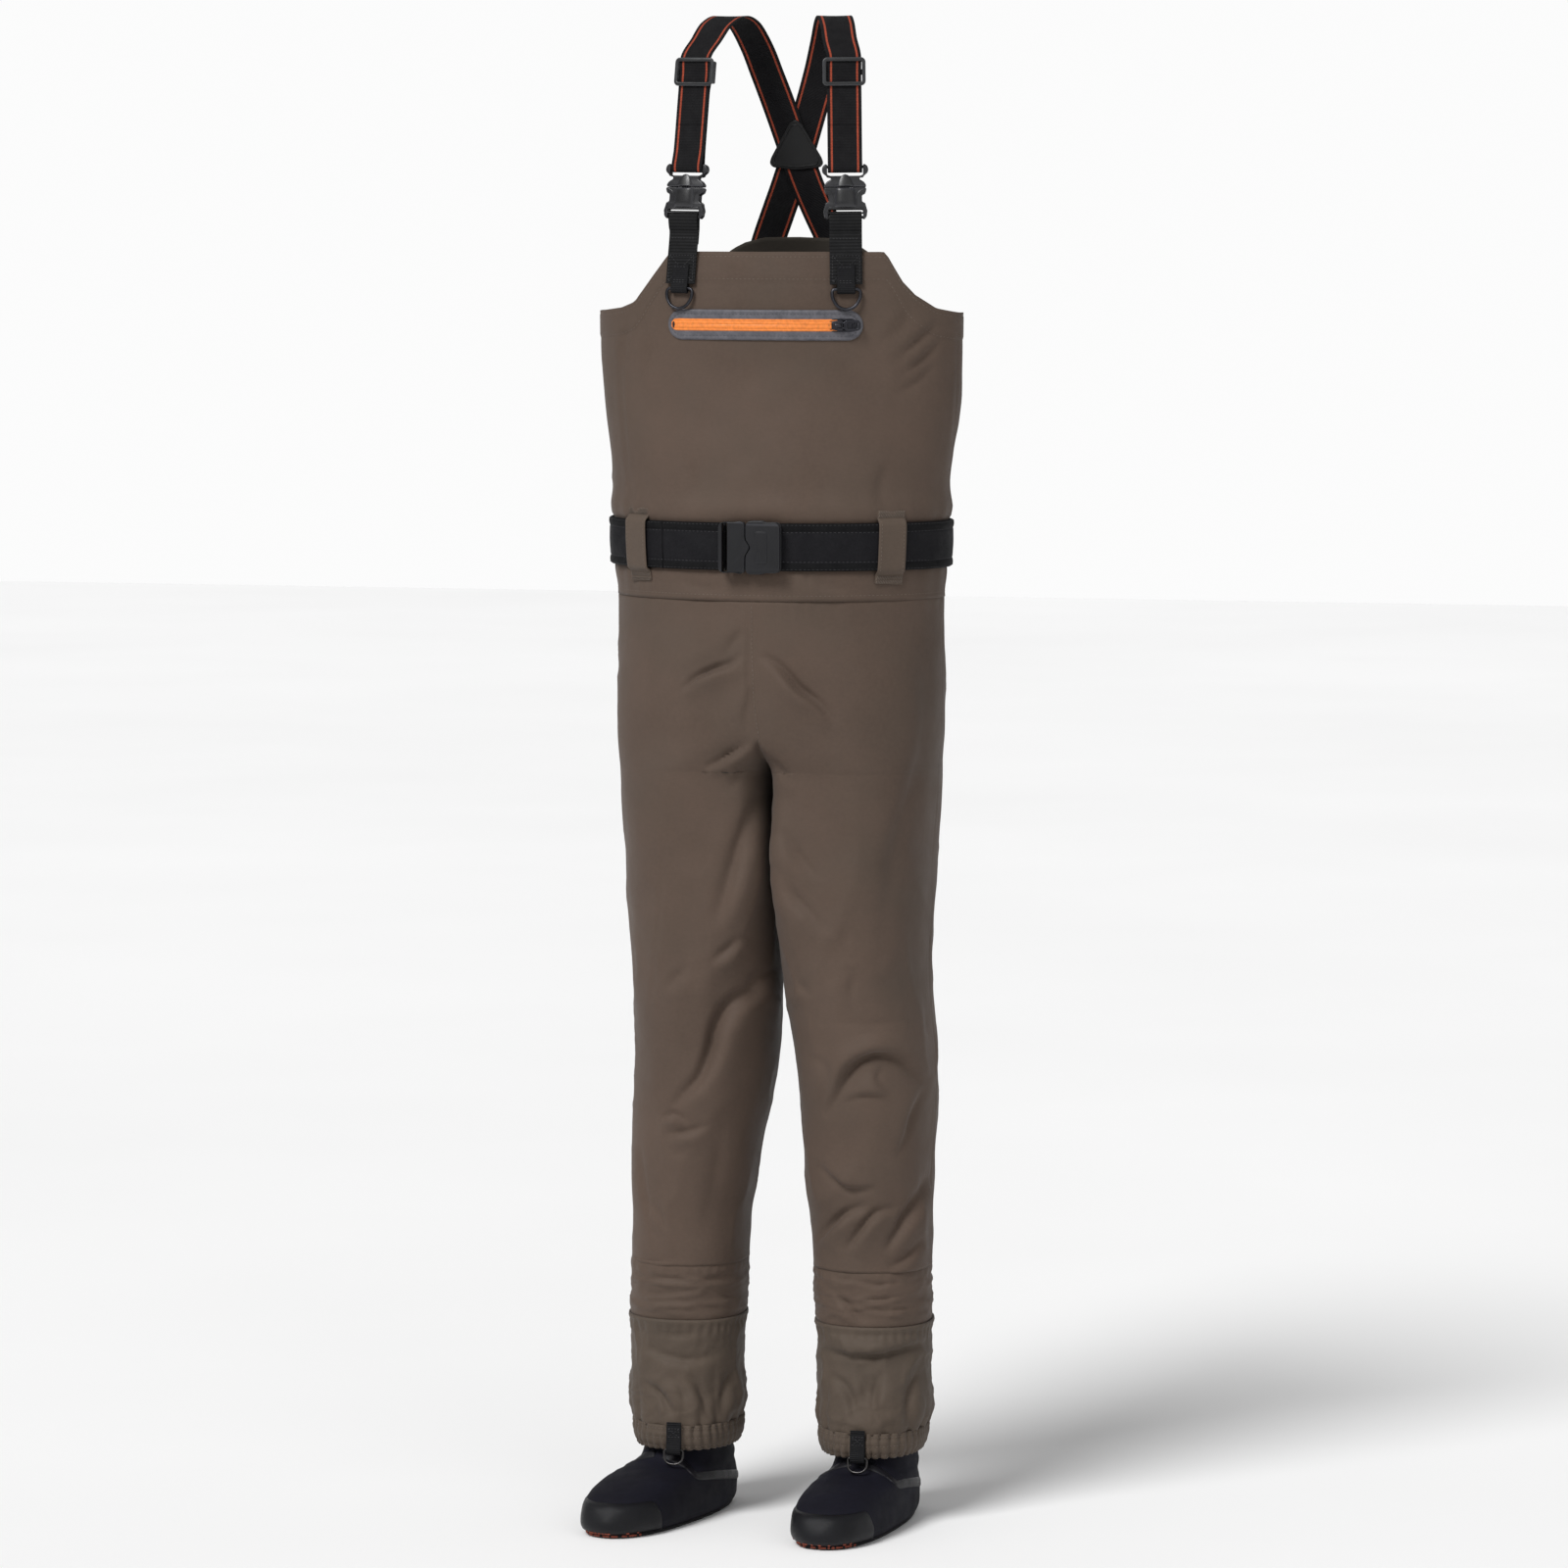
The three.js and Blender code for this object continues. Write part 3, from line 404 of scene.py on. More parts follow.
def eye(t=(0, 0, 0), rz=0.0, rx=0.0):
    M = np.eye(4)
    c, s = math.cos(rz), math.sin(rz)
    Rz = np.array([[c, -s, 0], [s, c, 0], [0, 0, 1]])
    c, s = math.cos(rx), math.sin(rx)
    Rx = np.array([[1, 0, 0], [0, c, -s], [0, s, c]])
    M[:3, :3] = Rz @ Rx
    M[:3, 3] = t
    return M


def plate(outline, holes, y0, y1, bevel=0.6):
    """A plate with rounded edges: outline and holes in (x, z), thick from y0 to y1."""
    cu = bpy.data.curves.new("tmp", "CURVE")
    cu.dimensions, cu.fill_mode = "2D", "BOTH"
    bevel = min(bevel, (y1 - y0) / 2 - 0.01)
    cu.extrude, cu.bevel_depth, cu.bevel_resolution, cu.offset = (y1 - y0) / 2 - bevel, bevel, 2, -bevel
    for poly in [outline] + list(holes):
        s = cu.splines.new("POLY")
        s.points.add(len(poly) - 1)
        for i, p in enumerate(poly):
            s.points[i].co = (p[0], p[1], 0, 1)
        s.use_cyclic_u = True
    ob = bpy.data.objects.new("tmp", cu)
    scene.collection.objects.link(ob)
    dg = bpy.context.evaluated_depsgraph_get()
    dg.update()
    me = bpy.data.meshes.new_from_object(ob.evaluated_get(dg), preserve_all_data_layers=False, depsgraph=dg)
    V = np.array([v.co for v in me.vertices], float).reshape(-1, 3)
    F = [list(p.vertices) for p in me.polygons]
    bpy.data.objects.remove(ob)
    bpy.data.curves.remove(cu)
    bpy.data.meshes.remove(me)
    # weld the shared rims
    key = np.round(V * 1e4).astype(np.int64)
    _, first, inv = np.unique(key, axis=0, return_index=True, return_inverse=True)
    inv = np.asarray(inv).reshape(-1)
    V = V[first]
    G = []
    for f in F:
        g = [int(inv[i]) for i in f]
        g = [g[i] for i in range(len(g)) if g[i] != g[i - 1]]
        if len(g) > 2:
            G.append(g)
    W = np.stack([V[:, 0], (y0 + y1) / 2 - V[:, 2], V[:, 1]], -1)
    return W, G


def rounded(pts, r=2.0, n=5):
    """A polygon with each corner rounded off; r may be one number or one per corner."""
    P = np.array(pts, float)
    m = len(P)
    rr = np.full(m, float(r)) if np.isscalar(r) else np.array(r, float)
    out = []
    for i in range(m):
        a, b, c = P[i - 1], P[i], P[(i + 1) % m]
        u, v = a - b, c - b
        lu, lv = np.linalg.norm(u), np.linalg.norm(v)
        d = min(rr[i], lu * 0.49, lv * 0.49)
        p, q = b + u / lu * d, b + v / lv * d
        if d < 0.05:
            out.append(b)
            continue
        for t in np.linspace(0, 1, n):
            out.append((1 - t) ** 2 * p + 2 * t * (1 - t) * b + t**2 * q)
    return [tuple(p) for p in out]


def crom(P, closed=False, sub=8):
    P = np.array(P, float)
    n, out = len(P), []
    for i in range(n if closed else n - 1):
        p0 = P[(i - 1) % n] if closed or i > 0 else 2 * P[0] - P[1]
        p1, p2 = P[i], P[(i + 1) % n]
        p3 = P[(i + 2) % n] if closed or i + 2 < n else 2 * P[-1] - P[-2]
        for k in range(sub):
            t = k / sub
            out.append(0.5 * (2 * p1 + (p2 - p0) * t + (2 * p0 - 5 * p1 + 4 * p2 - p3) * t * t + (-p0 + 3 * p1 - 3 * p2 + p3) * t**3))
    if not closed:
        out.append(P[-1])
    return np.array(out)


def unit(a):
    return a / np.maximum(np.linalg.norm(a, axis=-1, keepdims=True), 1e-9)


def tangents(P, closed=False):
    if closed:
        return unit(np.roll(P, -1, 0) - np.roll(P, 1, 0))
    return unit(np.gradient(P, axis=0))


def tube(pts, r, up, sides=12, closed=True, sub=6, flat=1.0):
    """A round bar along points. up is a direction across the whole path."""
    P = crom(pts, closed, sub)
    T = tangents(P, closed)
    B = np.tile(np.asarray(up, float), (len(P), 1))
    B = unit(B - T * (B * T).sum(1)[:, None])
    N = np.cross(T, B)
    a = np.linspace(0, 2 * np.pi, sides, endpoint=False)
    R = P[:, None, :] + r * (np.cos(a)[None, :, None] * N[:, None, :] + flat * np.sin(a)[None, :, None] * B[:, None, :])
    m, V, F = len(P), R.reshape(-1, 3), []
    for i in range(m if closed else m - 1):
        for j in range(sides):
            F.append([i * sides + j, i * sides + (j + 1) % sides, ((i + 1) % m) * sides + (j + 1) % sides, ((i + 1) % m) * sides + j])
    if not closed:
        # domed ends
        for end, sgn in ((0, -1), (m - 1, 1)):
            base = [end * sides + j for j in range(sides)]
            prev = base
            for k in (0.55, 0.88):
                ring = P[end] + T[end] * sgn * r * k + (R[end] - P[end]) * math.sqrt(1 - k * k)
                start = len(V)
                V = np.concatenate([V, ring])
                now = [start + j for j in range(sides)]
                for j in range(sides):
                    q = [prev[j], prev[(j + 1) % sides], now[(j + 1) % sides], now[j]]
                    F.append(q if sgn > 0 else q[::-1])
                prev = now
            F.append(prev if sgn > 0 else prev[::-1])
    return V, F


def blob(c, dx, dy, dz, rings=6, sides=10, M=None, power=1.0):
    """A closed rounded lump centred at c with half sizes given as vectors."""
    V, F = [], []
    c, dx, dy, dz = (np.asarray(v, float) for v in (c, dx, dy, dz))
    V.append(c - dz)
    for i in range(1, rings):
        a = math.pi * i / rings
        for j in range(sides):
            b = 2 * math.pi * j / sides
            x, y = math.cos(b), math.sin(b)
            V.append(c - dz * math.cos(a) + math.sin(a) ** power * (dx * x + dy * y))
    V.append(c + dz)
    for j in range(sides):
        F.append([0, 1 + (j + 1) % sides, 1 + j])
        for i in range(rings - 2):
            p, q = 1 + i * sides, 1 + (i + 1) * sides
            F.append([p + j, p + (j + 1) % sides, q + (j + 1) % sides, q + j])
        p = 1 + (rings - 2) * sides
        F.append([p + j, p + (j + 1) % sides, len(V) - 1])
    return np.array(V), F


def ribbon(pts, wdirs, w, t, step=2.5, cols=14, rib=0.0, pitch=2.6, curl=0.0, sub=8, straight=False, fray=0.0, seed=3):
    """A strip of webbing along points, as a closed mesh with UVs in metres: u across from 0 to w, v along."""
    P = np.array(pts, float) if straight else crom(pts, False, sub)
    Wd = np.array(wdirs, float)
    if Wd.ndim == 1:
        Wd = np.tile(Wd, (len(P), 1))
    elif not straight:
        Wd = crom(Wd, False, sub)
    s = np.concatenate([[0], np.cumsum(np.linalg.norm(np.diff(P, axis=0), axis=1))])
    n = max(4, int(s[-1] / step))
    u = np.linspace(0, s[-1], n + 1)
    P = np.stack([np.interp(u, s, P[:, k]) for k in range(3)], -1)
    Wd = np.stack([np.interp(u, s, Wd[:, k]) for k in range(3)], -1)
    T = tangents(P)
    Wd = unit(Wd - T * (Wd * T).sum(1)[:, None])
    N = np.cross(T, Wd)
    e = min(0.5, t * 0.4)
    xs = np.linspace(w / 2 - e, -w / 2 + e, cols + 1)
    sec = [(x, 1.0) for x in xs] + [(-w / 2, 0.35), (-w / 2, -0.35)] + [(x, -1.0) for x in xs[::-1]] + [(w / 2, -0.35), (w / 2, 0.35)]
    X = np.array([q[0] for q in sec])
    H = np.array([q[1] for q in sec])
    wave = rib * np.cos(2 * np.pi * u / pitch)
    cup = curl * (1 - (2 * X / w) ** 2)
    hgt = H[None, :] * (t / 2) + np.sign(H)[None, :] * (np.abs(H) > 0.9)[None, :] * wave[:, None] + cup[None, :]
    edge = X[None, :] * (1 + (fray * np.sin(u * 1.7 + seed) / w * 2)[:, None])
    V = P[:, None, :] + edge[..., None] * Wd[:, None, :] + hgt[..., None] * N[:, None, :]
    C = len(X)
    uu = np.concatenate([X, X[:1]]) + w / 2
    uv = np.stack(np.broadcast_arrays(uu[None, :] * MM, u[:, None] * MM), -1)
    Vv, F, U = grid(V, True, uv)
    faces = F.tolist()
    uvs = U.reshape(-1, 2).tolist()
    rows = len(u)
    for end in (0, rows - 1):
        idx = [end * C + j for j in range(C)]
        if end == 0:
            idx = idx[::-1]
        faces.append(idx)
        uvs.extend([[(X[i % C] + w / 2) * MM, u[end] * MM] for i in idx])
    return Vv, faces, uvs


def stitches(path, nor, length=2.6, gap=1.3, r=0.34, lift=0.1, start=0.0, end=None, closed=False):
    """Small thread lozenges along a path on a surface. path and nor are arrays of points and normals."""
    P, N = np.asarray(path, float), np.asarray(nor, float)
    if N.ndim == 1:
        N = np.tile(N, (len(P), 1))
    s = np.concatenate([[0], np.cumsum(np.linalg.norm(np.diff(P, axis=0), axis=1))])
    stop = s[-1] if end is None else end
    at = np.arange(start + gap / 2, stop - length * 0.6, length + gap)
    out = Soup()
    if len(at) == 0:
        return out

    def pos(u):
        return np.stack([np.interp(u, s, P[:, k]) for k in range(3)], -1), unit(np.stack([np.interp(u, s, N[:, k]) for k in range(3)], -1))

    rings = [(0.0, 0.15, -0.9), (0.22, 0.9, -0.05), (0.5, 1.0, 0.1), (0.78, 0.9, -0.05), (1.0, 0.15, -0.9)]
    a = np.array([0.25, 0.75, 1.25, 1.75]) * np.pi
    verts, faces = [], []
    n = len(at)
    T = None
    c0, _ = pos(at)
    c1, _ = pos(at + length)
    T = unit(c1 - c0)
    for k, (f, rad, up) in enumerate(rings):
        c, nn = pos(at + length * f)
        B = unit(np.cross(T, nn))
        nn2 = np.cross(B, T)
        c = c + nn2 * (lift + r * up)
        for q in a:
            verts.append(c + r * rad * (math.cos(q) * B + math.sin(q) * nn2))
    V = np.stack(verts, 1)  # n, 20, 3
    tmpl = []
    for k in range(4):
        for j in range(4):
            p, q = k * 4, (k + 1) * 4
            tmpl.append([p + j, q + j, q + (j + 1) % 4, p + (j + 1) % 4])
    tmpl.append([0, 1, 2, 3])
    tmpl.append([19, 18, 17, 16])
    for m in range(n):
        faces.extend([[i + m * 20 for i in f] for f in tmpl])
    out.add(V.reshape(-1, 3), faces)
    return out


# ------------------------------------------------------------------ materials
def lin(rgb):
    out = []
    for c in rgb:
        c = c / 255.0
        out.append(c / 12.92 if c <= 0.04045 else ((c + 0.055) / 1.055) ** 2.4)
    return (*out, 1.0)


class Mat:
    def __init__(self, name):
        self.m = bpy.data.materials.new(name)
        self.m.use_nodes = True
        self.nt = self.m.node_tree
        self.nt.nodes.clear()
        self.out = self.node("ShaderNodeOutputMaterial")
        self.b = self.node("ShaderNodeBsdfPrincipled")
        self.link(self.b.outputs[0], self.out.inputs[0])
        self.tc = self.node("ShaderNodeTexCoord")
        self.height = None

    def node(self, kind, **kw):
        n = self.nt.nodes.new(kind)
        for k, v in kw.items():
            setattr(n, k, v)
        return n

    def link(self, a, b):
        self.nt.links.new(a, b)
        return b

    def noise(self, scale, detail=4.0, rough=0.55, coord="Object", stretch=None, seed=0.0):
        n = self.node("ShaderNodeTexNoise")
        n.inputs["Scale"].default_value = scale
        n.inputs["Detail"].default_value = detail
        n.inputs["Roughness"].default_value = rough
        mp = self.node("ShaderNodeMapping")
        mp.inputs["Location"].default_value = (seed, seed * 0.7, seed * 1.3)
        if stretch:
            mp.inputs["Scale"].default_value = stretch
        self.link(self.tc.outputs[coord], mp.inputs[0])
        self.link(mp.outputs[0], n.inputs["Vector"])
        return n.outputs["Fac"]

    def math(self, op, a, b=None, clamp=False):
        n = self.node("ShaderNodeMath", operation=op, use_clamp=clamp)
        for i, v in enumerate((a, b)):
            if v is None:
                continue
            if isinstance(v, (int, float)):
                n.inputs[i].default_value = v
            else:
                self.link(v, n.inputs[i])
        return n.outputs[0]

    def span(self, v, a, b, c, d):
        n = self.node("ShaderNodeMapRange")
        n.clamp = True
        self.link(v, n.inputs[0])
        for i, x in enumerate((a, b, c, d)):
            n.inputs[i + 1].default_value = x
        return n.outputs[0]

    def mix(self, f, a, b, mode="MIX"):
        n = self.node("ShaderNodeMix", data_type="RGBA", blend_type=mode)
        if isinstance(f, (int, float)):
            n.inputs[0].default_value = f
        else:
            self.link(f, n.inputs[0])
        for i, v in ((6, a), (7, b)):
            if isinstance(v, tuple):
                n.inputs[i].default_value = v
            else:
                self.link(v, n.inputs[i])
        return n.outputs[2]

    def uv(self):
        s = self.node("ShaderNodeSeparateXYZ")
        self.link(self.tc.outputs["UV"], s.inputs[0])
        return s.outputs[0], s.outputs[1]

    def color(self, c):
        if isinstance(c, tuple):
            self.b.inputs["Base Color"].default_value = c
        else:
            self.link(c, self.b.inputs["Base Color"])

    def rough(self, r):
        if isinstance(r, (int, float)):
            self.b.inputs["Roughness"].default_value = r
        else:
            self.link(r, self.b.inputs["Roughness"])

    def bump(self, height, dist, strength=1.0):
        n = self.node("ShaderNodeBump")
        n.inputs["Strength"].default_value = strength
        n.inputs["Distance"].default_value = dist
        self.link(height, n.inputs["Height"])
        if self.height is not None:
            self.link(self.height, n.inputs["Normal"])
        self.height = n.outputs[0]
        # the chain's last output feeds the shader
        for l in list(self.nt.links):
            if l.to_socket == self.b.inputs["Normal"]:
                self.nt.links.remove(l)
        self.link(self.height, self.b.inputs["Normal"])

    def weave(self, pitch_u, pitch_v, dist, strength=0.6):
        u, v = self.uv()
        su = self.math("SINE", self.math("MULTIPLY", u, 2 * math.pi / pitch_u))
        sv = self.math("SINE", self.math("MULTIPLY", v, 2 * math.pi / pitch_v))
        w = self.math("MULTIPLY", su, sv)
        self.bump(w, dist, strength)
        return w

    def set(self, **kw):
        for k, v in kw.items():
            self.b.inputs[k.replace("_", " ")].default_value = v
        return self


def cloth_mat(name, rgb, dark, light, rough=(0.62, 0.74), pitch=0.0011, sheen=0.12, spec=0.35, cool=None):
    m = Mat(name)
    base = lin(rgb)
    patchy = m.span(m.noise(5.0, 5, 0.6), 0.32, 0.68, 0, 1)
    fine = m.span(m.noise(260.0, 2, 0.6, seed=3.1), 0.3, 0.7, 0, 1)
    yarn = m.span(m.noise(1.0, 2, 0.5, coord="UV", stretch=(140, 2200, 1), seed=1.7), 0.35, 0.65, 0, 1)
    c = m.mix(patchy, lin(dark), lin(light))
    c = m.mix(m.math("MULTIPLY", fine, 0.22), c, lin(tuple(min(255, v * 1.16) for v in rgb)))
    c = m.mix(m.math("MULTIPLY", yarn, 0.16), c, lin(tuple(v * 0.82 for v in rgb)))
    if cool is not None:
        c = m.mix(m.math("MULTIPLY", m.span(m.noise(9.0, 3, 0.5, seed=8.2), 0.45, 0.75, 0, 1), 0.5), c, lin(cool))
    m.color(c)
    m.rough(m.span(m.noise(30.0, 3), 0.3, 0.7, rough[0], rough[1]))
    m.weave(pitch, pitch, 0.00012, 0.5)
    m.bump(m.noise(420.0, 3, 0.6), 0.0001, 0.5)
    m.bump(m.noise(38.0, 4, 0.55, seed=5.0), 0.0006, 0.35)
    m.set(Specular_IOR_Level=spec, Sheen_Weight=sheen, Sheen_Roughness=0.5)
    return m.m


SHELL = cloth_mat("woven_shell", (81, 66, 57), (74, 61, 52), (87, 72, 62), cool=(75, 65, 56), spec=0.22, sheen=0.06)
SEAMED = cloth_mat("guard_shell", (77, 66, 57), (71, 61, 52), (84, 72, 62), pitch=0.0013, cool=(73, 65, 57), spec=0.22, sheen=0.06)
LOOPS = cloth_mat("loop_shell", (81, 69, 60), (75, 64, 55), (89, 76, 66), pitch=0.0011, spec=0.22, sheen=0.06)
LINING = cloth_mat("lining", (48, 43, 37), (40, 36, 30), (55, 49, 42), rough=(0.8, 0.9), sheen=0.05)
THREAD = Mat("thread_taupe")
THREAD.color(THREAD.mix(THREAD.span(THREAD.noise(900.0, 2), 0.3, 0.7, 0, 1), lin((84, 74, 66)), lin((112, 100, 90))))
THREAD.rough(0.7)
THREAD.bump(THREAD.noise(2600.0, 2), 0.0001, 0.5)
THREAD = THREAD.m
THREAD_K = Mat("thread_dark")
THREAD_K.color(THREAD_K.mix(THREAD_K.span(THREAD_K.noise(900.0, 2), 0.3, 0.7, 0, 1), lin((30, 30, 32)), lin((58, 57, 60))))
THREAD_K.rough(0.65)
THREAD_K.bump(THREAD_K.noise(2600.0, 2), 0.0001, 0.5)
THREAD_K = THREAD_K.m


def web_mat(name, rgb, rib=0.0026, stripe=None, w=0.036, contrast=0.5):
    m = Mat(name)
    u, v = m.uv()
    dark, light = tuple(x * 0.72 for x in rgb), tuple(min(255, x * 1.28) for x in rgb)
    rows = m.math("SINE", m.math("MULTIPLY", v, 2 * math.pi / rib))
    warp = m.math("SINE", m.math("MULTIPLY", u, 2 * math.pi / 0.0012))
    # painted shade: the colour follows the rib rows in step with their bump, lighter on the rib tops and darker in the
    # grooves, and contrast mixes it with random tone
    f = m.span(rows, -1, 1, 0, 1)
    f = m.math("ADD", m.math("MULTIPLY", f, contrast), m.math("MULTIPLY", m.span(m.noise(700.0, 3), 0.3, 0.7, 0, 1), 1 - contrast))
    c = m.mix(f, lin(dark), lin(light))
    if stripe:
        d = m.math("ABSOLUTE", m.math("SUBTRACT", m.math("ABSOLUTE", m.math("SUBTRACT", u, w / 2)), stripe[0]))
        on = m.span(d, stripe[1] / 2 - 0.00012, stripe[1] / 2 + 0.00012, 1, 0)
        red = m.mix(f, lin(tuple(x * 0.78 for x in stripe[2])), lin(tuple(min(255, x * 1.16) for x in stripe[2])))
        c = m.mix(on, c, red)
        m.bump(on, 0.00025, 0.6)
    m.color(c)
    m.rough(m.span(m.noise(90.0, 3), 0.3, 0.7, 0.62, 0.82))
    m.bump(rows, 0.00022, 0.7)
    m.bump(m.math("MULTIPLY", warp, rows), 0.00012, 0.5)
    m.bump(m.noise(900.0, 2), 0.0001, 0.5)
    m.set(Specular_IOR_Level=0.16)
    return m.m


# contrast sets how much painted groove shade each webbing gets
ELASTIC = web_mat("brace_webbing", (15, 14, 16), rib=0.0016, stripe=(0.01365, 0.0021, (150, 66, 46)), contrast=0.35)
RIBBED = web_mat("ribbed_webbing", (20, 20, 21), rib=0.0034, contrast=0.6)
TABWEB = web_mat("tab_webbing", (19, 19, 21), rib=0.0020, contrast=0.5)
BELT_WEB = web_mat("belt_binding", (10, 10, 12), rib=0.0011, contrast=0.3)


def belt_mat():
    m = Mat("belt_padding")
    f = m.span(m.noise(420.0, 3, 0.65), 0.3, 0.7, 0, 1)
    c = m.mix(f, lin((13, 13, 16)), lin((22, 21, 25)))
    c = m.mix(m.math("MULTIPLY", m.span(m.noise(26.0, 3), 0.4, 0.7, 0, 1), 0.4), c, lin((18, 17, 21)))
    m.color(c)
    m.rough(m.span(m.noise(60.0, 3), 0.3, 0.7, 0.6, 0.78))
    m.weave(0.0017, 0.0017, 0.00022, 0.8)
    m.bump(m.noise(60.0, 4), 0.0006, 0.4)
    m.set(Specular_IOR_Level=0.16)
    return m.m


PAD = belt_mat()


def plastic_mat(name, rgb, rough=(0.38, 0.5), grain=0.00008, spec=0.5, edge=None):
    m = Mat(name)
    f = m.span(m.noise(40.0, 4, 0.6), 0.3, 0.7, 0, 1)
    c = m.mix(f, lin(tuple(x * 0.92 for x in rgb)), lin(tuple(min(255, x * 1.08) for x in rgb)))
    # painted highlight: convex edges, found by Pointiness, are lightened toward the edge colour, standing in for the
    # light that moulded edges catch
    if edge:
        geo = m.node("ShaderNodeNewGeometry")
        e = m.span(geo.outputs["Pointiness"], 0.51, 0.58, 0, 1)
        c = m.mix(m.math("MULTIPLY", e, 0.6), c, lin(edge))
    m.color(c)
    m.rough(m.span(m.noise(120.0, 3), 0.3, 0.7, *rough))
    m.bump(m.noise(1500.0, 3, 0.6), grain, 0.6)
    m.set(Specular_IOR_Level=spec)
    return m.m


# the edge colours given here are painted highlights along the moulded edges
ACETAL = plastic_mat("moulded_clip", (17, 17, 19), rough=(0.3, 0.4), edge=(66, 66, 72))
BUCKLE = plastic_mat("moulded_buckle", (13, 13, 15), rough=(0.4, 0.52), edge=(58, 58, 63), spec=0.3)
SLIDER = plastic_mat("moulded_slider", (24, 25, 27), rough=(0.32, 0.42), edge=(86, 88, 92))
PATCH = plastic_mat("cross_patch_plastic", (16, 16, 17), rough=(0.34, 0.42), spec=0.35)
SOLE = plastic_mat("sole_rubber", (14, 14, 17), rough=(0.7, 0.85), grain=0.0002, spec=0.3)


def metal_mat(name, rgb, rough=(0.28, 0.42)):
    m = Mat(name)
    f = m.span(m.noise(160.0, 4, 0.6), 0.3, 0.7, 0, 1)
    m.color(m.mix(f, lin(tuple(x * 0.8 for x in rgb)), lin(rgb)))
    m.rough(m.span(m.noise(260.0, 3), 0.3, 0.7, *rough))
    m.bump(m.noise(1100.0, 2), 0.00005, 0.5)
    m.set(Metallic=1.0)
    return m.m


GUNMETAL = metal_mat("dark_metal", (66, 66, 71), (0.3, 0.42))
NICKEL = metal_mat("hook_metal", (74, 72, 72), (0.28, 0.4))


def neoprene_mat(name, rgb, cool, rough=(0.66, 0.8), sheen=0.2, spec=0.15):
    m = Mat(name)
    f = m.span(m.noise(14.0, 4, 0.6), 0.32, 0.68, 0, 1)
    c = m.mix(f, lin(rgb), lin(cool))
    c = m.mix(m.math("MULTIPLY", m.span(m.noise(800.0, 2), 0.35, 0.65, 0, 1), 0.3), c, lin(tuple(min(255, x * 1.3) for x in rgb)))
    m.color(c)
    m.rough(m.span(m.noise(50.0, 3), 0.3, 0.7, *rough))
    m.weave(0.0009, 0.0009, 0.0001, 0.5)
    m.bump(m.noise(130.0, 4), 0.0004, 0.4)
    m.set(Specular_IOR_Level=spec, Sheen_Weight=sheen, Sheen_Roughness=0.45)
    return m.m


NEOPRENE = neoprene_mat("neoprene_jersey", (13, 12, 19), (19, 19, 30), sheen=0.0)
RAND = neoprene_mat("toe_rubber", (12, 12, 15), (20, 20, 24), rough=(0.36, 0.5), sheen=0.0, spec=0.22)
TAPE = neoprene_mat("seam_tape", (15, 14, 18), (21, 20, 25), rough=(0.36, 0.5), sheen=0.0, spec=0.25)
GRIP = plastic_mat("grip_print", (128, 62, 46), rough=(0.6, 0.75), grain=0.00015, spec=0.3)


def laminate_mat():
    m = Mat("pocket_laminate")
    f = m.span(m.noise(150.0, 5, 0.7), 0.35, 0.65, 0, 1)
    c = m.mix(f, lin((70, 70, 76)), lin((94, 93, 99)))
    c = m.mix(m.math("MULTIPLY", m.span(m.noise(36.0, 3), 0.4, 0.65, 0, 1), 0.35), c, lin((84, 82, 86)))
    m.color(c)
    m.rough(m.span(m.noise(90.0, 3), 0.3, 0.7, 0.5, 0.66))
    m.bump(m.noise(600.0, 4, 0.7), 0.0002, 0.7)
    m.set(Specular_IOR_Level=0.4)
    return m.m


LAMINATE = laminate_mat()


def zip_mat(name, rgb, rough=0.45):
    m = Mat(name)
    f = m.span(m.noise(300.0, 3), 0.3, 0.7, 0, 1)
    m.color(m.mix(f, lin(tuple(x * 0.9 for x in rgb)), lin(tuple(min(255, x * 1.05) for x in rgb))))
    m.rough(m.span(m.noise(200.0, 3), 0.3, 0.7, rough - 0.06, rough + 0.08))
    m.bump(m.noise(900.0, 2), 0.00008, 0.5)
    m.set(Specular_IOR_Level=0.4)
    return m.m


ZIP_TAPE = zip_mat("zip_tape", (226, 128, 52), 0.62)
ZIP_TEETH = zip_mat("zip_teeth", (243, 150, 66), 0.38)


def finish_piece(ob, body, slot, *nodes, blend=None):
    if blend:
        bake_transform(ob)
    else:
        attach(ob, body)
    if nodes:
        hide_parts(*nodes)
    return ob


def row(*p):
    """A body-frame point as a row-frame point in metres."""
    return tuple((np.array(p, float) + MOVE) * MM)


# ------------------------------------------------------------------ folds
# each stroke: points in the front view, half width, depth, kind; a crease sinks with a raised lip on one side
def along(pts, q):
    """Signed distance to a polyline, and how far along it the nearest point is, from 0 to 1."""
    P = np.asarray(pts, float)
    seg = np.diff(P, axis=0)
    ln = np.linalg.norm(seg, axis=1)
    cum = np.concatenate([[0], np.cumsum(ln)])
    best = np.full(len(q), 1e9)
    sd, tt = np.zeros(len(q)), np.zeros(len(q))
    for i in range(len(seg)):
        d = q - P[i]
        t = np.clip((d @ seg[i]) / ln[i] ** 2, 0, 1)
        r = d - t[:, None] * seg[i]
        dist = np.linalg.norm(r, axis=1)
        s = np.sign(seg[i][0] * d[:, 1] - seg[i][1] * d[:, 0])
        m = dist < best
        best[m], sd[m], tt[m] = dist[m], (s * dist)[m], ((cum[i] + t * ln[i]) / cum[-1])[m]
    return sd, tt


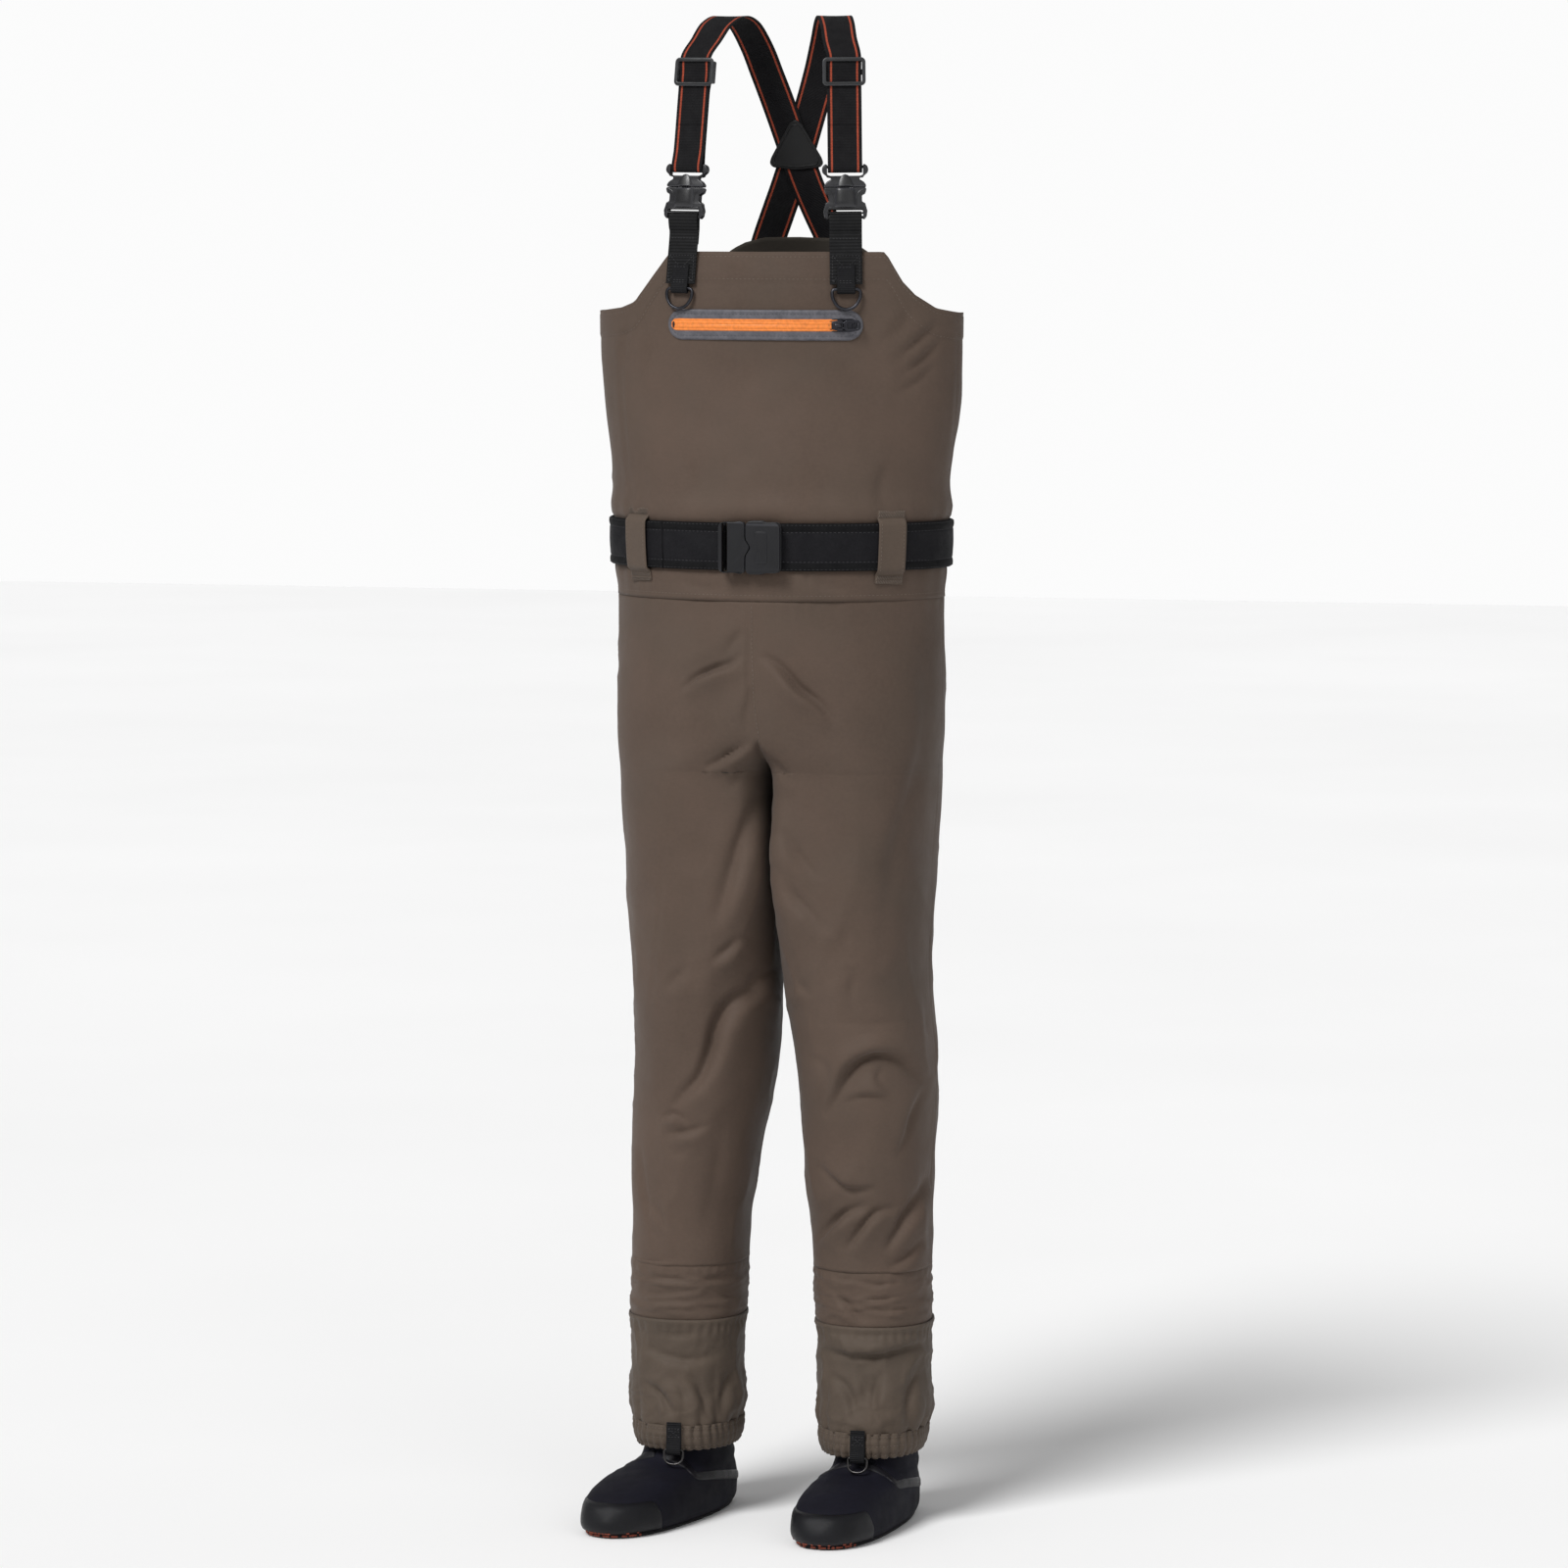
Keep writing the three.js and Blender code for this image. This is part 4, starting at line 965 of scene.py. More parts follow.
def stroke(q, pts, width, depth, kind="crease", lip=0.7, taper=0.5, curve=True):
    P = crom(pts, False, 5) if curve and len(pts) > 2 else np.asarray(pts, float)
    lo, hi = P.min(0) - width * 6, P.max(0) + width * 6
    near = ((q > lo) & (q < hi)).all(1)
    out = np.zeros(len(q))
    if not near.any():
        return out
    sd, t = along(P, q[near])
    ends = np.clip(np.minimum(t, 1 - t) / 0.42, 0, 1) ** 0.75 * (1 - 0.25 * t)
    ends = ends * np.where((t <= 0) | (t >= 1), np.exp(-((np.abs(sd) / width) ** 2)), 1)
    x = sd / width
    if kind == "crease":
        xr = np.maximum(x, 0)
        prof = -0.85 * np.exp(-(((x + 0.25) / 0.85) ** 2)) + 1.05 * lip * xr * 0.62 * np.exp(1 - xr * 0.62) - 0.22 * np.exp(-(((x + 2.4) / 2.2) ** 2))
    elif kind == "ridge":
        prof = np.exp(-(x**2))
    elif kind == "step":
        prof = -np.tanh(x) * np.exp(-((x / 3.5) ** 2))
    else:  # seam: a groove with two fine welts
        prof = -np.exp(-((x / 0.6) ** 2)) + 0.55 * np.exp(-(((np.abs(x) - 1.7) / 0.9) ** 2))
    out[near] = prof * ends * depth
    return out


TROUSER_FOLDS = [
    # hips and crotch
    ([(755.4, 668), (745, 678), (730, 682.6), (711, 692), (697, 706)], 4.6, 4.6, "crease", -0.9),
    ([(776, 669), (794.5, 680), (815, 703), (836, 719), (853, 741)], 5.0, 4.6, "crease", 0.9),
    ([(768, 756), (757.7, 762), (739, 774), (719, 785)], 3.6, 4.4, "crease", -0.9),
    ([(779, 757), (790, 781), (812, 803)], 5.0, 1.6, "crease", 0.7),
    ([(757, 640), (746, 656), (740, 668)], 7.0, 1.4, "crease", 0.6),
    ([(765, 700), (760, 730), (762, 750)], 5.0, 1.6, "crease", 0.5),
    ([(778, 808), (766, 838), (755, 868), (744, 905), (731, 946)], 11.0, 5.6, "crease", -0.7),
    ([(757, 776), (751, 794), (744, 806)], 5.0, 1.6, "crease", 0.6),
    ([(797, 846), (811, 872), (834, 899)], 6.5, 2.6, "crease", 0.8),
    ([(800, 905), (822, 929), (840, 953)], 6.5, 2.6, "crease", 0.8),
    ([(790, 880), (804, 905), (818, 938)], 8.0, 1.6, "crease", 0.5),
    ([(700, 640), (692, 700), (690, 780), (700, 860)], 24.0, 3.4, "ridge", 0),
    ([(880, 640), (872, 700), (868, 780), (862, 860)], 30.0, 3.4, "ridge", 0),
    ([(939, 650), (941, 760), (914, 852), (900, 944), (896, 1010)], 13.0, 1.8, "crease", 0.5),
    # left of the view: long folds of the thigh
    ([(792, 990), (773, 1000), (764.5, 1012), (751, 1020), (738, 1031), (727, 1049), (720, 1073), (709, 1099), (693, 1118), (682, 1132)], 8.8, 7.6, "crease", -0.75),
    ([(759, 955), (745, 967), (734, 975), (724, 985)], 5.5, 3.0, "crease", -0.7),
    ([(704, 986), (688, 999), (677, 1014)], 6.5, 1.8, "crease", -0.6),
    ([(735, 946), (722, 985), (712, 1030), (704, 1070)], 14.0, 5.0, "ridge", 0),
    ([(668, 806), (675, 845), (677, 880), (672, 944), (669, 963), (664, 1004), (655, 1050)], 2.6, 1.0, "seam", 0),
    ([(671, 1143), (682, 1137), (697, 1144)], 3.6, 3.0, "crease", 0.8),
    ([(677, 1157), (699, 1155), (720, 1147)], 4.2, 2.4, "crease", 0.8),
    ([(676, 1172), (690, 1177), (706, 1170)], 6.0, 0.7, "crease", 0.6),
    ([(649, 1165), (655, 1210), (663, 1250), (668, 1268)], 4.0, 1.6, "crease", 0.6),
    ([(662, 1225), (672, 1242), (681, 1260)], 4.0, 1.6, "crease", 0.6),
    ([(738, 1120), (730, 1180), (722, 1230), (716, 1268)], 14.0, 1.1, "crease", 0.6),
    ([(650, 1282), (664, 1288), (690, 1286)], 3.0, 1.2, "crease", 0.6),
    # right of the view: knee
    ([(835, 1140), (846, 1119), (855, 1098), (868, 1083), (888, 1075.5), (907, 1078.5), (922, 1090), (935, 1103)], 5.8, 5.4, "crease", -0.8),
    ([(897, 1086), (888, 1098), (895, 1110), (909, 1121)], 3.6, 1.7, "crease", 0.7),
    ([(852, 1126), (874, 1118), (903, 1120)], 4.0, 1.8, "crease", -0.8),
    ([(938, 1108), (927, 1135), (921, 1160), (912, 1182)], 6.0, 2.6, "crease", 0.7),
    ([(818, 1078), (834, 1088), (836, 1110), (826, 1136)], 7.5, 2.4, "crease", 0.4),
    ([(832, 1187), (849, 1203), (866, 1214), (893, 1212)], 5.0, 3.2, "crease", -0.7),
    ([(886, 1232), (864, 1238), (848, 1251), (834, 1267)], 5.6, 5.0, "crease", -0.8),
    ([(918, 1234), (895, 1238), (880, 1253), (864, 1278)], 5.2, 4.2, "crease", -0.8),
    ([(950, 1197), (936, 1226), (920, 1253), (903, 1280)], 6.6, 5.0, "crease", -0.7),
    ([(942, 1262), (925, 1284), (905, 1296)], 5.0, 2.6, "crease", -0.7),
    ([(868, 1060), (890, 1052), (915, 1056)], 10.0, 1.4, "crease", 0.5),
    ([(813, 1002), (823, 1019)], 5.0, 1.6, "crease", 0.6),
    ([(857, 987), (868, 994), (864, 1012), (869, 1033)], 5.0, 1.2, "crease", 0.6),
    ([(953, 985), (953, 1040), (955, 1100), (953, 1160), (949, 1210)], 2.4, 0.9, "seam", 0),
    ([(857, 946), (861, 968)], 6.0, 1.2, "crease", 0.5),
]
BIB_FOLDS = [
    ([(957, 328), (936, 346), (906, 372)], 5.5, 1.9, "crease", 0.8),
    ([(962, 345), (940, 366), (912, 388)], 5.5, 1.7, "crease", 0.8),
    ([(955, 372), (930, 392), (905, 404)], 6.5, 1.3, "crease", 0.7),
    ([(930, 312), (918, 330), (900, 348)], 5.0, 1.2, "crease", 0.7),
    ([(640, 330), (636, 352), (637, 380)], 3.6, 1.2, "crease", 0.6),
    ([(652, 322), (662, 352), (660, 384)], 6.0, 1.0, "crease", 0.6),
    ([(976, 322), (977, 370), (974, 430), (966, 500)], 2.6, 0.9, "seam", 0),
    ([(634, 330), (634, 400), (640, 470), (646, 510)], 2.6, 0.9, "seam", 0),
    ([(700, 470), (706, 495), (700, 520)], 8.0, 1.3, "crease", 0.6),
    ([(905, 470), (896, 500), (900, 522)], 8.0, 1.3, "crease", 0.6),
    ([(690, 590), (712, 600), (742, 603)], 5.0, 1.4, "crease", 0.7),
    ([(812, 588), (850, 600), (880, 602)], 6.0, 1.2, "crease", 0.7),
]


def folds(V, N, rows_):
    q = to_view(V)
    facing = smooth(((N @ BACK) - 0.02) / 0.25)
    # nothing on the far side of a leg, and only where the surface is in front
    d = np.zeros(len(V))
    for pts, width, depth, kind, lip in rows_:
        if kind == "crease":
            width, depth = width * 0.84, depth * 1.95
        d += stroke(q, pts, width, depth, kind, lip=lip if lip >= 0 else -lip) if lip >= 0 else stroke(q, pts[::-1], width, depth, kind, lip=-lip)
    return d * facing


def rear_folds(V, N, seed):
    """Soft folds that the front view doesn't reach, on the back and sides."""
    away = 1 - smooth(((N @ BACK) + 0.15) / 0.4)
    w = fbm(V, (70, 70, 160), seed, 3)
    ridged = 1 - np.abs(fbm(V + 40 * np.stack([w, w, w], -1), (90, 90, 55), seed + 3, 2))
    return away * (2.2 * w + 2.6 * (np.clip(ridged, 0, 1) ** 5 - 0.35))


def body_noise(V, seed):
    """Slack in the cloth, everywhere."""
    return 1.5 * fbm(V, (110, 110, 150), seed, 3) + 0.45 * fbm(V, (28, 28, 34), seed + 11, 2) + 0.16 * fbm(V, (9, 9, 11), seed + 23, 2)


# ------------------------------------------------------------------ bib
def edge_height(x, deg):
    k = np.abs(x)
    return np.where(deg < 0, np.interp(x, edge_f[:, 0], edge_f[:, 1]), np.interp(k, edge_b[:, 0], edge_b[:, 1]))


def hardware_frame(s):
    t = np.array([-9 * s, 30, 205.0])
    t /= np.linalg.norm(t)
    n = np.array([s * math.sin(math.radians(13.4)), -math.cos(math.radians(13.4)), 0])
    n -= t * (n @ t)
    n /= np.linalg.norm(n)
    M = np.eye(4)
    M[:3, 0], M[:3, 1], M[:3, 2], M[:3, 3] = np.cross(t, n), -n, t, (88 * s, -79.4, 1330)
    return M


HW = {k: hardware_frame(SIDE[k]) for k in SIDE}
SHEETS = []


def bib():
    C, R = 216, 92
    degs = np.linspace(-180, 180, C, endpoint=False)
    # the top edge's height over each column
    x_top = 195.9 * np.cos(np.radians(degs))
    top = edge_height(x_top, degs)
    v = np.linspace(0, 1, R)
    Z = WAIST_Z + (top[None, :] - WAIST_Z) * v[:, None]
    P = torso(Z, degs[None, :])
    V, F, U = grid(P, True)
    N = normals(V, F)
    x, y, z = V.T
    front = smooth(-y / 20.0)
    topz = np.tile(top, R)
    below = topz - z
    q = to_view(V)
    d = body_noise(V, 5) * 0.75
    d += rear_folds(V, N, 15) * smooth((below - 10) / 60)
    d += folds(V, N, BIB_FOLDS)
    # calm under the straps, pocket and edge
    calm = np.ones(len(V))
    for k in SIDE:
        M = HW[k]
        loc = (V - M[:3, 3]) @ M[:3, :3]
        calm *= 1 - bump(loc[:, 0], 0, 26) * smooth((loc[:, 2] + 50) / 20) * front
    calm *= 1 - front * bump(z, 1280, 26) * smooth((125 - np.abs(x)) / 20)
    d *= 0.25 + 0.75 * calm
    d -= 0.45 * (1 - calm)
    # the belt draws it in, and it gathers above and below
    ang = np.degrees(np.arctan2(y, x))
    gather = np.sin(np.radians(ang) * 46 + 3 * vnoise(V, (60, 60, 400), 3)) * (0.6 + 0.5 * vnoise(V, (45, 45, 300), 4))
    near = np.exp(-np.maximum(0, np.maximum(z - BELT_HI, BELT_LO - z)) / 20.0)
    inside = smooth((z - BELT_LO + 3) / 5) * smooth((BELT_HI + 3 - z) / 5)
    puff = bump(z, BELT_HI + 13, 13) * 2.6 + bump(z, BELT_LO - 12, 9) * 0.5
    d = d * (1 - inside) + puff * (1 - inside) + gather * near * (1 - inside) * 1.0 - inside * 1.6
    # the folded hem along the top edge, with its stitched line 28 mm down
    hem = smooth((30.5 - below) / 1.6)
    d += 0.75 * hem - 0.5 * bump(below, 30, 1.8)
    d -= 0.7 * bump(below, 3.2, 1.3) * 0.6
    # the lap over the trousers at the waist
    lap = z - WAIST_Z
    d += 0.35 * np.exp(-lap / 9.0) - 0.5 * bump(lap, 5.2, 1.6)
    d = d * smooth(below / 3.0 + 0.55)
    V2 = V + N * d[:, None]
    V2[:, 2] -= (1.6 * (0.5 + 0.5 * vnoise(V, (60, 60, 9e3), 9))) * np.exp(-below / 14.0)
    # side splits: front and back are separate panels
    colof = F[:, 0] % C
    is_front = colof < C // 2
    N2 = normals(V2, F)
    out = []
    for name, keep, node, flat in (("bib_front_cloth", is_front, "bib_front_panel", (0.46, 0.37)), ("bib_back_cloth", ~is_front, "bib_back_panel", (0.46, 0.38))):
        t = thicken(V2, N2, F[keep], U[keep], 1.7)
        ob = build(name, t[0], t[1], t[2], (SHELL, LINING, SHELL), t[3])
        finish_piece(ob, "garment", "shell", node)
        out.append(ob)
    # stitch lines along the hem and above the waist lap
    for nm, rows_at, mat in (("bib_hem_stitching", 29.0, THREAD), ("bib_edge_stitching", 5.5, THREAD)):
        s = Soup()
        Pd, Nd = V2.reshape(R, C, 3), N2.reshape(R, C, 3)
        zz = (topz - z).reshape(R, C)
        path, nn = [], []
        for j in list(range(C)) + [0]:
            i = np.argmin(np.abs(zz[:, j] - rows_at))
            i = min(max(i, 1), R - 2)
            col = zz[::-1, j]
            pz = [np.interp(rows_at, col, Pd[::-1, j, k]) for k in range(3)]
            path.append(pz)
            nn.append(Nd[i, j])
        st = stitches(path, nn, 3.0, 1.7, 0.3, 0.05)
        s.add(np.concatenate(st.v), st.f)
        ob = s.make(nm, mat)
        finish_piece(ob, "garment", "shell")
    st = Soup()
    for lift_z in (6.0,):
        Pd, Nd = V2.reshape(R, C, 3), N2.reshape(R, C, 3)
        path = [[np.interp(WAIST_Z + lift_z, Pd[:8, j, 2], Pd[:8, j, k]) for k in range(3)] for j in list(range(C)) + [0]]
        s1 = stitches(path, np.concatenate([Nd[1], Nd[1][:1]]), 3.0, 1.7, 0.3, 0.05)
        st.add(np.concatenate(s1.v), s1.f)
    finish_piece(st.make("waist_seam_stitching", THREAD), "garment", "shell")
    return V2.reshape(R, C, 3), N2.reshape(R, C, 3)


BIB_P, BIB_N = bib()


# ------------------------------------------------------------------ trousers
def trousers():
    deg = np.linspace(-180, 180, 1441)
    # the height where the inner side of the loop first touches the centre plane
    lo_, hi_ = CROTCH_LO, CROTCH_HI
    for _ in range(40):
        mid = (lo_ + hi_) / 2
        if soft_loop(mid, deg)[:, 0].min() > 0:
            lo_ = mid
        else:
            hi_ = mid
    touch = hi_
    zs = list(np.linspace(SHIN_TOP, touch, 168))
    zs += [touch + (46 * (k / 20) ** 2.2) for k in range(1, 21)]
    zs += list(np.linspace(zs[-1], WAIST_Z + 4, 50))[1:]
    C = 150
    rows_, touching = [], []
    for z in zs:
        loop = soft_loop(z, deg)
        if loop[:, 0].min() <= 1e-6:
            pos = np.where(loop[:, 0] > 0)[0]
            a, b = pos[0], pos[-1]
            head, tail = [], []
            if a > 0:
                k = loop[a, 0] / (loop[a, 0] - loop[a - 1, 0])
                head = [loop[a] + (loop[a - 1] - loop[a]) * k]
            if b < len(loop) - 1:
                k = loop[b, 0] / (loop[b, 0] - loop[b + 1, 0])
                tail = [loop[b] + (loop[b + 1] - loop[b]) * k]
            loop = np.array(head + list(loop[a : b + 1]) + tail)
            loop[0, 0] = loop[-1, 0] = 0.0
        p, _ = resample(loop, C + 1)
        rows_.append(np.concatenate([p, np.full((C + 1, 1), z)], 1))
    P = np.array(rows_)
    V, F, U = grid(P, False)
    n0 = len(V)
    Vm = V * [-1, 1, 1]
    Fm = F[:, ::-1]
    V, F, U = join((V, F, U), (Vm, Fm, U[:, ::-1] + [0.6, 0]))
    side = np.concatenate([np.ones(n0), -np.ones(n0)])
    key = np.round(V / 0.02).astype(np.int64)
    _, first, inv = np.unique(key, axis=0, return_index=True, return_inverse=True)
    inv = np.asarray(inv).reshape(-1)
    side = side[first]
    V, F = V[first], inv[F]
    side = np.where(np.abs(V[:, 0]) < 0.03, 0.0, side)
    N = normals(V, F)
    x, y, z = V.T
    d = body_noise(V, 41) * smooth((WAIST_Z + 2 - z) / 40)
    d += rear_folds(V, N, 61) * smooth((WAIST_Z - z) / 60) * smooth((z - SHIN_TOP) / 25)
    f = folds(V, N, TROUSER_FOLDS) * smooth((WAIST_Z - 2 - z) / 12)
    d += f
    # the slack legs break into shallow facets that meet in soft ridges
    w = fbm(V, (90, 90, 140), 301, 2)
    fac = 1 - 2.0 * np.abs(fbm(V + 30 * np.stack([w, -w, w], -1), (58, 58, 112), 311, 2))
    slack = smooth((820 - z) / 160) * smooth((z - 282) / 30)
    d += 2.3 * (np.clip(fac, 0, 1) ** 2.2 - 0.35) * slack + 1.5 * w * slack
    # centre seam of the front and back, and outseams, as sewn lines
    q = to_view(V)
    centre = stroke(q, [(763.5, 612), (763.6, 650), (764, 690), (768, 745), (773, 768)], 2.6, 1.9, "seam", taper=0.1)
    d += centre * smooth((N @ BACK) / 0.2) * smooth((z - 815) / 10)
    rear_centre = -np.exp(-((x / 1.6) ** 2)) * 0.9 + 0.5 * bump(np.abs(x), 4.5, 2.2)
    d += rear_centre * (y > 20) * smooth((z - 842) / 20)
    out_d = np.abs(y) + 400 * (np.abs(x) < 60)
    d += (-0.7 * np.exp(-((y / 1.5) ** 2)) + 0.4 * bump(np.abs(y), 4.2, 2.0)) * (np.abs(x) > leg_tab(z)[:, 0]) * smooth((N[:, 0] * np.sign(x) - 0.6) / 0.2)
    # small gathers under the waist seam
    ang = np.arctan2(y, x)
    g = np.sin(ang * 40 + 4 * vnoise(V, (70, 70, 500), 7)) * (0.5 + 0.5 * vnoise(V, (50, 50, 300), 8))
    d += 0.55 * g * np.exp(-np.maximum(0, WAIST_Z - z) / 14.0) * smooth((WAIST_Z + 1 - z) / 4)
    # lower edge lies under the shin band, top edge under the bib
    d += -1.2 * smooth((z - (WAIST_Z - 0.8)) / 1.6)
    d += (0.12 + 0.35 * vnoise(V, (16, 16, 50), 91)) * np.exp(-(z - SHIN_TOP) / 7.0) - 0.4 * bump(z, SHIN_TOP + 5, 1.6)
    # soft valley where the cloth falls into the crotch
    d -= 1.0 * bump(x, 0, 22) * bump(z, 826, 22) * smooth(-y / 40)
    V2 = V + N * d[:, None]
    V2 = relax(V2, F, 1, 0.8)
    V2[:, 0] += 7.0 * np.exp(-(((V[:, 2] - 492) / 92.0) ** 2)) * smooth((800 - V[:, 2]) / 120)
    apart = (side != 0) & (z < touch + 8) & (z > 640)
    V2[apart, 0] = np.where(side[apart] > 0, np.maximum(V2[apart, 0], 0.25), np.minimum(V2[apart, 0], -0.25))
    N2 = normals(V2, F)
    t = thicken(V2, N2, F, U, 1.7)
    ob = build("trousers_cloth", t[0], t[1], t[2], (SHELL, LINING, SHELL), t[3])
    finish_piece(ob, "garment", "shell", "trouser_front_r", "trouser_front_l", "trouser_back_r", "trouser_back_l")
    # thread line beside the centre seam
    sel = (np.abs(V2[:, 0]) < 60) & (V2[:, 1] < -60) & (z > 820)
    qs, Vs, Ns = to_view(V2[sel]), V2[sel], N2[sel]
    line = crom([(767.2, 618), (767.4, 650), (768, 690), (771, 730), (775, 757)], False, 12)
    path, nn = [], []
    for p in line:
        k = np.argsort(((qs - p) ** 2).sum(1))[:4]
        wgt = 1 / (1e-3 + ((qs[k] - p) ** 2).sum(1))
        path.append((Vs[k] * wgt[:, None]).sum(0) / wgt.sum())
        nn.append(Ns[k[0]])
    st = stitches(path, nn, 3.0, 1.7, 0.3, 0.25)
    s = Soup()
    s.add(np.concatenate(st.v), st.f)
    finish_piece(s.make("front_seam_stitching", THREAD), "garment", "shell")
    return V2, N2


TR_V, TR_N = trousers()


# ------------------------------------------------------------------ shin bands, guards, hems
SHIN_FOLDS = {
    "r": [
        ([(655, 1308), (680, 1305), (712, 1310)], 3.2, 1.3, "crease", 0.7), ([(652, 1318), (676, 1322), (716, 1318)], 3.0, 1.4, "crease", 0.7),
        ([(656, 1331), (690, 1328), (720, 1334)], 3.0, 1.2, "crease", 0.7), ([(700, 1300), (722, 1306), (748, 1302)], 3.4, 1.0, "crease", 0.7),
        ([(730, 1318), (745, 1326), (756, 1330)], 3.4, 1.0, "crease", 0.7),
    ],
    "l": [
        ([(850, 1318), (866, 1334), (882, 1352)], 3.6, 2.6, "crease", 0.8), ([(872, 1306), (896, 1312), (926, 1306)], 3.0, 1.6, "crease", 0.7),
        ([(868, 1322), (898, 1326), (932, 1320)], 3.0, 1.5, "crease", 0.7), ([(880, 1336), (906, 1338), (940, 1332)], 3.0, 1.4, "crease", 0.7),
        ([(844, 1300), (862, 1306), (880, 1300)], 3.4, 1.4, "crease", 0.7),
    ],
}
GUARD_FOLDS = {
    "r": [
        ([(652, 1372), (676, 1384), (706, 1390), (742, 1380)], 6.0, 2.4, "crease", 0.7), ([(655, 1408), (676, 1424), (690, 1446)], 6.0, 3.0, "crease", -0.8),
        ([(700, 1400), (716, 1424), (722, 1450)], 6.5, 2.8, "crease", 0.8), ([(752, 1396), (742, 1420), (738, 1446)], 6.0, 2.6, "crease", -0.8),
        ([(668, 1360), (690, 1364), (722, 1360)], 3.4, 1.2, "crease", 0.7), ([(682, 1404), (694, 1416), (700, 1436)], 5.0, 1.6, "crease", 0.6),
    ],
    "l": [
        ([(838, 1376), (856, 1381), (876, 1384), (906, 1381), (948, 1369)], 4.6, 4.4, "crease", -0.8), ([(846, 1404), (864, 1420), (872, 1452)], 6.0, 3.0, "crease", 0.8),
        ([(900, 1400), (893, 1426), (896, 1456)], 6.5, 3.2, "crease", -0.8), ([(944, 1396), (930, 1420), (924, 1456)], 6.0, 3.0, "crease", -0.8),
        ([(862, 1360), (885, 1366), (915, 1362)], 3.4, 1.8, "crease", 0.7), ([(870, 1398), (880, 1412), (884, 1436)], 5.0, 1.8, "crease", 0.6),
    ],
}


def leg_grid(k, zs, C, grow=0.0, inset=None):
    s = SIDE[k]
    deg = np.linspace(-180, 180, C, endpoint=False)
    P = np.array([np.concatenate([leg_loop(z, deg), np.full((C, 1), z)], 1) for z in zs])
    if s < 0:
        P = (P * [-1, 1, 1])[:, ::-1]
    V, F, U = grid(P, True)
    N = normals(V, F)
    c = leg_tab(V[:, 2])[:, 0] * s
    ang = np.arctan2(V[:, 1], (V[:, 0] - c))
    return V + N * grow, F, U, N, ang


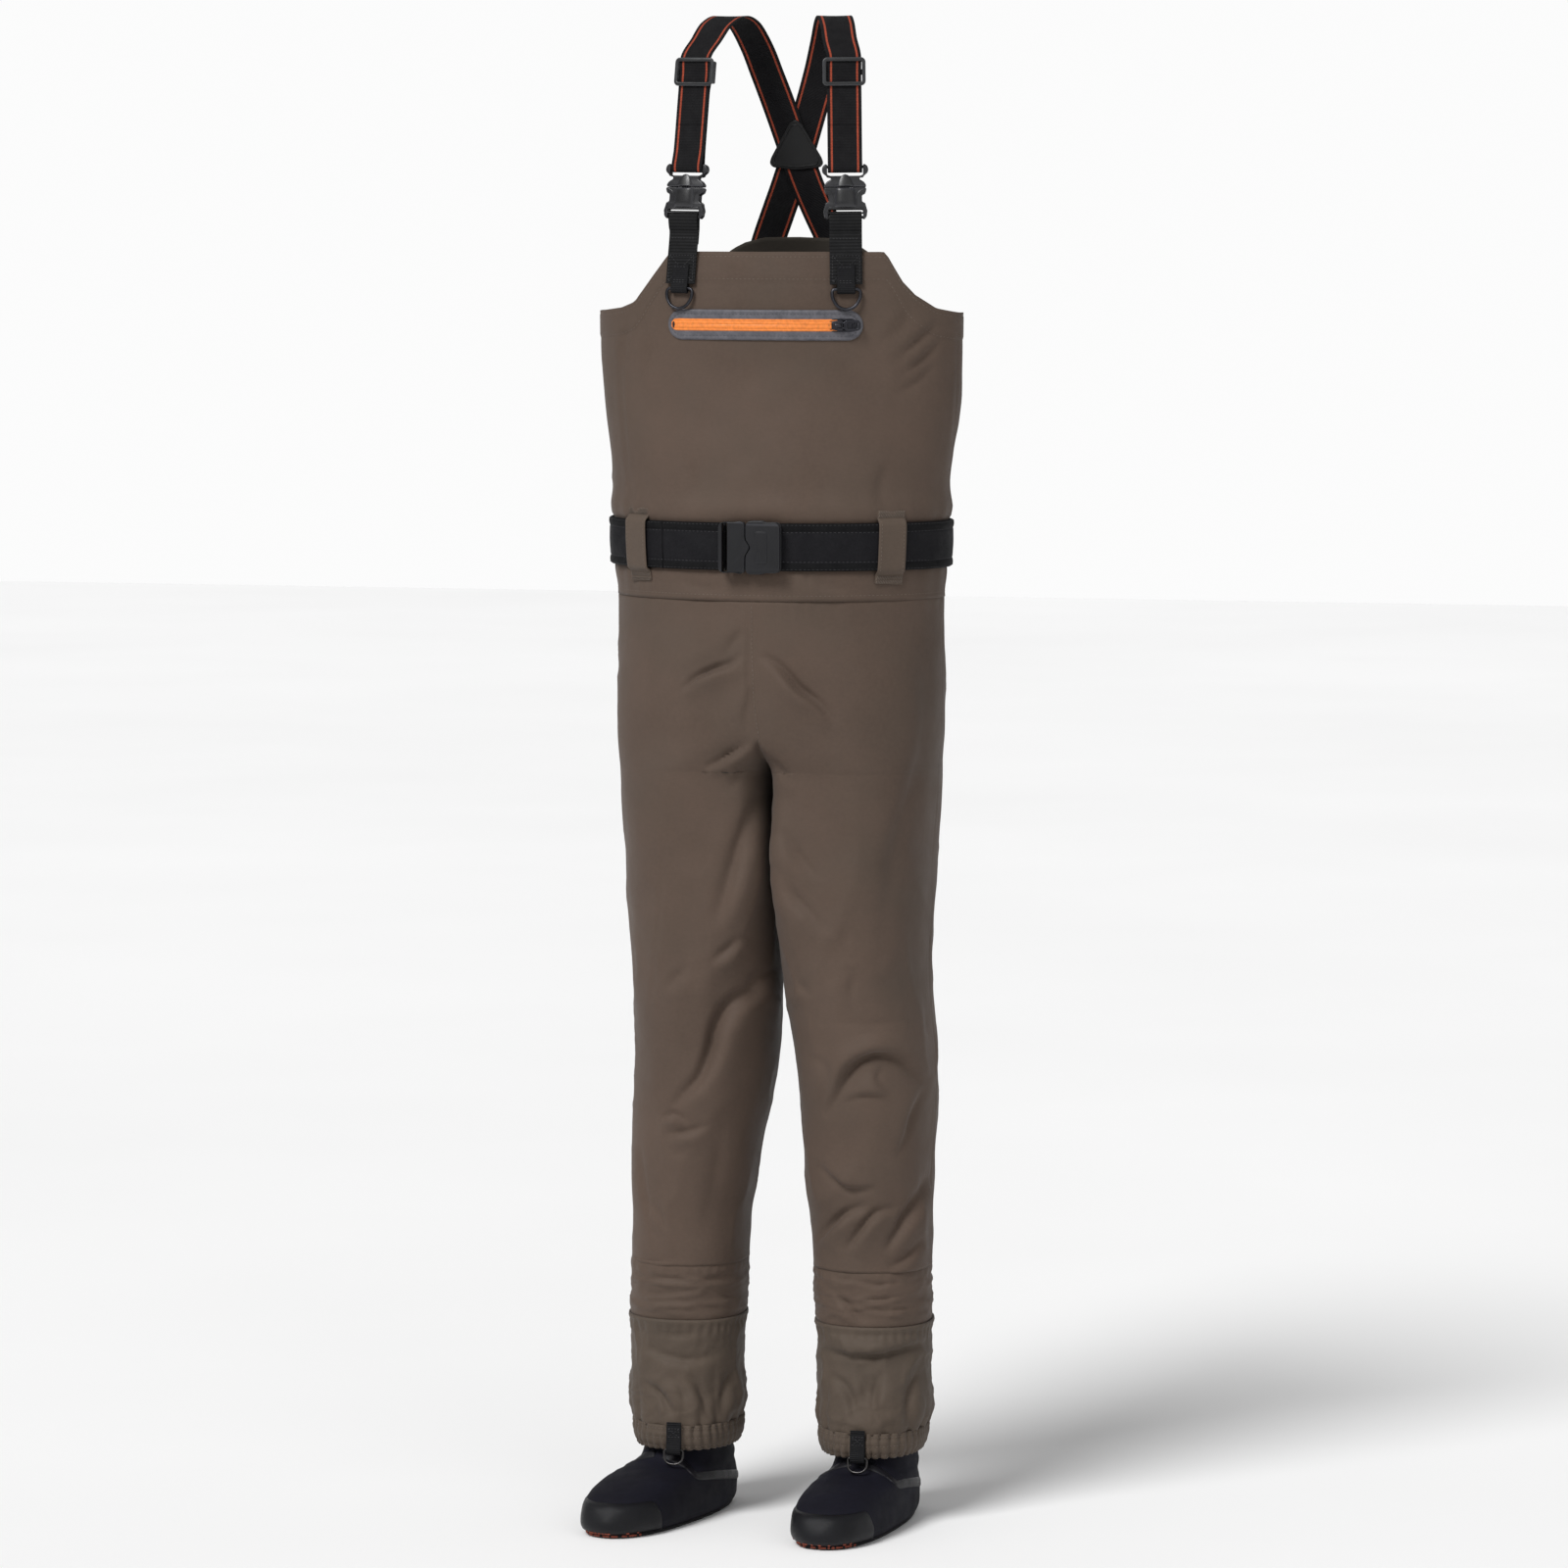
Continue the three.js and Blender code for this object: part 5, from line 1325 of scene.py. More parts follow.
def shins():
    for k, s in SIDE.items():
        seed = 100 if k == "r" else 140
        C = 130
        zs = np.linspace(GUARD_TOP + 0.4, SHIN_TOP + 4.0, 28)
        V, F, U, N, ang = leg_grid(k, zs, C)
        z = V[:, 2]
        mid = smooth((z - GUARD_TOP) / 14) * smooth((SHIN_TOP - z) / 14)
        d = 1.0 * fbm(V, (60, 60, 60), seed, 3) * mid
        # fine cross wrinkles
        w = fbm(V, (46, 46, 11), seed + 5, 3)
        d += (2.3 * (np.clip(1 - np.abs(w) * 2.1, 0, 1) ** 2) - 0.6) * mid
        d += folds(V, N, SHIN_FOLDS[k]) * mid
        d -= 0.85 * smooth((z - SHIN_TOP + 1.2) / 1.5)
        d += (0.3 + 0.5 * np.sin(ang * 30 + 6 * vnoise(V, (40, 40, 90), seed + 8))) * bump(z, SHIN_TOP - 6, 5) - 0.35 * bump(z, SHIN_TOP - 11, 1.4)
        d -= 1.3 * np.exp(-(z - GUARD_TOP) / 2.2)
        V2 = V + N * d[:, None]
        N2 = normals(V2, F)
        t = thicken(V2, N2, F, U, 1.7)
        ob = build("shin_band_cloth_" + k, t[0], t[1], t[2], (SHELL, LINING, SHELL), t[3])
        finish_piece(ob, "garment", "shell", "shin_band_" + k)
        # gravel guard: a bag of cloth gathered into the hem
        zs = np.concatenate([np.linspace(HEM_TOP - 1, 140, 22), np.linspace(140, GUARD_TOP + 2.5, 24)[1:]])
        C = 168
        V, F, U, N, ang = leg_grid(k, zs, C, 0.6)
        z = V[:, 2]
        h = (z - HEM_TOP) / (GUARD_TOP - HEM_TOP)
        body = smooth((GUARD_TOP - 2 - z) / 12)
        d = (2.2 * fbm(V, (58, 58, 60), seed + 31, 3) - 1.4) * body * smooth((z - HEM_TOP) / 10)
        r = 1 - np.abs(fbm(V, (46, 46, 62), seed + 37, 2)) * 1.9
        d += 2.8 * (np.clip(r, 0, 1) ** 4 - 0.25) * body * smooth((z - HEM_TOP) / 14)
        d += 2.2 * bump(z, 121, 15) * (1 + 0.4 * vnoise(V, (50, 50, 200), seed + 3))
        phase = ang * 17 + 2.2 * vnoise(V, (40, 40, 120), seed + 41)
        pleat = np.abs(np.sin(phase * 0.5)) ** 0.9
        d += (pleat - 0.6) * 5.6 * np.exp(-np.maximum(0, z - HEM_TOP) / 26.0) * (0.8 + 0.4 * vnoise(V, (60, 60, 400), seed + 43))
        d -= 3.0 * np.exp(-np.maximum(0, z - HEM_TOP) / 4.5)
        d += folds(V, N, GUARD_FOLDS[k]) * body * smooth((z - HEM_TOP) / 12)
        # top seam: a folded welt and puckers under it
        r2 = 1 - np.abs(fbm(V + 14 * np.stack([r, -r, r], -1), (21, 21, 15), seed + 61, 2)) * 2.0
        d += 1.15 * (np.clip(r2, 0, 1) ** 3 - 0.3) * body * smooth((z - HEM_TOP) / 14)
        puck = np.sin(ang * 38 + 5 * vnoise(V, (50, 50, 300), seed + 47))
        d += 0.8 * puck * bump(z, GUARD_TOP - 8, 7)
        d += 1.5 * bump(z, GUARD_TOP + 0.5, 2.6) - 0.7 * bump(z, GUARD_TOP - 5.2, 1.5)
        V2 = V + N * d[:, None]
        N2 = normals(V2, F)
        t = thicken(V2, N2, F, U, 1.6)
        ob = build("gravel_guard_cloth_" + k, t[0], t[1], t[2], (SEAMED, LINING, SEAMED), t[3])
        finish_piece(ob, "garment", "guard", "gravel_guard_" + k)
        # elastic hem: a folded tube of cloth with gathers
        C2 = 220
        zs2 = np.linspace(HEM_LOW + 0.2, HEM_TOP + 1.2, 15)
        V, F, U, N, ang = leg_grid(k, zs2, C2, 0.6)
        z = V[:, 2]
        u = (z - HEM_LOW) / (HEM_TOP - HEM_LOW)
        phase = ang * 23 + 1.6 * vnoise(V, (30, 30, 90), seed + 51)
        pl = (np.abs(np.sin(phase)) ** 0.75 * 2 - 1.2) * (0.75 + 0.4 * vnoise(V, (30, 30, 60), seed + 53))
        d = 2.3 * pl * (0.6 + 0.4 * np.abs(2 * u - 1)) + 0.7 * fbm(V, (14, 14, 9), seed + 57, 2)
        d += 1.4 * np.sin(np.pi * np.clip(u, 0, 1)) ** 0.6 - 1.0
        d -= 0.8 * (bump(u, 0.5, 0.05) + bump(u, 0.16, 0.04) + bump(u, 0.84, 0.04))
        V2 = V + N * d[:, None]
        N2 = normals(V2, F)
        t = thicken(V2, N2, F, U, 3.0)
        ob = build("guard_hem_cloth_" + k, t[0], t[1], t[2], (SEAMED, LINING, SEAMED), t[3])
        finish_piece(ob, "garment", "guard", "guard_hem_" + k)
        R2 = len(zs2)
        Pd, Nd = V2.reshape(R2, C2, 3), N2.reshape(R2, C2, 3)
        st = Soup()
        for i in (2, 7, 12):
            path = np.concatenate([Pd[i], Pd[i][:1]])
            s1 = stitches(path, np.concatenate([Nd[i], Nd[i][:1]]), 2.6, 1.6, 0.3, 0.12)
            st.add(np.concatenate(s1.v), s1.f)
        finish_piece(st.make("hem_stitching_" + k, THREAD), "garment", "guard")


shins()


# ------------------------------------------------------------------ booties
FOOT_YAW = {"r": 18.0, "l": 9.0}
FOOT_X = {"r": 101.0, "l": 107.0}


def foot_loop(z, steps):
    t, h, w = foot_tab(np.array([z]))[0]
    mid, half = (t - h) / 2, (t + h) / 2
    ball = 0.13 * float(smooth((half - 62) / 50))
    a = np.linspace(0, 2 * np.pi, steps, endpoint=False)
    c, s, e = np.cos(a), np.sin(a), 2 / 2.35
    return np.stack([w * (1 - ball * s) * np.sign(c) * np.abs(c) ** e, -mid + half * np.sign(s) * np.abs(s) ** e], -1)


def booties():
    for k, s in SIDE.items():
        M = eye((s * FOOT_X[k], 1, 0), math.radians(-FOOT_YAW[k]))
        place = lambda V: V @ M[:3, :3].T + M[:3, 3]
        C = 120
        zs = np.concatenate([[3.2, 4.4, 6, 8], np.linspace(10, 80, 34), np.linspace(84, 206, 26)])
        P = np.array([np.concatenate([foot_loop(z, C), np.full((C, 1), z)], 1) for z in zs])
        V, F, U = grid(P, True)
        N = normals(V, F)
        z = V[:, 2]
        seed = 200 if k == "r" else 230
        low = smooth((z - 6) / 10)
        d = 1.1 * fbm(V, (50, 50, 40), seed, 3) * low * smooth((170 - z) / 30)
        # soft cross folds over the instep and behind the ankle
        ins = bump(V[:, 1], -70, 34) * smooth((z - 44) / 14) * smooth((100 - z) / 20)
        d += 1.0 * np.sin(V[:, 1] / 3.6 + 1.5 * vnoise(V, (30, 30, 30), seed + 4)) * ins * 0.6
        heel = smooth((V[:, 1] - 20) / 20) * bump(z, 66, 16)
        d += 0.9 * np.sin(z / 2.9 + 1.2 * vnoise(V, (40, 30, 30), seed + 6)) * heel * 0.7
        # flattened under its own weight where it meets the sole
        d -= 1.6 * np.exp(-np.maximum(0, z - 3.2) / 2.2)
        V2 = V + N * d[:, None]
        N2 = normals(V2, F)
        t = thicken(place(V2), (N2 @ M[:3, :3].T), F, U, 3.4)
        ob = build("bootie_upper_" + k, t[0], t[1], t[2], (NEOPRENE, LINING, NEOPRENE), t[3])
        finish_piece(ob, "garment", "bootie", "bootie_" + k)
        R = len(zs)
        Pg, Ng = V2.reshape(R, C, 3), N2.reshape(R, C, 3)

        def on_foot(ang, zz, off):
            """A point on the bootie at plan angle ang (degrees) and height zz."""
            j = (ang / 360.0 * C) % C
            j0 = int(j)
            fj = j - j0
            col = Pg[:, j0] * (1 - fj) + Pg[:, (j0 + 1) % C] * fj
            cn = Ng[:, j0] * (1 - fj) + Ng[:, (j0 + 1) % C] * fj
            p = np.array([np.interp(zz, zs, col[:, q]) for q in range(3)])
            n = np.array([np.interp(zz, zs, cn[:, q]) for q in range(3)])
            n /= np.linalg.norm(n)
            return p + n * off, n

        # taped seams: over the instep and down to the sides of the heel, and up the back
        def tape(name, pts, w, off=0.55, h=0.9):
            c = crom(pts, False, 12)
            pn = [on_foot(a, zz, 0) for a, zz in c]
            Pc, Nc = np.array([p for p, _ in pn]), np.array([n for _, n in pn])
            Tc = tangents(Pc)
            Wc = unit(np.cross(Nc, Tc))
            m = 9
            rows_ = []
            for x in np.linspace(-w / 2, w / 2, m):
                pts2 = []
                for i in range(len(Pc)):
                    lift = h * (1 - abs(2 * x / w) ** 4)
                    tgt = Pc[i] + Wc[i] * x
                    # hug the surface: nearest grid vertex normal plane
                    kk = np.argmin(((V2 - tgt) ** 2).sum(1))
                    dist = (tgt - V2[kk]) @ N2[kk]
                    pts2.append(tgt - N2[kk] * dist + N2[kk] * (off + lift - 0.55))
                rows_.append(pts2)
            G = np.array(rows_)
            Vt, Ft, Ut = grid(G, False)
            nt_ = normals(Vt, Ft)
            flipit = (nt_ * N2[[np.argmin(((V2 - p) ** 2).sum(1)) for p in Vt[:: max(1, len(Vt) // 40)]]].mean(0)).sum(1).mean() < 0
            if flipit:
                Ft, Ut = Ft[:, ::-1], Ut[:, ::-1]
            Nt = normals(Vt, Ft)
            tt = thicken(place(Vt), Nt @ M[:3, :3].T, Ft, Ut, 0.8)
            o = build(name, tt[0], tt[1], tt[2], (TAPE,), None)
            finish_piece(o, "garment", "bootie")
            return o

        tape("instep_tape_" + k, [(276, 70), (296, 66), (318, 60), (340, 54), (362, 47), (384, 40), (406, 33), (430, 27)], 10)
        tape("inner_tape_" + k, [(264, 70), (244, 66), (222, 60), (200, 54), (178, 47), (156, 40), (134, 33), (110, 27)], 10)
        tape("heel_tape_" + k, [(90, 14), (90, 30), (90, 50), (90, 70), (90, 92)], 9)
        # toe rand
        a = np.linspace(209, 331, 74)
        hz = np.linspace(0, 1, 12)
        G, GN = [], []
        for v in hz:
            line = []
            for ang in a:
                e = min(1.0, (61 - abs(ang - 270)) / 16.0)
                topz = 6 + 31 * math.sqrt(max(0.0, 1 - (1 - max(e, 0)) ** 2))
                zz = 4.6 + (topz - 4.6) * v
                p, n = on_foot(ang, zz, 1.25 * (1 - (2 * v - 1) ** 8) + 0.15)
                line.append(p)
            G.append(line)
        G = np.array(G)
        Vr, Fr, Ur = grid(G, False)
        Nr = normals(Vr, Fr)
        dr = 0.35 * fbm(Vr, (22, 22, 12), seed + 9, 2)
        Vr = Vr + Nr * dr[:, None]
        tt = thicken(place(Vr), Nr @ M[:3, :3].T, Fr, Ur, 1.1)
        ob = build("toe_rand_rubber_" + k, tt[0], tt[1], tt[2], (RAND,), None)
        finish_piece(ob, "garment", "rand", "toe_rand_" + k)
        # sole: a rubbered pad with a rounded edge
        C3 = 150
        prof = [(0.0, -3.6), (0.5, -1.5), (1.3, -0.5), (2.3, 0.0), (3.3, -0.1), (3.9, -0.9)]
        rows_ = []
        base = foot_loop(2.0, C3)
        tn = unit(np.roll(base, -1, 0) - np.roll(base, 1, 0))
        on = np.stack([tn[:, 1], -tn[:, 0]], -1)
        for zz, off in prof:
            rows_.append(np.concatenate([base + on * (off - 0.4), np.full((C3, 1), zz)], 1))
        G = np.array(rows_)
        Vs_, Fs_, Us_ = grid(G, True)
        faces = Fs_.tolist()
        nV = len(Vs_)
        faces.append(list(range(C3))[::-1])
        faces.append([nV - C3 + j for j in range(C3)])
        ob = mesh_from_lists("sole_pad_" + k, place(Vs_), faces, SOLE, auto=50)
        finish_piece(ob, "garment", "sole", "bootie_sole_" + k)
        # grip print: small raised lozenges wrapped over the sole's edge at the toe, and rows under it
        gp = Soup()
        rng = np.random.RandomState(7 if k == "r" else 11)
        for ring, (zz, rr) in enumerate(((2.6, 1.5), (6.4, 1.3))):
            for ang in np.arange(228 + ring * 1.6, 312, 3.2):
                if rng.rand() < (0.22 if ring == 0 else 0.55):
                    continue
                if ring == 0:
                    j = int(round(ang / 360 * C3)) % C3
                    p = np.array([*(base[j] + on[j] * -0.35), zz])
                    n = np.array([*on[j], 0.0])
                else:
                    p, n = on_foot(ang, zz, 1.2)
                tx = unit(np.cross([0, 0, 1.0], n))
                bz = np.cross(n, tx)
                gp.add(*blob(p, tx * (1.2 + 1.1 * rng.rand()), bz * rr * (0.7 + 0.3 * rng.rand()), n * 0.55, 4, 8), M=M)
        ys = np.arange(-160, 60, 9.0)
        for iy, yy in enumerate(ys):
            for xx in np.arange(-34 + (iy % 2) * 4.5, 35, 9.0):
                inside = np.hypot(xx / 36.0, (yy + 60) / 112.0)
                if inside > 0.93:
                    continue
                gp.add(*blob((xx, yy, 0.25), (2.6, 0, 0), (0, 1.5, 0), (0, 0, 0.25), 4, 6), M=M)
        finish_piece(gp.make("sole_grip_" + k, GRIP), "garment", "sole")


booties()


# ------------------------------------------------------------------ belt
def belt_section():
    """(offset, height) round the belt's section, from the outer face's foot upward, anticlockwise seen from the belt's start."""
    out = []
    zc = (BELT_LO + BELT_HI) / 2
    hh = 25.0
    zs = np.concatenate([[-hh], np.linspace(-hh + 0.7, hh - 0.7, 45), [hh]])
    for z in zs:
        a = abs(z)
        o = 4.6 - 1.9 * np.clip((a - (hh - 1.6)) / 1.6, 0, 1) ** 2
        o += 0.75 * bump(a, 20.6, 3.0)  # bindings stand proud
        o -= 0.75 * bump(a, 15.6, 0.9)  # groove of the stitch line
        o += 0.55 * bump(z, 0, 11)  # padding crowns
        out.append((o, zc + z))
    for z in zs[::-1]:
        a = abs(z)
        out.append((0.8 + 1.2 * np.clip((a - (hh - 1.2)) / 1.2, 0, 1) ** 2, zc + z))
    return out


def belt_piece(name, deg0, deg1, nodes, blend=None):
    sec = belt_section()
    n = max(8, int(abs(deg1 - deg0) / 0.9))
    degs = np.linspace(deg0, deg1, n + 1)
    rows_ = []
    for i, dg in enumerate(degs):
        pts = []
        for o, z in sec:
            p = torso(z, dg, 0.0)
            base = torso(1049.0, dg, 0.0)
            nn = unit((torso(1049.0, dg, 1.0) - base)[None])[0]
            q = p * 0.5 + np.array([base[0], base[1], z]) * 0.5
            wob = 0.35 * float(vnoise(np.array([[dg * 2.5, z * 0.6, 7.0]]), 17, 77)[0]) if o > 3 else 0
            pts.append(q + nn * (o + wob))
        rows_.append(pts)
    G = np.array(rows_)  # along, around
    K = len(sec)
    per = np.array([0] + [math.hypot(sec[(i + 1) % K][0] - sec[i][0], sec[(i + 1) % K][1] - sec[i][1]) for i in range(K)])
    per = np.cumsum(per)
    arc = np.concatenate([[0], np.cumsum(np.linalg.norm(np.diff(G[:, 20], axis=0), axis=1))])
    uv = np.stack(np.broadcast_arrays(arc[:, None] * MM, per[None, :] * MM), -1)
    V, F, U = grid(G, True, uv)
    # which faces are binding
    zc = 1049.0
    cz = V[F][:, :, 2].mean(1) - zc
    mark = (np.abs(cz) > 16.4).astype(int)
    Nf = np.cross(V[F[:, 2]] - V[F[:, 0]], V[F[:, 3]] - V[F[:, 1]])
    cen = V[F].mean(1)
    good = (Nf * (cen * [1, 1, 0])).sum(1)[np.abs(cz) < 10]
    outer = (F[:, 0] % K < 47)[np.abs(cz) < 10]
    if good[outer].mean() < 0:
        F, U = F[:, ::-1], U[:, ::-1]
        flipped = True
    else:
        flipped = False
    caps = [[j for j in range(K)], [(len(degs) - 1) * K + j for j in range(K)]]
    if flipped:
        caps = [caps[0], caps[1][::-1]]
    else:
        caps = [caps[0][::-1], caps[1]]
    faces = F.tolist() + caps
    uvs = U.reshape(-1, 2).tolist() + [[0.0, 0.0]] * (2 * K)
    me_marks = mark.tolist() + [1, 1]
    me = bpy.data.meshes.new(name)
    me.from_pydata(((V + MOVE) * MM).tolist(), [], faces)
    layer = me.uv_layers.new(name="UVMap")
    layer.data.foreach_set("uv", np.array(uvs, np.float32).ravel())
    me.materials.append(PAD)
    me.materials.append(BELT_WEB)
    me.polygons.foreach_set("material_index", np.array(me_marks, np.int32))
    me.polygons.foreach_set("use_smooth", np.full(len(faces), True))
    me.update()
    ob = bpy.data.objects.new(name, me)
    scene.collection.objects.link(ob)
    finish_piece(ob, "garment", "belt", *nodes, blend=blend)
    # dashed thread in the two grooves
    st = Soup()
    for zt in (-15.6, 15.6, -23.2, 23.2):
        i = int(np.argmin([abs((z - zc) - zt) + (0 if o > 2 else 99) for o, z in sec]))
        path = G[:, i]
        base = np.array([torso(1049.0, dg, 1.0) - torso(1049.0, dg, 0.0) for dg in degs])
        s1 = stitches(path, unit(base), 3.0, 1.5, 0.34, 0.12)
        if s1.v:
            st.add(np.concatenate(s1.v), s1.f)
    o2 = st.make(name + "_stitching", THREAD_K)
    finish_piece(o2, "garment", "belt", blend=blend)
    return ob


deg_at = lambda x: -math.degrees(math.acos(x / 180.0))
END_BLEND = ("garment", "belt_buckle_male", row(-76, -110, 1049), row(-33, -118, 1049))
belt_piece("belt_padded", deg_at(22), 360 + deg_at(-104), ["belt"])
belt_piece("belt_front_strap", deg_at(-103.2), deg_at(-32.5), ["belt_front_end"], blend=END_BLEND)


def belt_loops():
    for k, s in SIDE.items():
        c = -math.degrees(math.acos(134 * s / 180.0))
        path = [(1009.6, 1.4), (1014, 1.5), (1019.5, 1.9), (1022.2, 4.6), (1024.2, 6.7), (1030, 7.3), (1040, 7.5), (1049, 7.55), (1058, 7.5), (1068, 7.3), (1073.8, 6.7), (1075.8, 4.6), (1078.5, 1.9), (1083, 1.5), (1086.8, 1.4)]
        path = crom([(o, z) for z, o in path], False, 4)
        P, N = [], []
        for o, z in path:
            P.append(torso(z, c, o))
        P = np.array(P)
        wd = unit((torso(1049.0, c + 1.0) - torso(1049.0, c - 1.0))[None])[0]
        V, F, U = ribbon(P, wd, 31.0, 1.7, step=2.2, cols=14, rib=0.0, curl=0.0, straight=True)
        # cloth unevenness
        V = V + 0.18 * fbm(V, (12, 12, 9), 300, 2)[:, None] * unit((torso(1049.0, c, 1) - torso(1049.0, c))[None])[0]
        ob = mesh_from_lists("belt_loop_cloth_" + k, V, F, LOOPS, uvs=U)
        finish_piece(ob, "garment", "shell", "belt_loop_" + k)
        st = Soup()
        nn = unit((torso(1049.0, c, 1) - torso(1049.0, c))[None])[0]
        for zt, o in ((1012.2, 2.55), (1016.4, 2.75), (1081.2, 2.75), (1084.8, 2.45)):
            ctr = torso(zt, c, o)
            m = 16
            for i in range(m):  # bar tack
                x = -13.8 + 27.6 * i / (m - 1)
                a, b = ctr + wd * (x - 0.7) + [0, 0, -1.5], ctr + wd * (x + 0.7) + [0, 0, 1.5]
                st.add(*tube([a, (a + b) / 2 + nn * 0.25, b], 0.36, nn, 6, False, 2))
        for x in (-12.6, 12.6):
            line = P[int(len(P) * 0.16) : int(len(P) * 0.84)] + wd * x + nn * 0.9
            s1 = stitches(line, nn, 2.6, 1.4, 0.3, 0.05)
            st.add(np.concatenate(s1.v), s1.f)
        finish_piece(st.make("belt_loop_tacks_" + k, THREAD), "garment", "shell")


belt_loops()


# ------------------------------------------------------------------ belt buckle
def belt_buckle():
    y0, y1, mid, h = -128.6, -118.8, 1049.0, 28.0
    I = np.eye(4)
    # female half: face shell, back shell, and a frame between them
    f = Soup()
    slot = rounded([(18.5, mid - 25.4), (24, mid - 25.4), (24, mid + 25.4), (18.5, mid + 25.4)], 1.2)
    out = rounded([(-8.8, mid - 24.5), (-5, mid - 28), (9, mid - 28), (12, mid - 26.6), (24.5, mid - 26.6), (28, mid - 23), (28, mid + 23), (24.5, mid + 26.6), (12, mid + 26.6), (9, mid + 28), (-5, mid + 28), (-8.8, mid + 24.5), (-8.8, mid + 9), (-3.2, mid), (-8.8, mid - 9)], [3, 2.5, 3, 3, 3, 3.5, 3.5, 3, 3, 3, 2.5, 3, 3, 3, 3])
    f.add(*plate(out, [], y0 - 0.6, y0 + 2.2, 1.1), M=I)
    f.add(*plate(out, [slot], y1 - 2.0, y1, 0.7), M=I)
    # raised field on the face, and side ribs
    f.add(*plate(rounded([(1.5, mid - 17), (14.5, mid - 17), (14.5, mid + 17), (1.5, mid + 17), (5.0, mid)], [3, 3, 3, 3, 4]), [], y0 - 1.3, y0 + 0.4, 0.7), M=I)
    wall = [[(10.5, mid - 26.4), (17.2, mid - 26.4), (17.2, mid + 26.4), (10.5, mid + 26.4), (10.5, mid + 21.8), (14.6, mid + 21.8), (14.6, mid - 21.8), (10.5, mid - 21.8)]]
    f.add(*plate(rounded(wall[0], 0.8), [], y0 + 2.1, y1 - 1.9, 0.3), M=I)
    f.add(*plate(rounded([(24.6, mid - 24.5), (27.4, mid - 22.5), (27.4, mid + 22.5), (24.6, mid + 24.5)], 0.8), [], y0 + 2.1, y1 - 1.9, 0.3), M=I)
    for q in (-1, 1):
        f.add(*plate(rounded([(-8.2, mid + q * 24), (-5.4, mid + q * 24), (-5.4, mid + q * 27.2), (-8.2, mid + q * 25)], 0.5), [], y0 + 2.1, y1 - 1.9, 0.3), M=I)
    ob = f.make("belt_buckle_socket", BUCKLE)
    finish_piece(ob, "garment", "buckle", "belt_buckle_female")
    m = Soup()
    slot = rounded([(-34, mid - 25.4), (-28.5, mid - 25.4), (-28.5, mid + 25.4), (-34, mid + 25.4)], 1.2)
    out = rounded([(-38, mid - 23), (-34.5, mid - 26.6), (-20, mid - 26.6), (-14, mid - 28), (-9.6, mid - 25.5), (-9.6, mid - 9.2), (-4.1, mid), (-9.6, mid + 9.2), (-9.6, mid + 25.5), (-14, mid + 28), (-20, mid + 26.6), (-34.5, mid + 26.6), (-38, mid + 23)], [3.5, 3, 3, 3, 3, 3, 3, 3, 3, 3, 3, 3, 3.5])
    m.add(*plate(out, [slot], y0 - 0.3, y0 + 2.9, 1.0), M=I)
    out2 = rounded([(-38, mid - 23), (-34.5, mid - 26.6), (-10.4, mid - 26.6), (-10.4, mid + 26.6), (-34.5, mid + 26.6), (-38, mid + 23)], 3)
    m.add(*plate(out2, [slot], y0 + 2.7, y1 - 0.1, 0.9), M=I)
    ya, yb = y0 + 2.8, y1 - 2.8
    # centre guide and the two sprung prongs with their release heads
    m.add(*plate(rounded([(-12, mid - 4.6), (11, mid - 3.2), (12.8, mid), (11, mid + 3.2), (-12, mid + 4.6)], 1.5), [], ya, yb, 0.6), M=I)
    for q in (-1, 1):
        arm = [(-12, mid + q * 13.2), (3, mid + q * 14.2), (7.2, mid + q * 16.5), (7.2, mid + q * 19), (4.5, mid + q * 21.6), (-4.2, mid + q * 21.6), (-4.6, mid + q * 18.6), (-12, mid + q * 18.4)]
        if q > 0:
            arm = arm[::-1]
        m.add(*plate(rounded(arm, 1.0), [], ya, yb, 0.6), M=I)
        # thumb grip on the head
        for i in range(4):
            m.add(*blob((-2.6 + i * 2.1, (ya + yb) / 2, mid + q * 21.7), (0.55, 0, 0), (0, 2.0, 0), (0, 0, 0.5), 5, 8))
    ob = m.make("belt_buckle_tongue", BUCKLE)
    finish_piece(ob, "belt_buckle_male", "buckle", "belt_buckle_male")


belt_buckle()


# ------------------------------------------------------------------ braces
def xform(M, P):
    P = np.asarray(P, float)
    return P @ M[:3, :3].T + M[:3, 3]


def hw_band(M, path, w, t, name, mat, slot_name, nodes, body="garment", blend=None, rib=0.0, pitch=2.6, step=1.4, cols=16, soft=4, ends=True):
    P2 = np.array([[0, y, z] for y, z in path], float)
    P = xform(M, crom(P2, False, soft))
    V, F, U = ribbon(P, M[:3, 0], w, t, step=step, cols=cols, rib=rib, pitch=pitch, straight=True)
    ob = mesh_from_lists(name, V, F, mat, uvs=U)
    finish_piece(ob, body, slot_name, *nodes, blend=blend)
    return ob


def hw_stitches(M, segs, y, name, mat, length=2.4, gap=1.0, body="garment", r=0.36):
    """Thread on the front face of a hardware band; segs are lists of (x', z') with y' from a function."""
    s = Soup()
    for seg in segs:
        P = np.array([[x, y(z) if callable(y) else y, z] for x, z in seg], float)
        P = np.concatenate([P[i] + (P[i + 1] - P[i]) * np.linspace(0, 1, 10, endpoint=False)[:, None] for i in range(len(P) - 1)] + [P[-1:]])
        for i in range(len(P)):
            if callable(y):
                P[i, 1] = y(P[i, 2])
        s1 = stitches(xform(M, P), -M[:3, 1], length, gap, r, 0.08)
        if s1.v:
            s.add(np.concatenate(s1.v), s1.f)
    ob = s.make(name, mat)
    finish_piece(ob, body, "webbing")
    return ob


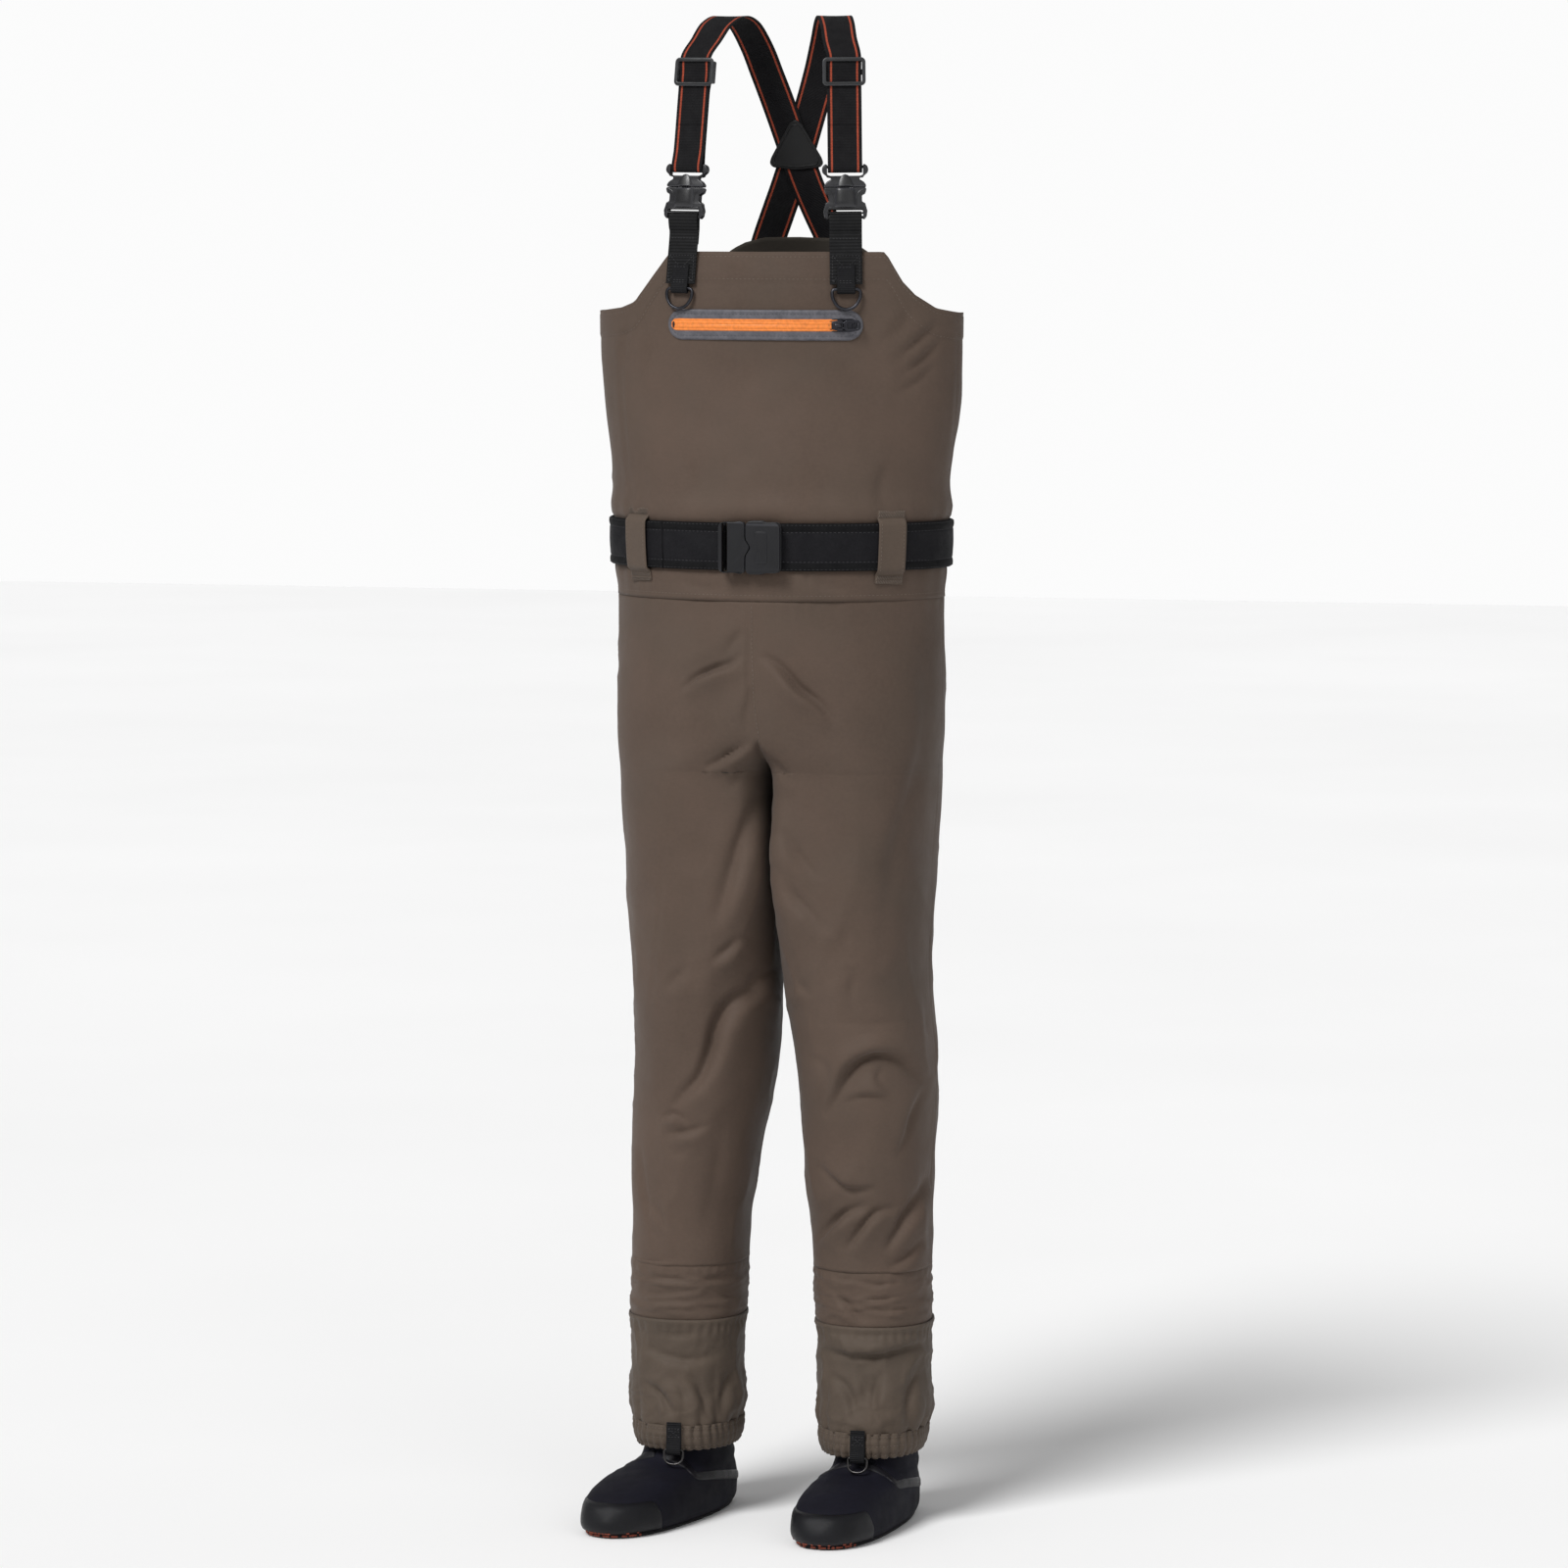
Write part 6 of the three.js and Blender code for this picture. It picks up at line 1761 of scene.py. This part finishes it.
def dome(x, z0, z1, w, y, hgt, v0=0.0, v1=1.0, cols=18, rows_=16, power=0.62):
    """A tongue-shaped swelling on a face: wide at z0, pointed and low at z1; closed at the back, y is the face."""
    G = []
    for i in range(rows_ + 1):
        f = i / rows_
        v = v0 + (v1 - v0) * f
        ww = w * math.sqrt(max(0.0, 1 - v**1.9)) * (1 - 0.12 * (1 - v)) + 0.05
        hh = hgt * (1 - v**2.2) ** 0.8 * smooth(0.55 + v * 3) * smooth(0.6 + f * 8) * smooth(0.6 + (1 - f) * 8) + 0.02
        line = []
        for j in range(cols + 1):
            u = -1 + 2 * j / cols
            line.append((x + ww * u, y - float(hh) * (1 - abs(u) ** 2.4) ** power, z0 + (z1 - z0) * f))
        G.append(line)
    G = np.array(G)
    V, F, U = grid(G, False)
    n = len(V)
    # flat back
    Vb = V.copy()
    Vb[:, 1] = y + 0.6
    Fb = F[:, ::-1] + n
    R, C = rows_ + 1, cols + 1
    rim = []
    ring = [j for j in range(C)] + [i * C + C - 1 for i in range(1, R)] + [(R - 1) * C + j for j in range(C - 2, -1, -1)] + [i * C for i in range(R - 2, 0, -1)]
    for a, b in zip(ring, ring[1:] + ring[:1]):
        rim.append([b, a, a + n, b + n])
    return np.concatenate([V, Vb]), F.tolist() + Fb.tolist() + rim


def braces():
    for k, s in SIDE.items():
        M = HW[k]
        # anchor webbing sewn to the bib, folded through the clip
        hw_band(M, [(-3.5, -8), (-3.5, 18), (-3.5, 44), (-6.2, 51), (-8.6, 58), (-8.7, 64), (-6, 67.6), (-3.4, 64.6), (-3.1, 58), (-2.0, 50), (-1.9, 42), (-1.9, 34)], 34, 1.45, "anchor_webbing_" + k, RIBBED, "webbing", ["brace_anchor_" + k], rib=0.26, pitch=3.4, step=0.85, cols=18)
        face = lambda z: -4.55 if z < 44 else -4.55 - (z - 44) * 0.3
        w = 14.2
        hw_stitches(M, [[(-w, -5.5), (w, -5.5), (w, 22), (-w, 22), (-w, -5.5)], [(-w, -5.5), (w, 22)], [(w, -5.5), (-w, 22)], [(-w, -3.6), (w, -3.6)], [(-w, 40), (w, 40)]], face, "anchor_stitching_" + k, THREAD_K)
        hw_band(M, [(-5.45, 12), (-5.45, 2), (-5.6, -7), (-6.4, -12.2), (-5.6, -16.2), (-3.8, -17.5), (-2.0, -16.0), (-0.95, -13), (-0.9, -9.5)], 19, 1.3, "dring_tab_webbing_" + k, TABWEB, "webbing", ["dring_tab_" + k], rib=0.14, pitch=2.0, step=0.7, cols=12)
        hw_stitches(M, [[(-7.6, -4.5), (7.6, -4.5)], [(-7.6, -6.8), (7.6, -6.8)], [(-7.6, 9.5), (7.6, 9.5)]], -6.35, "dring_tab_stitching_" + k, THREAD_K)
        # D-ring
        ring = [(-10.4, -13), (-5, -12.95), (5, -12.95), (10.4, -13), (13.4, -13.9), (14.8, -17), (13.6, -24.0), (8.6, -31.2), (0, -34.2), (-8.6, -31.2), (-13.6, -24.0), (-14.8, -17), (-13.4, -13.9)]
        d = Soup()
        d.add(*tube([(x, -3.8, z) for x, z in ring], 1.75, (0, 1, 0), 14, True, 7), M=M)
        finish_piece(d.make("dring_metal_" + k, GUNMETAL), "dring_" + k, "hook", "dring_" + k)

        # clip, female half
        c, y0, y1 = 60.0, -10.0, -2.0
        up = lambda pts: [(x, z + c) for x, z in pts]
        f = Soup()
        out = rounded(up([(-20, 0), (20, 0), (22.6, 3), (23, 8.5), (21.2, 14.5), (21.0, 27), (22.2, 31.5), (20.8, 33), (9, 33), (0, 31.4), (-9, 33), (-20.8, 33), (-22.2, 31.5), (-21.0, 27), (-21.2, 14.5), (-23, 8.5), (-22.6, 3)]), 1.6, 4)
        slot = rounded(up([(-18.2, 4), (18.2, 4), (18.2, 10), (-18.2, 10)]), 1.6, 4)
        low = rounded(up([(-20, 3.6), (20, 3.6), (22.6, 4.4), (23, 8.5), (21.2, 14.5), (-21.2, 14.5), (-23, 8.5), (-22.6, 4.4)]), 1.4, 4)
        # the two shells and the closed foot between them
        shell_out = rounded(up([(-22.6, 6), (22.6, 6), (23, 8.5), (21.2, 14.5), (20.9, 16.4), (17.4, 18.2), (17.4, 25.4), (20.9, 27.2), (22.2, 31.5), (20.8, 33), (9, 33), (0, 31.4), (-9, 33), (-20.8, 33), (-22.2, 31.5), (-20.9, 27.2), (-17.4, 25.4), (-17.4, 18.2), (-20.9, 16.4), (-21.2, 14.5), (-23, 8.5)]), 1.2, 4)
        slot2 = rounded(up([(-18.2, 6.9), (18.2, 6.9), (18.2, 10), (-18.2, 10)]), 1.0, 4)
        f.add(*plate(shell_out, [slot2], y0, y0 + 1.75, 0.8), M=M)
        f.add(*plate(shell_out, [slot2], y1 - 1.75, y1, 0.7), M=M)
        foot = rounded(up([(-22.2, 6.2), (-18.4, 6.2), (-18.4, 10.2), (18.4, 10.2), (18.4, 6.2), (22.2, 6.2), (22.4, 8.5), (20.8, 14.2), (17, 14.9), (-17, 14.9), (-20.8, 14.2), (-22.4, 8.5)]), 0.7, 3)
        f.add(*plate(foot, [], y0 + 1.6, y1 - 1.6, 0.2), M=M)
        for q in (-1, 1):
            post = up([(q * 17.7, 27.6), (q * 20.6, 27.6), (q * 21.6, 31.4), (q * 20.6, 32.7), (q * 17.7, 32.7)])
            f.add(*plate(rounded(post[::q], 0.5, 3), [], y0 + 1.6, y1 - 1.6, 0.2), M=M)
            # legs of the lower frame round the anchor's fold
            leg = up([(q * 18.4, 0.3), (q * 19.8, 0.1), (q * 22.3, 3), (q * 22.7, 7.5), (q * 18.4, 7.5)])
            f.add(*plate(rounded(leg[::q], 1.0, 3), [], y0 + 0.2, y1 - 0.2, 0.8), M=M)
        # bottom bar that the webbing turns round
        f.add(*tube([(-19.5, -6, c + 2.1), (0, -6, c + 2.1), (19.5, -6, c + 2.1)], 1.55, (0, 1, 0), 12, False, 3), M=M)
        # tongue-shaped swelling and a lip along the top
        f.add(*dome(0, c + 12.2, c + 32.4, 12.6, y0 + 0.15, 4.2, 0.0, 0.58), M=M)
        f.add(*tube([(-17.2, y0 + 0.5, c + 11.8), (0, y0 + 0.2, c + 11.2), (17.2, y0 + 0.5, c + 11.8)], 0.7, (0, 1, 0), 8, False, 4), M=M)
        for q in (-1, 1):
            f.add(*tube([(q * 20.2, y0 + 0.5, c + 31.6), (q * 14.5, y0 + 0.2, c + 28.5), (q * 12.3, y0 + 0.3, c + 22), (q * 12.2, y0 + 0.5, c + 15)], 0.55, (0, 1, 0), 8, False, 4), M=M)
        finish_piece(f.make("clip_socket_" + k, ACETAL), "garment", "buckle", "clip_female_" + k)

        # clip, male half: ears, slot and bar, shoulders, guide and prongs
        m = Soup()
        out = rounded(up([(-21.4, 33.5), (21.4, 33.5), (22.0, 35.6), (19.4, 39.2), (15.0, 41.6), (15.0, 43.6), (19.2, 45.4), (23.6, 49), (24.4, 52), (23.2, 56), (20.2, 57.9), (18.8, 57.2), (18.7, 45.4), (-18.7, 45.4), (-18.8, 57.2), (-20.2, 57.9), (-23.2, 56), (-24.4, 52), (-23.6, 49), (-19.2, 45.4), (-15.0, 43.6), (-15.0, 41.6), (-19.4, 39.2), (-22.0, 35.6)]), 1.5, 4)
        m.add(*plate(out, [], y0 + 0.2, y1 - 0.2, 1.2), M=M)
        m.add(*tube([(-20.5, -6, c + 55.0), (0, -6, c + 55.6), (20.5, -6, c + 55.0)], 1.6, (0, 1, 0), 12, False, 4), M=M)
        # raised saddle on the shoulders
        m.add(*dome(0, c + 33.9, c + 47.0, 12.6, y0 + 0.35, 4.2, 0.62, 1.0), M=M)
        m.add(*plate(rounded(up([(-4.8, 34.5), (-4.4, 15), (-2.6, 13.2), (2.6, 13.2), (4.4, 15), (4.8, 34.5)][::-1]), 1.0, 3), [], -7.9, -4.1, 0.6), M=M)
        for q in (-1, 1):
            arm = up([(q * 10.2, 34.5), (q * 14.8, 34.5), (q * 14.6, 25.6), (q * 17.1, 24.6), (q * 17.1, 20.5), (q * 15.2, 16.4), (q * 12.6, 16.0), (q * 11.0, 19), (q * 10.6, 28)])
            m.add(*plate(rounded(arm[:: -q], 0.9, 3), [], -7.9, -4.1, 0.6), M=M)
            for i in range(3):
                m.add(*blob((q * 17.0, -6, c + 19.0 + i * 2.0), (0.55, 0, 0), (0, 1.7, 0), (0, 0, 0.5), 5, 8), M=M)
        finish_piece(m.make("clip_tongue_" + k, ACETAL), "clip_male_" + k, "buckle", "clip_male_" + k)

        # webbing through the clip and the slider
        p156, p120 = xform(M, [0, -6, 157]), xform(M, [0, -6, 121])
        hw_band(M, [(-6.2, 158.5), (-6.3, 146), (-6.6, 132), (-8.2, 122), (-9.0, 116), (-8.3, 111.4), (-6, 109.5), (-3.7, 111.4), (-3.1, 116), (-3.4, 122), (-3.9, 132), (-4.0, 146), (-4.0, 158.5)], 36, 1.4, "brace_loop_webbing_" + k, ELASTIC, "strap", ["brace_loop_" + k], blend=("garment", "clip_male_" + k, row(*p156), row(*p120)), step=1.4, cols=36)
        p160, p205 = xform(M, [0, -4, 160]), xform(M, [0, -3, 205])
        hw_band(M, [(-4.0, 158.5), (-4.0, 176), (-4.0, 194), (-2.9, 200), (-2.2, 206), (-2.2, 219)], 36, 1.4, "brace_return_webbing_" + k, ELASTIC, "strap", ["brace_return_" + k], blend=("garment", "brace_slider_" + k, row(*p160), row(*p205)), step=2.2, cols=36)
        # slider
        sl = Soup()
        out = rounded([(-19.5, 200), (19.5, 200), (22.5, 203), (22.5, 227), (19.5, 230), (-19.5, 230), (-22.5, 227), (-22.5, 203)], 2.4, 4)
        win = rounded([(-18.6, 204.2), (18.6, 204.2), (18.6, 225.8), (-18.6, 225.8)], 1.6, 4)
        sl.add(*plate(out, [win], -10.2, -7.5, 1.1), M=M)
        for q in (-1, 1):
            side_ = rounded([(q * 18.8, 203), (q * 22.3, 203.5), (q * 22.3, 226.5), (q * 18.8, 227)][::q], 1.2, 4)
            sl.add(*plate(side_, [], -7.7, -1.3, 0.9), M=M)
        sl.add(*plate(rounded([(-20, 212), (20, 212), (20, 218), (-20, 218)], 1.0, 3), [], -5.1, -3.3, 0.8), M=M)
        finish_piece(sl.make("brace_slider_frame_" + k, SLIDER), "brace_slider_" + k, "buckle", "brace_slider_" + k)

        # elastic over the shoulder, crossed behind and sewn inside the back
        at = lambda y, z: xform(M, [0, y, z])
        pts = [at(-6.2, 158.5), at(-6.2, 177), at(-6.2, 196), at(-6.1, 214), at(-6.2, 232)]
        free = [[72, -38, 1577], [65, -19, 1594], [56, 6, 1602], [47, 30, 1594], [38, 49, 1571], [28, 61, 1540], [15.5, 69, 1503], [2, 75, 1462], [-11, 79, 1425], [-23, 84.5, 1395], [-35, 91.5, 1366], [-46, 96.2, 1334]]
        for i, (x, y, z) in enumerate(free):
            pts.append(np.array([s * x, y + s * 1.25 * float(smooth((i - 3) / 4)), z]))
        idx = [0, 0.5, 1, 1.5, 2] + list(range(3, 3 + len(free)))
        wd = [M[:3, 0] * (1 - float(smooth((i - 2) / 3))) + np.array([1.0, 0, 0]) * float(smooth((i - 2) / 3)) for i in idx]
        V, F, U = ribbon(pts, wd, 36, 1.4, step=2.4, cols=40, sub=10)
        V = V + 0.12 * fbm(V, (26, 26, 26), 400, 2)[:, None]
        ob = mesh_from_lists("brace_elastic_" + k, V, F, ELASTIC, uvs=U)
        finish_piece(ob, "garment", "strap", "brace_strap_" + k)
        # box stitch where the elastic is sewn to the back panel
        P = crom(pts, False, 10)
        T = tangents(P)
        Wn = crom(wd, False, 10)
        Wn = unit(Wn - T * (Wn * T).sum(1)[:, None])
        Nn = np.cross(T, Wn)
        sgn = 1.0 if (Nn[-3] @ np.array([0, 1, 0])) > 0 else -1.0
        endz = P[:, 2] < 1356
        Pe, We, Ne = P[endz], Wn[endz], Nn[endz] * sgn
        bs = Soup()
        if len(Pe) > 3:
            Pe, We, Ne = Pe[1:-1], We[1:-1], Ne[1:-1]
            lines = [Pe + We * 15, Pe - We * 15, np.array([Pe[0] - We[0] * 15, Pe[0] + We[0] * 15]), np.array([Pe[-1] - We[-1] * 15, Pe[-1] + We[-1] * 15]), np.array([Pe[0] - We[0] * 15, Pe[-1] + We[-1] * 15]), np.array([Pe[0] + We[0] * 15, Pe[-1] - We[-1] * 15])]
            for ln in lines:
                s1 = stitches(ln + Ne[0] * 0.75, Ne[0], 2.6, 1.2, 0.36, 0.1)
                if s1.v:
                    bs.add(np.concatenate(s1.v), s1.f)
            finish_piece(bs.make("brace_end_stitching_" + k, THREAD_K), "garment", "strap")

    # triangular patch over the crossing
    M = eye((0, 70.0, 1467), 0.0, math.radians(7.5))
    outline = [(-26, -24), (0, -27), (26, -24), (29.5, -20), (28, -14), (6, 24), (0, 27.5), (-6, 24), (-28, -14), (-29.5, -20)]
    p = Soup()
    p.add(*plate(rounded(outline, 3.0, 5), [], -0.2, 1.7, 0.8), M=M)
    inner = [(x * 0.84, z * 0.84 - 0.6) for x, z in outline]
    ring = [(x, -0.25, z) for x, z in rounded(inner, 3.0, 3)]
    p.add(*tube(ring, 0.55, (0, 1, 0), 8, True, 1), M=M)
    p.add(*tube([(x, 1.75, z) for x, z in rounded(inner, 3.0, 3)], 0.55, (0, 1, 0), 8, True, 1), M=M)
    finish_piece(p.make("cross_patch_moulding", PATCH), "garment", "patch", "cross_patch")


braces()


# ------------------------------------------------------------------ chest pocket
def arc_point(r, x, z):
    """x is the chord position at radius 385."""
    a = np.arcsin(np.asarray(x, float) / 385.0)
    return np.stack(np.broadcast_arrays(r * np.sin(a), 292 - r * np.cos(a), np.asarray(z, float)), -1)


def arc_normal(x):
    a = np.arcsin(np.asarray(x, float) / 385.0)
    return np.stack(np.broadcast_arrays(np.sin(a), -np.cos(a), 0.0 * a), -1)


def pill(x0, x1, zc, hh, r_of, n=150, m=18, thick=1.2):
    """A slab with fully rounded ends along the chest arc; r_of(e) is the outer radius with e the distance to the edge."""
    t = np.linspace(0, 1, n + 1)
    # columns packed into the round ends
    e0, e1 = x0 + hh, x1 - hh
    xs = np.concatenate([x0 + hh * (1 - np.cos(np.linspace(0.02, np.pi / 2, 16))), np.linspace(e0, e1, n)[1:-1], x1 - hh * (1 - np.cos(np.linspace(np.pi / 2, 0.02, 16)))])
    half = np.where(xs < e0, np.sqrt(np.maximum(0, hh**2 - (e0 - xs) ** 2)), np.where(xs > e1, np.sqrt(np.maximum(0, hh**2 - (xs - e1) ** 2)), hh))
    vs = np.sin(np.linspace(-np.pi / 2, np.pi / 2, m + 1)) if m < 30 else np.linspace(-1, 1, m + 1)
    X = np.broadcast_to(xs[None, :], (m + 1, len(xs)))
    Z = zc + vs[:, None] * half[None, :]
    # distance to the outline
    ez = half[None, :] - np.abs(Z - zc)
    cx = np.clip(X, e0, e1)
    e = hh - np.hypot(X - cx, Z - zc)
    P = arc_point(r_of(np.maximum(e, 0), Z - zc), X, Z)
    V, F, U = grid(P, False)
    N = normals(V, F)
    Vb = arc_point(385.2, X, Z).reshape(-1, 3)
    n_ = len(V)
    A, B = F[:, [0, 1, 2, 3]].ravel(), F[:, [1, 2, 3, 0]].ravel()
    code, back = A.astype(np.int64) * (n_ + 1) + B, B.astype(np.int64) * (n_ + 1) + A
    edge = ~np.isin(code, back)
    a, b = A[edge], B[edge]
    faces = F.tolist() + (F[:, ::-1] + n_).tolist() + np.stack([b, a, a + n_, b + n_], -1).tolist()
    return np.concatenate([V, Vb]), faces


def pocket():
    # laminated surround with a pressed rim
    def r_of(e, v):
        return 385.75 + 1.35 * smooth(e / 1.0) + 0.35 * bump(e, 2.6, 1.1) - 0.25 * bump(e, 4.6, 0.8) + 0.75 * bump(e, 8.2, 1.0)

    V, F = pill(-103, 106, 1280, 16, r_of)
    V[: len(V) // 2] += 0.12 * fbm(V[: len(V) // 2], (18, 18, 12), 500, 2)[:, None]
    ob = mesh_from_lists("pocket_surround_laminate", V, F, LAMINATE, auto=60)
    finish_piece(ob, "garment", "pocket", "pocket_surround")
    # thread round the rim
    t = []
    hh, e0, e1 = 16 - 4.6, -103 + 16, 106 - 16
    for x in np.linspace(e0, e1, 60):
        t.append((x, 1280 - hh))
    for a in np.linspace(-90, 90, 14)[1:]:
        t.append((e1 + hh * math.cos(math.radians(a)), 1280 + hh * math.sin(math.radians(a))))
    for x in np.linspace(e1, e0, 60)[1:]:
        t.append((x, 1280 + hh))
    for a in np.linspace(90, 270, 14)[1:]:
        t.append((e0 + hh * math.cos(math.radians(a)), 1280 + hh * math.sin(math.radians(a))))
    t = np.array(t)
    P = arc_point(386.95, t[:, 0], t[:, 1])
    st = stitches(P, arc_normal(t[:, 0]), 2.6, 1.3, 0.3, 0.1)
    finish_piece(st.make("pocket_stitching", THREAD_K), "garment", "pocket")
    # zip: tape with rounded ends, two rows of teeth and the centre line
    def r_tape(e, v):
        v = np.abs(v)
        return 387.25 + 0.8 * smooth(e / 0.8) + 0.4 * bump(v, 2.0, 1.3) - 0.75 * bump(v, 0.0, 0.34) - 0.35 * bump(v, 4.1, 0.35)

    V, F = pill(-98.5, 84.5, 1280, 6.4, r_tape, n=170, m=44)
    ob = mesh_from_lists("zip_tape_orange", V, F, ZIP_TAPE, auto=60)
    garage = Soup()
    # the dark end piece that the slider parks in
    V, F = pill(70.0, 100.5, 1280, 7.2, lambda e, v: 387.25 + 0.75 * smooth(e / 0.9) - 0.5 * smooth((e - 2.2) / 0.8), n=30, m=20)
    garage.add(V, F)
    finish_piece(garage.make("zip_garage", GUNMETAL), "garment", "zip")
    core = Soup()
    P = arc_point(387.75, np.linspace(-95, 80, 110), 1280.0)
    core.add(*tube(P, 0.42, (0, 0, 1), 7, False, 1))
    zc = core.make("zip_core_orange", ZIP_TEETH)
    finish_piece(ob, "garment", "zip", "zip_coil")
    finish_piece(zc, "garment", "zip")
    stops = Soup()
    for x in (-95.5, 96.0):
        n = arc_normal(x)
        tx = np.array([-n[1], n[0], 0.0])
        stops.add(*blob(arc_point(388.4, x, 1280), tx * 1.3, n * 0.9, np.array([0, 0, 3.4]), 8, 12, power=0.6))
    finish_piece(stops.make("zip_stops", GUNMETAL), "garment", "zip")
    # slider and pull
    deg = math.asin(80 / 385.0)
    M = eye((0, 292, 1280), deg) @ eye((0, -389.6, 0))
    b = Soup()
    b.add(*plate(rounded([(-6.2, -4.0), (-2, -5.0), (4, -5.8), (6.2, -4.4), (6.2, 4.4), (4, 5.8), (-2, 5.0), (-6.2, 4.0)], 1.2, 4), [], -2.5, -0.1, 0.7), M=M)
    b.add(*plate(rounded([(-4.6, -2.6), (4.4, -3.4), (4.4, 3.4), (-4.6, 2.6)], 1.2, 4), [], -3.1, -2.2, 0.4), M=M)
    b.add(*tube([(-2.7, -2.2, 0), (-2.7, -4.4, 0), (-1.6, -5.35, 0), (2.8, -5.35, 0), (3.8, -4.4, 0), (3.8, -2.2, 0)], 0.72, (0, 0, 1), 10, False, 5, flat=2.2), M=M)
    finish_piece(b.make("zip_slider_body", GUNMETAL), "zip_slider", "hook", "zip_slider")
    p = Soup()
    out = rounded([(0.1, -3.0), (6.6, -3.0), (9, -5.4), (21.8, -5.6), (24.6, -3.2), (24.6, 3.2), (21.8, 5.6), (9, 5.4), (6.6, 3.0), (0.1, 3.0)], [0.5, 1.5, 2, 3, 2.5, 2.5, 3, 2, 1.5, 0.5], 4)
    h1 = rounded([(1.2, -2.05), (6.4, -2.05), (6.4, 2.05), (1.2, 2.05)], 0.4, 3)
    h2 = rounded([(10.2, -3.4), (22, -3.4), (22, 3.4), (10.2, 3.4)], 2.2, 4)
    p.add(*plate(out, [h1, h2], -4.5, -2.8, 0.6), M=M)
    finish_piece(p.make("zip_pull_ring", GUNMETAL), "zip_pull", "hook", "zip_pull")


pocket()


# ------------------------------------------------------------------ lace hooks
def hooks():
    for k, s in SIDE.items():
        M = eye((s * 100.5, -71.4, 90))
        hw_band(M, [(-2.6, 18), (-2.3, 8), (-2.05, -2), (-2.0, -11), (-2.6, -14.8), (-4.1, -16.4), (-5.7, -14.9), (-6.4, -11.5), (-6.1, -8), (-4.9, -3), (-4.1, 5), (-3.9, 14)], 16, 1.15, "hook_tab_webbing_" + k, TABWEB, "webbing", ["hook_tab_" + k], rib=0.12, pitch=2.0, step=0.7, cols=12)
        hw_stitches(M, [[(-6.4, 11.5), (6.4, 11.5)], [(-6.4, 8.6), (6.4, 8.6)], [(-6.4, 11.5), (6.4, 2.5)], [(6.4, 11.5), (-6.4, 2.5)], [(-6.4, 2.5), (6.4, 2.5)]], lambda z: -4.55 - 0.02 * (14 - z), "hook_tab_stitching_" + k, THREAD_K)
        yb, zb = -4.0, -11.2
        pts = [(-7, yb, zb), (-3, yb, zb), (3, yb, zb), (7, yb, zb), (9.8, yb, zb - 1.2), (10.2, yb, zb - 6), (9.2, yb - 1.4, zb - 11), (5.2, yb - 2.6, zb - 14.4), (0, yb - 3.0, zb - 15.2), (-5.2, yb - 2.6, zb - 14.4), (-9.2, yb - 1.4, zb - 11), (-10.2, yb, zb - 6), (-9.8, yb, zb - 1.2)]
        w = Soup()
        w.add(*tube(pts, 1.25, (0, 1, 0), 12, True, 7), M=M)
        finish_piece(w.make("lace_hook_wire_" + k, NICKEL), "lace_hook_" + k, "hook", "lace_hook_" + k)


hooks()


# ------------------------------------------------------------------ floor, light
def floor():
    n = 60
    xs = np.linspace(-14000, 14000, n)
    X, Y = np.meshgrid(xs, xs)
    P = np.stack([X, Y, np.zeros_like(X)], -1)
    V, F, U = grid(P[:, :], False)
    m = Mat("floor_paint")
    m.color(m.mix(m.span(m.noise(0.6, 3), 0.3, 0.7, 0, 1), lin((243, 243, 243)), lin((247, 247, 247))))
    m.rough(0.9)
    m.set(Specular_IOR_Level=0.1)
    me = bpy.data.meshes.new("floor")
    me.from_pydata((V * MM).tolist(), [], F.tolist())
    me.materials.append(m.m)
    ob = bpy.data.objects.new("floor", me)
    scene.collection.objects.link(ob)


floor()


def area_light(name, at, aim, size, power, color=(1, 1, 1)):
    l = bpy.data.lights.new(name, "AREA")
    l.shape, l.size, l.size_y, l.energy, l.color = "RECTANGLE", size[0], size[1], power, color
    ob = bpy.data.objects.new(name, l)
    ob.location = at
    ob.rotation_mode = "QUATERNION"
    ob.rotation_quaternion = (Vector(aim) - Vector(at)).to_track_quat("-Z", "Y")
    scene.collection.objects.link(ob)
    return ob


world = bpy.data.worlds.new("studio")
scene.world = world
world.use_nodes = True
wt = world.node_tree
bg = wt.nodes["Background"]
bg.inputs[0].default_value = (1, 1, 1, 1)
# a white backdrop behind the garment, and a dimmer room elsewhere
wc = wt.nodes.new("ShaderNodeTexCoord")
wd = wt.nodes.new("ShaderNodeVectorMath")
wd.operation = "DOT_PRODUCT"
wd.inputs[1].default_value = tuple(-BACK)
wr = wt.nodes.new("ShaderNodeMapRange")
for i, x in enumerate((0.80, 0.97, 0.36, 0.97)):
    wr.inputs[i + 1].default_value = x
wt.links.new(wc.outputs["Generated"], wd.inputs[0])
wt.links.new(wd.outputs["Value"], wr.inputs[0])
wt.links.new(wr.outputs[0], bg.inputs[1])


def sun(name, azimuth, elevation, power, angle):
    """azimuth is measured from the camera's side towards the viewer's left, in degrees."""
    l = bpy.data.lights.new(name, "SUN")
    l.energy, l.angle = power, math.radians(angle)
    ob = bpy.data.objects.new(name, l)
    a, e = math.radians(-90 + 13 - azimuth), math.radians(elevation)
    ob.rotation_mode = "QUATERNION"
    ob.rotation_quaternion = Vector((math.cos(a) * math.cos(e), math.sin(a) * math.cos(e), math.sin(e))).to_track_quat("Z", "Y")
    scene.collection.objects.link(ob)


sun("key", 38, 46, 2.7, 24)
sun("fill", -30, 20, 0.35, 50)
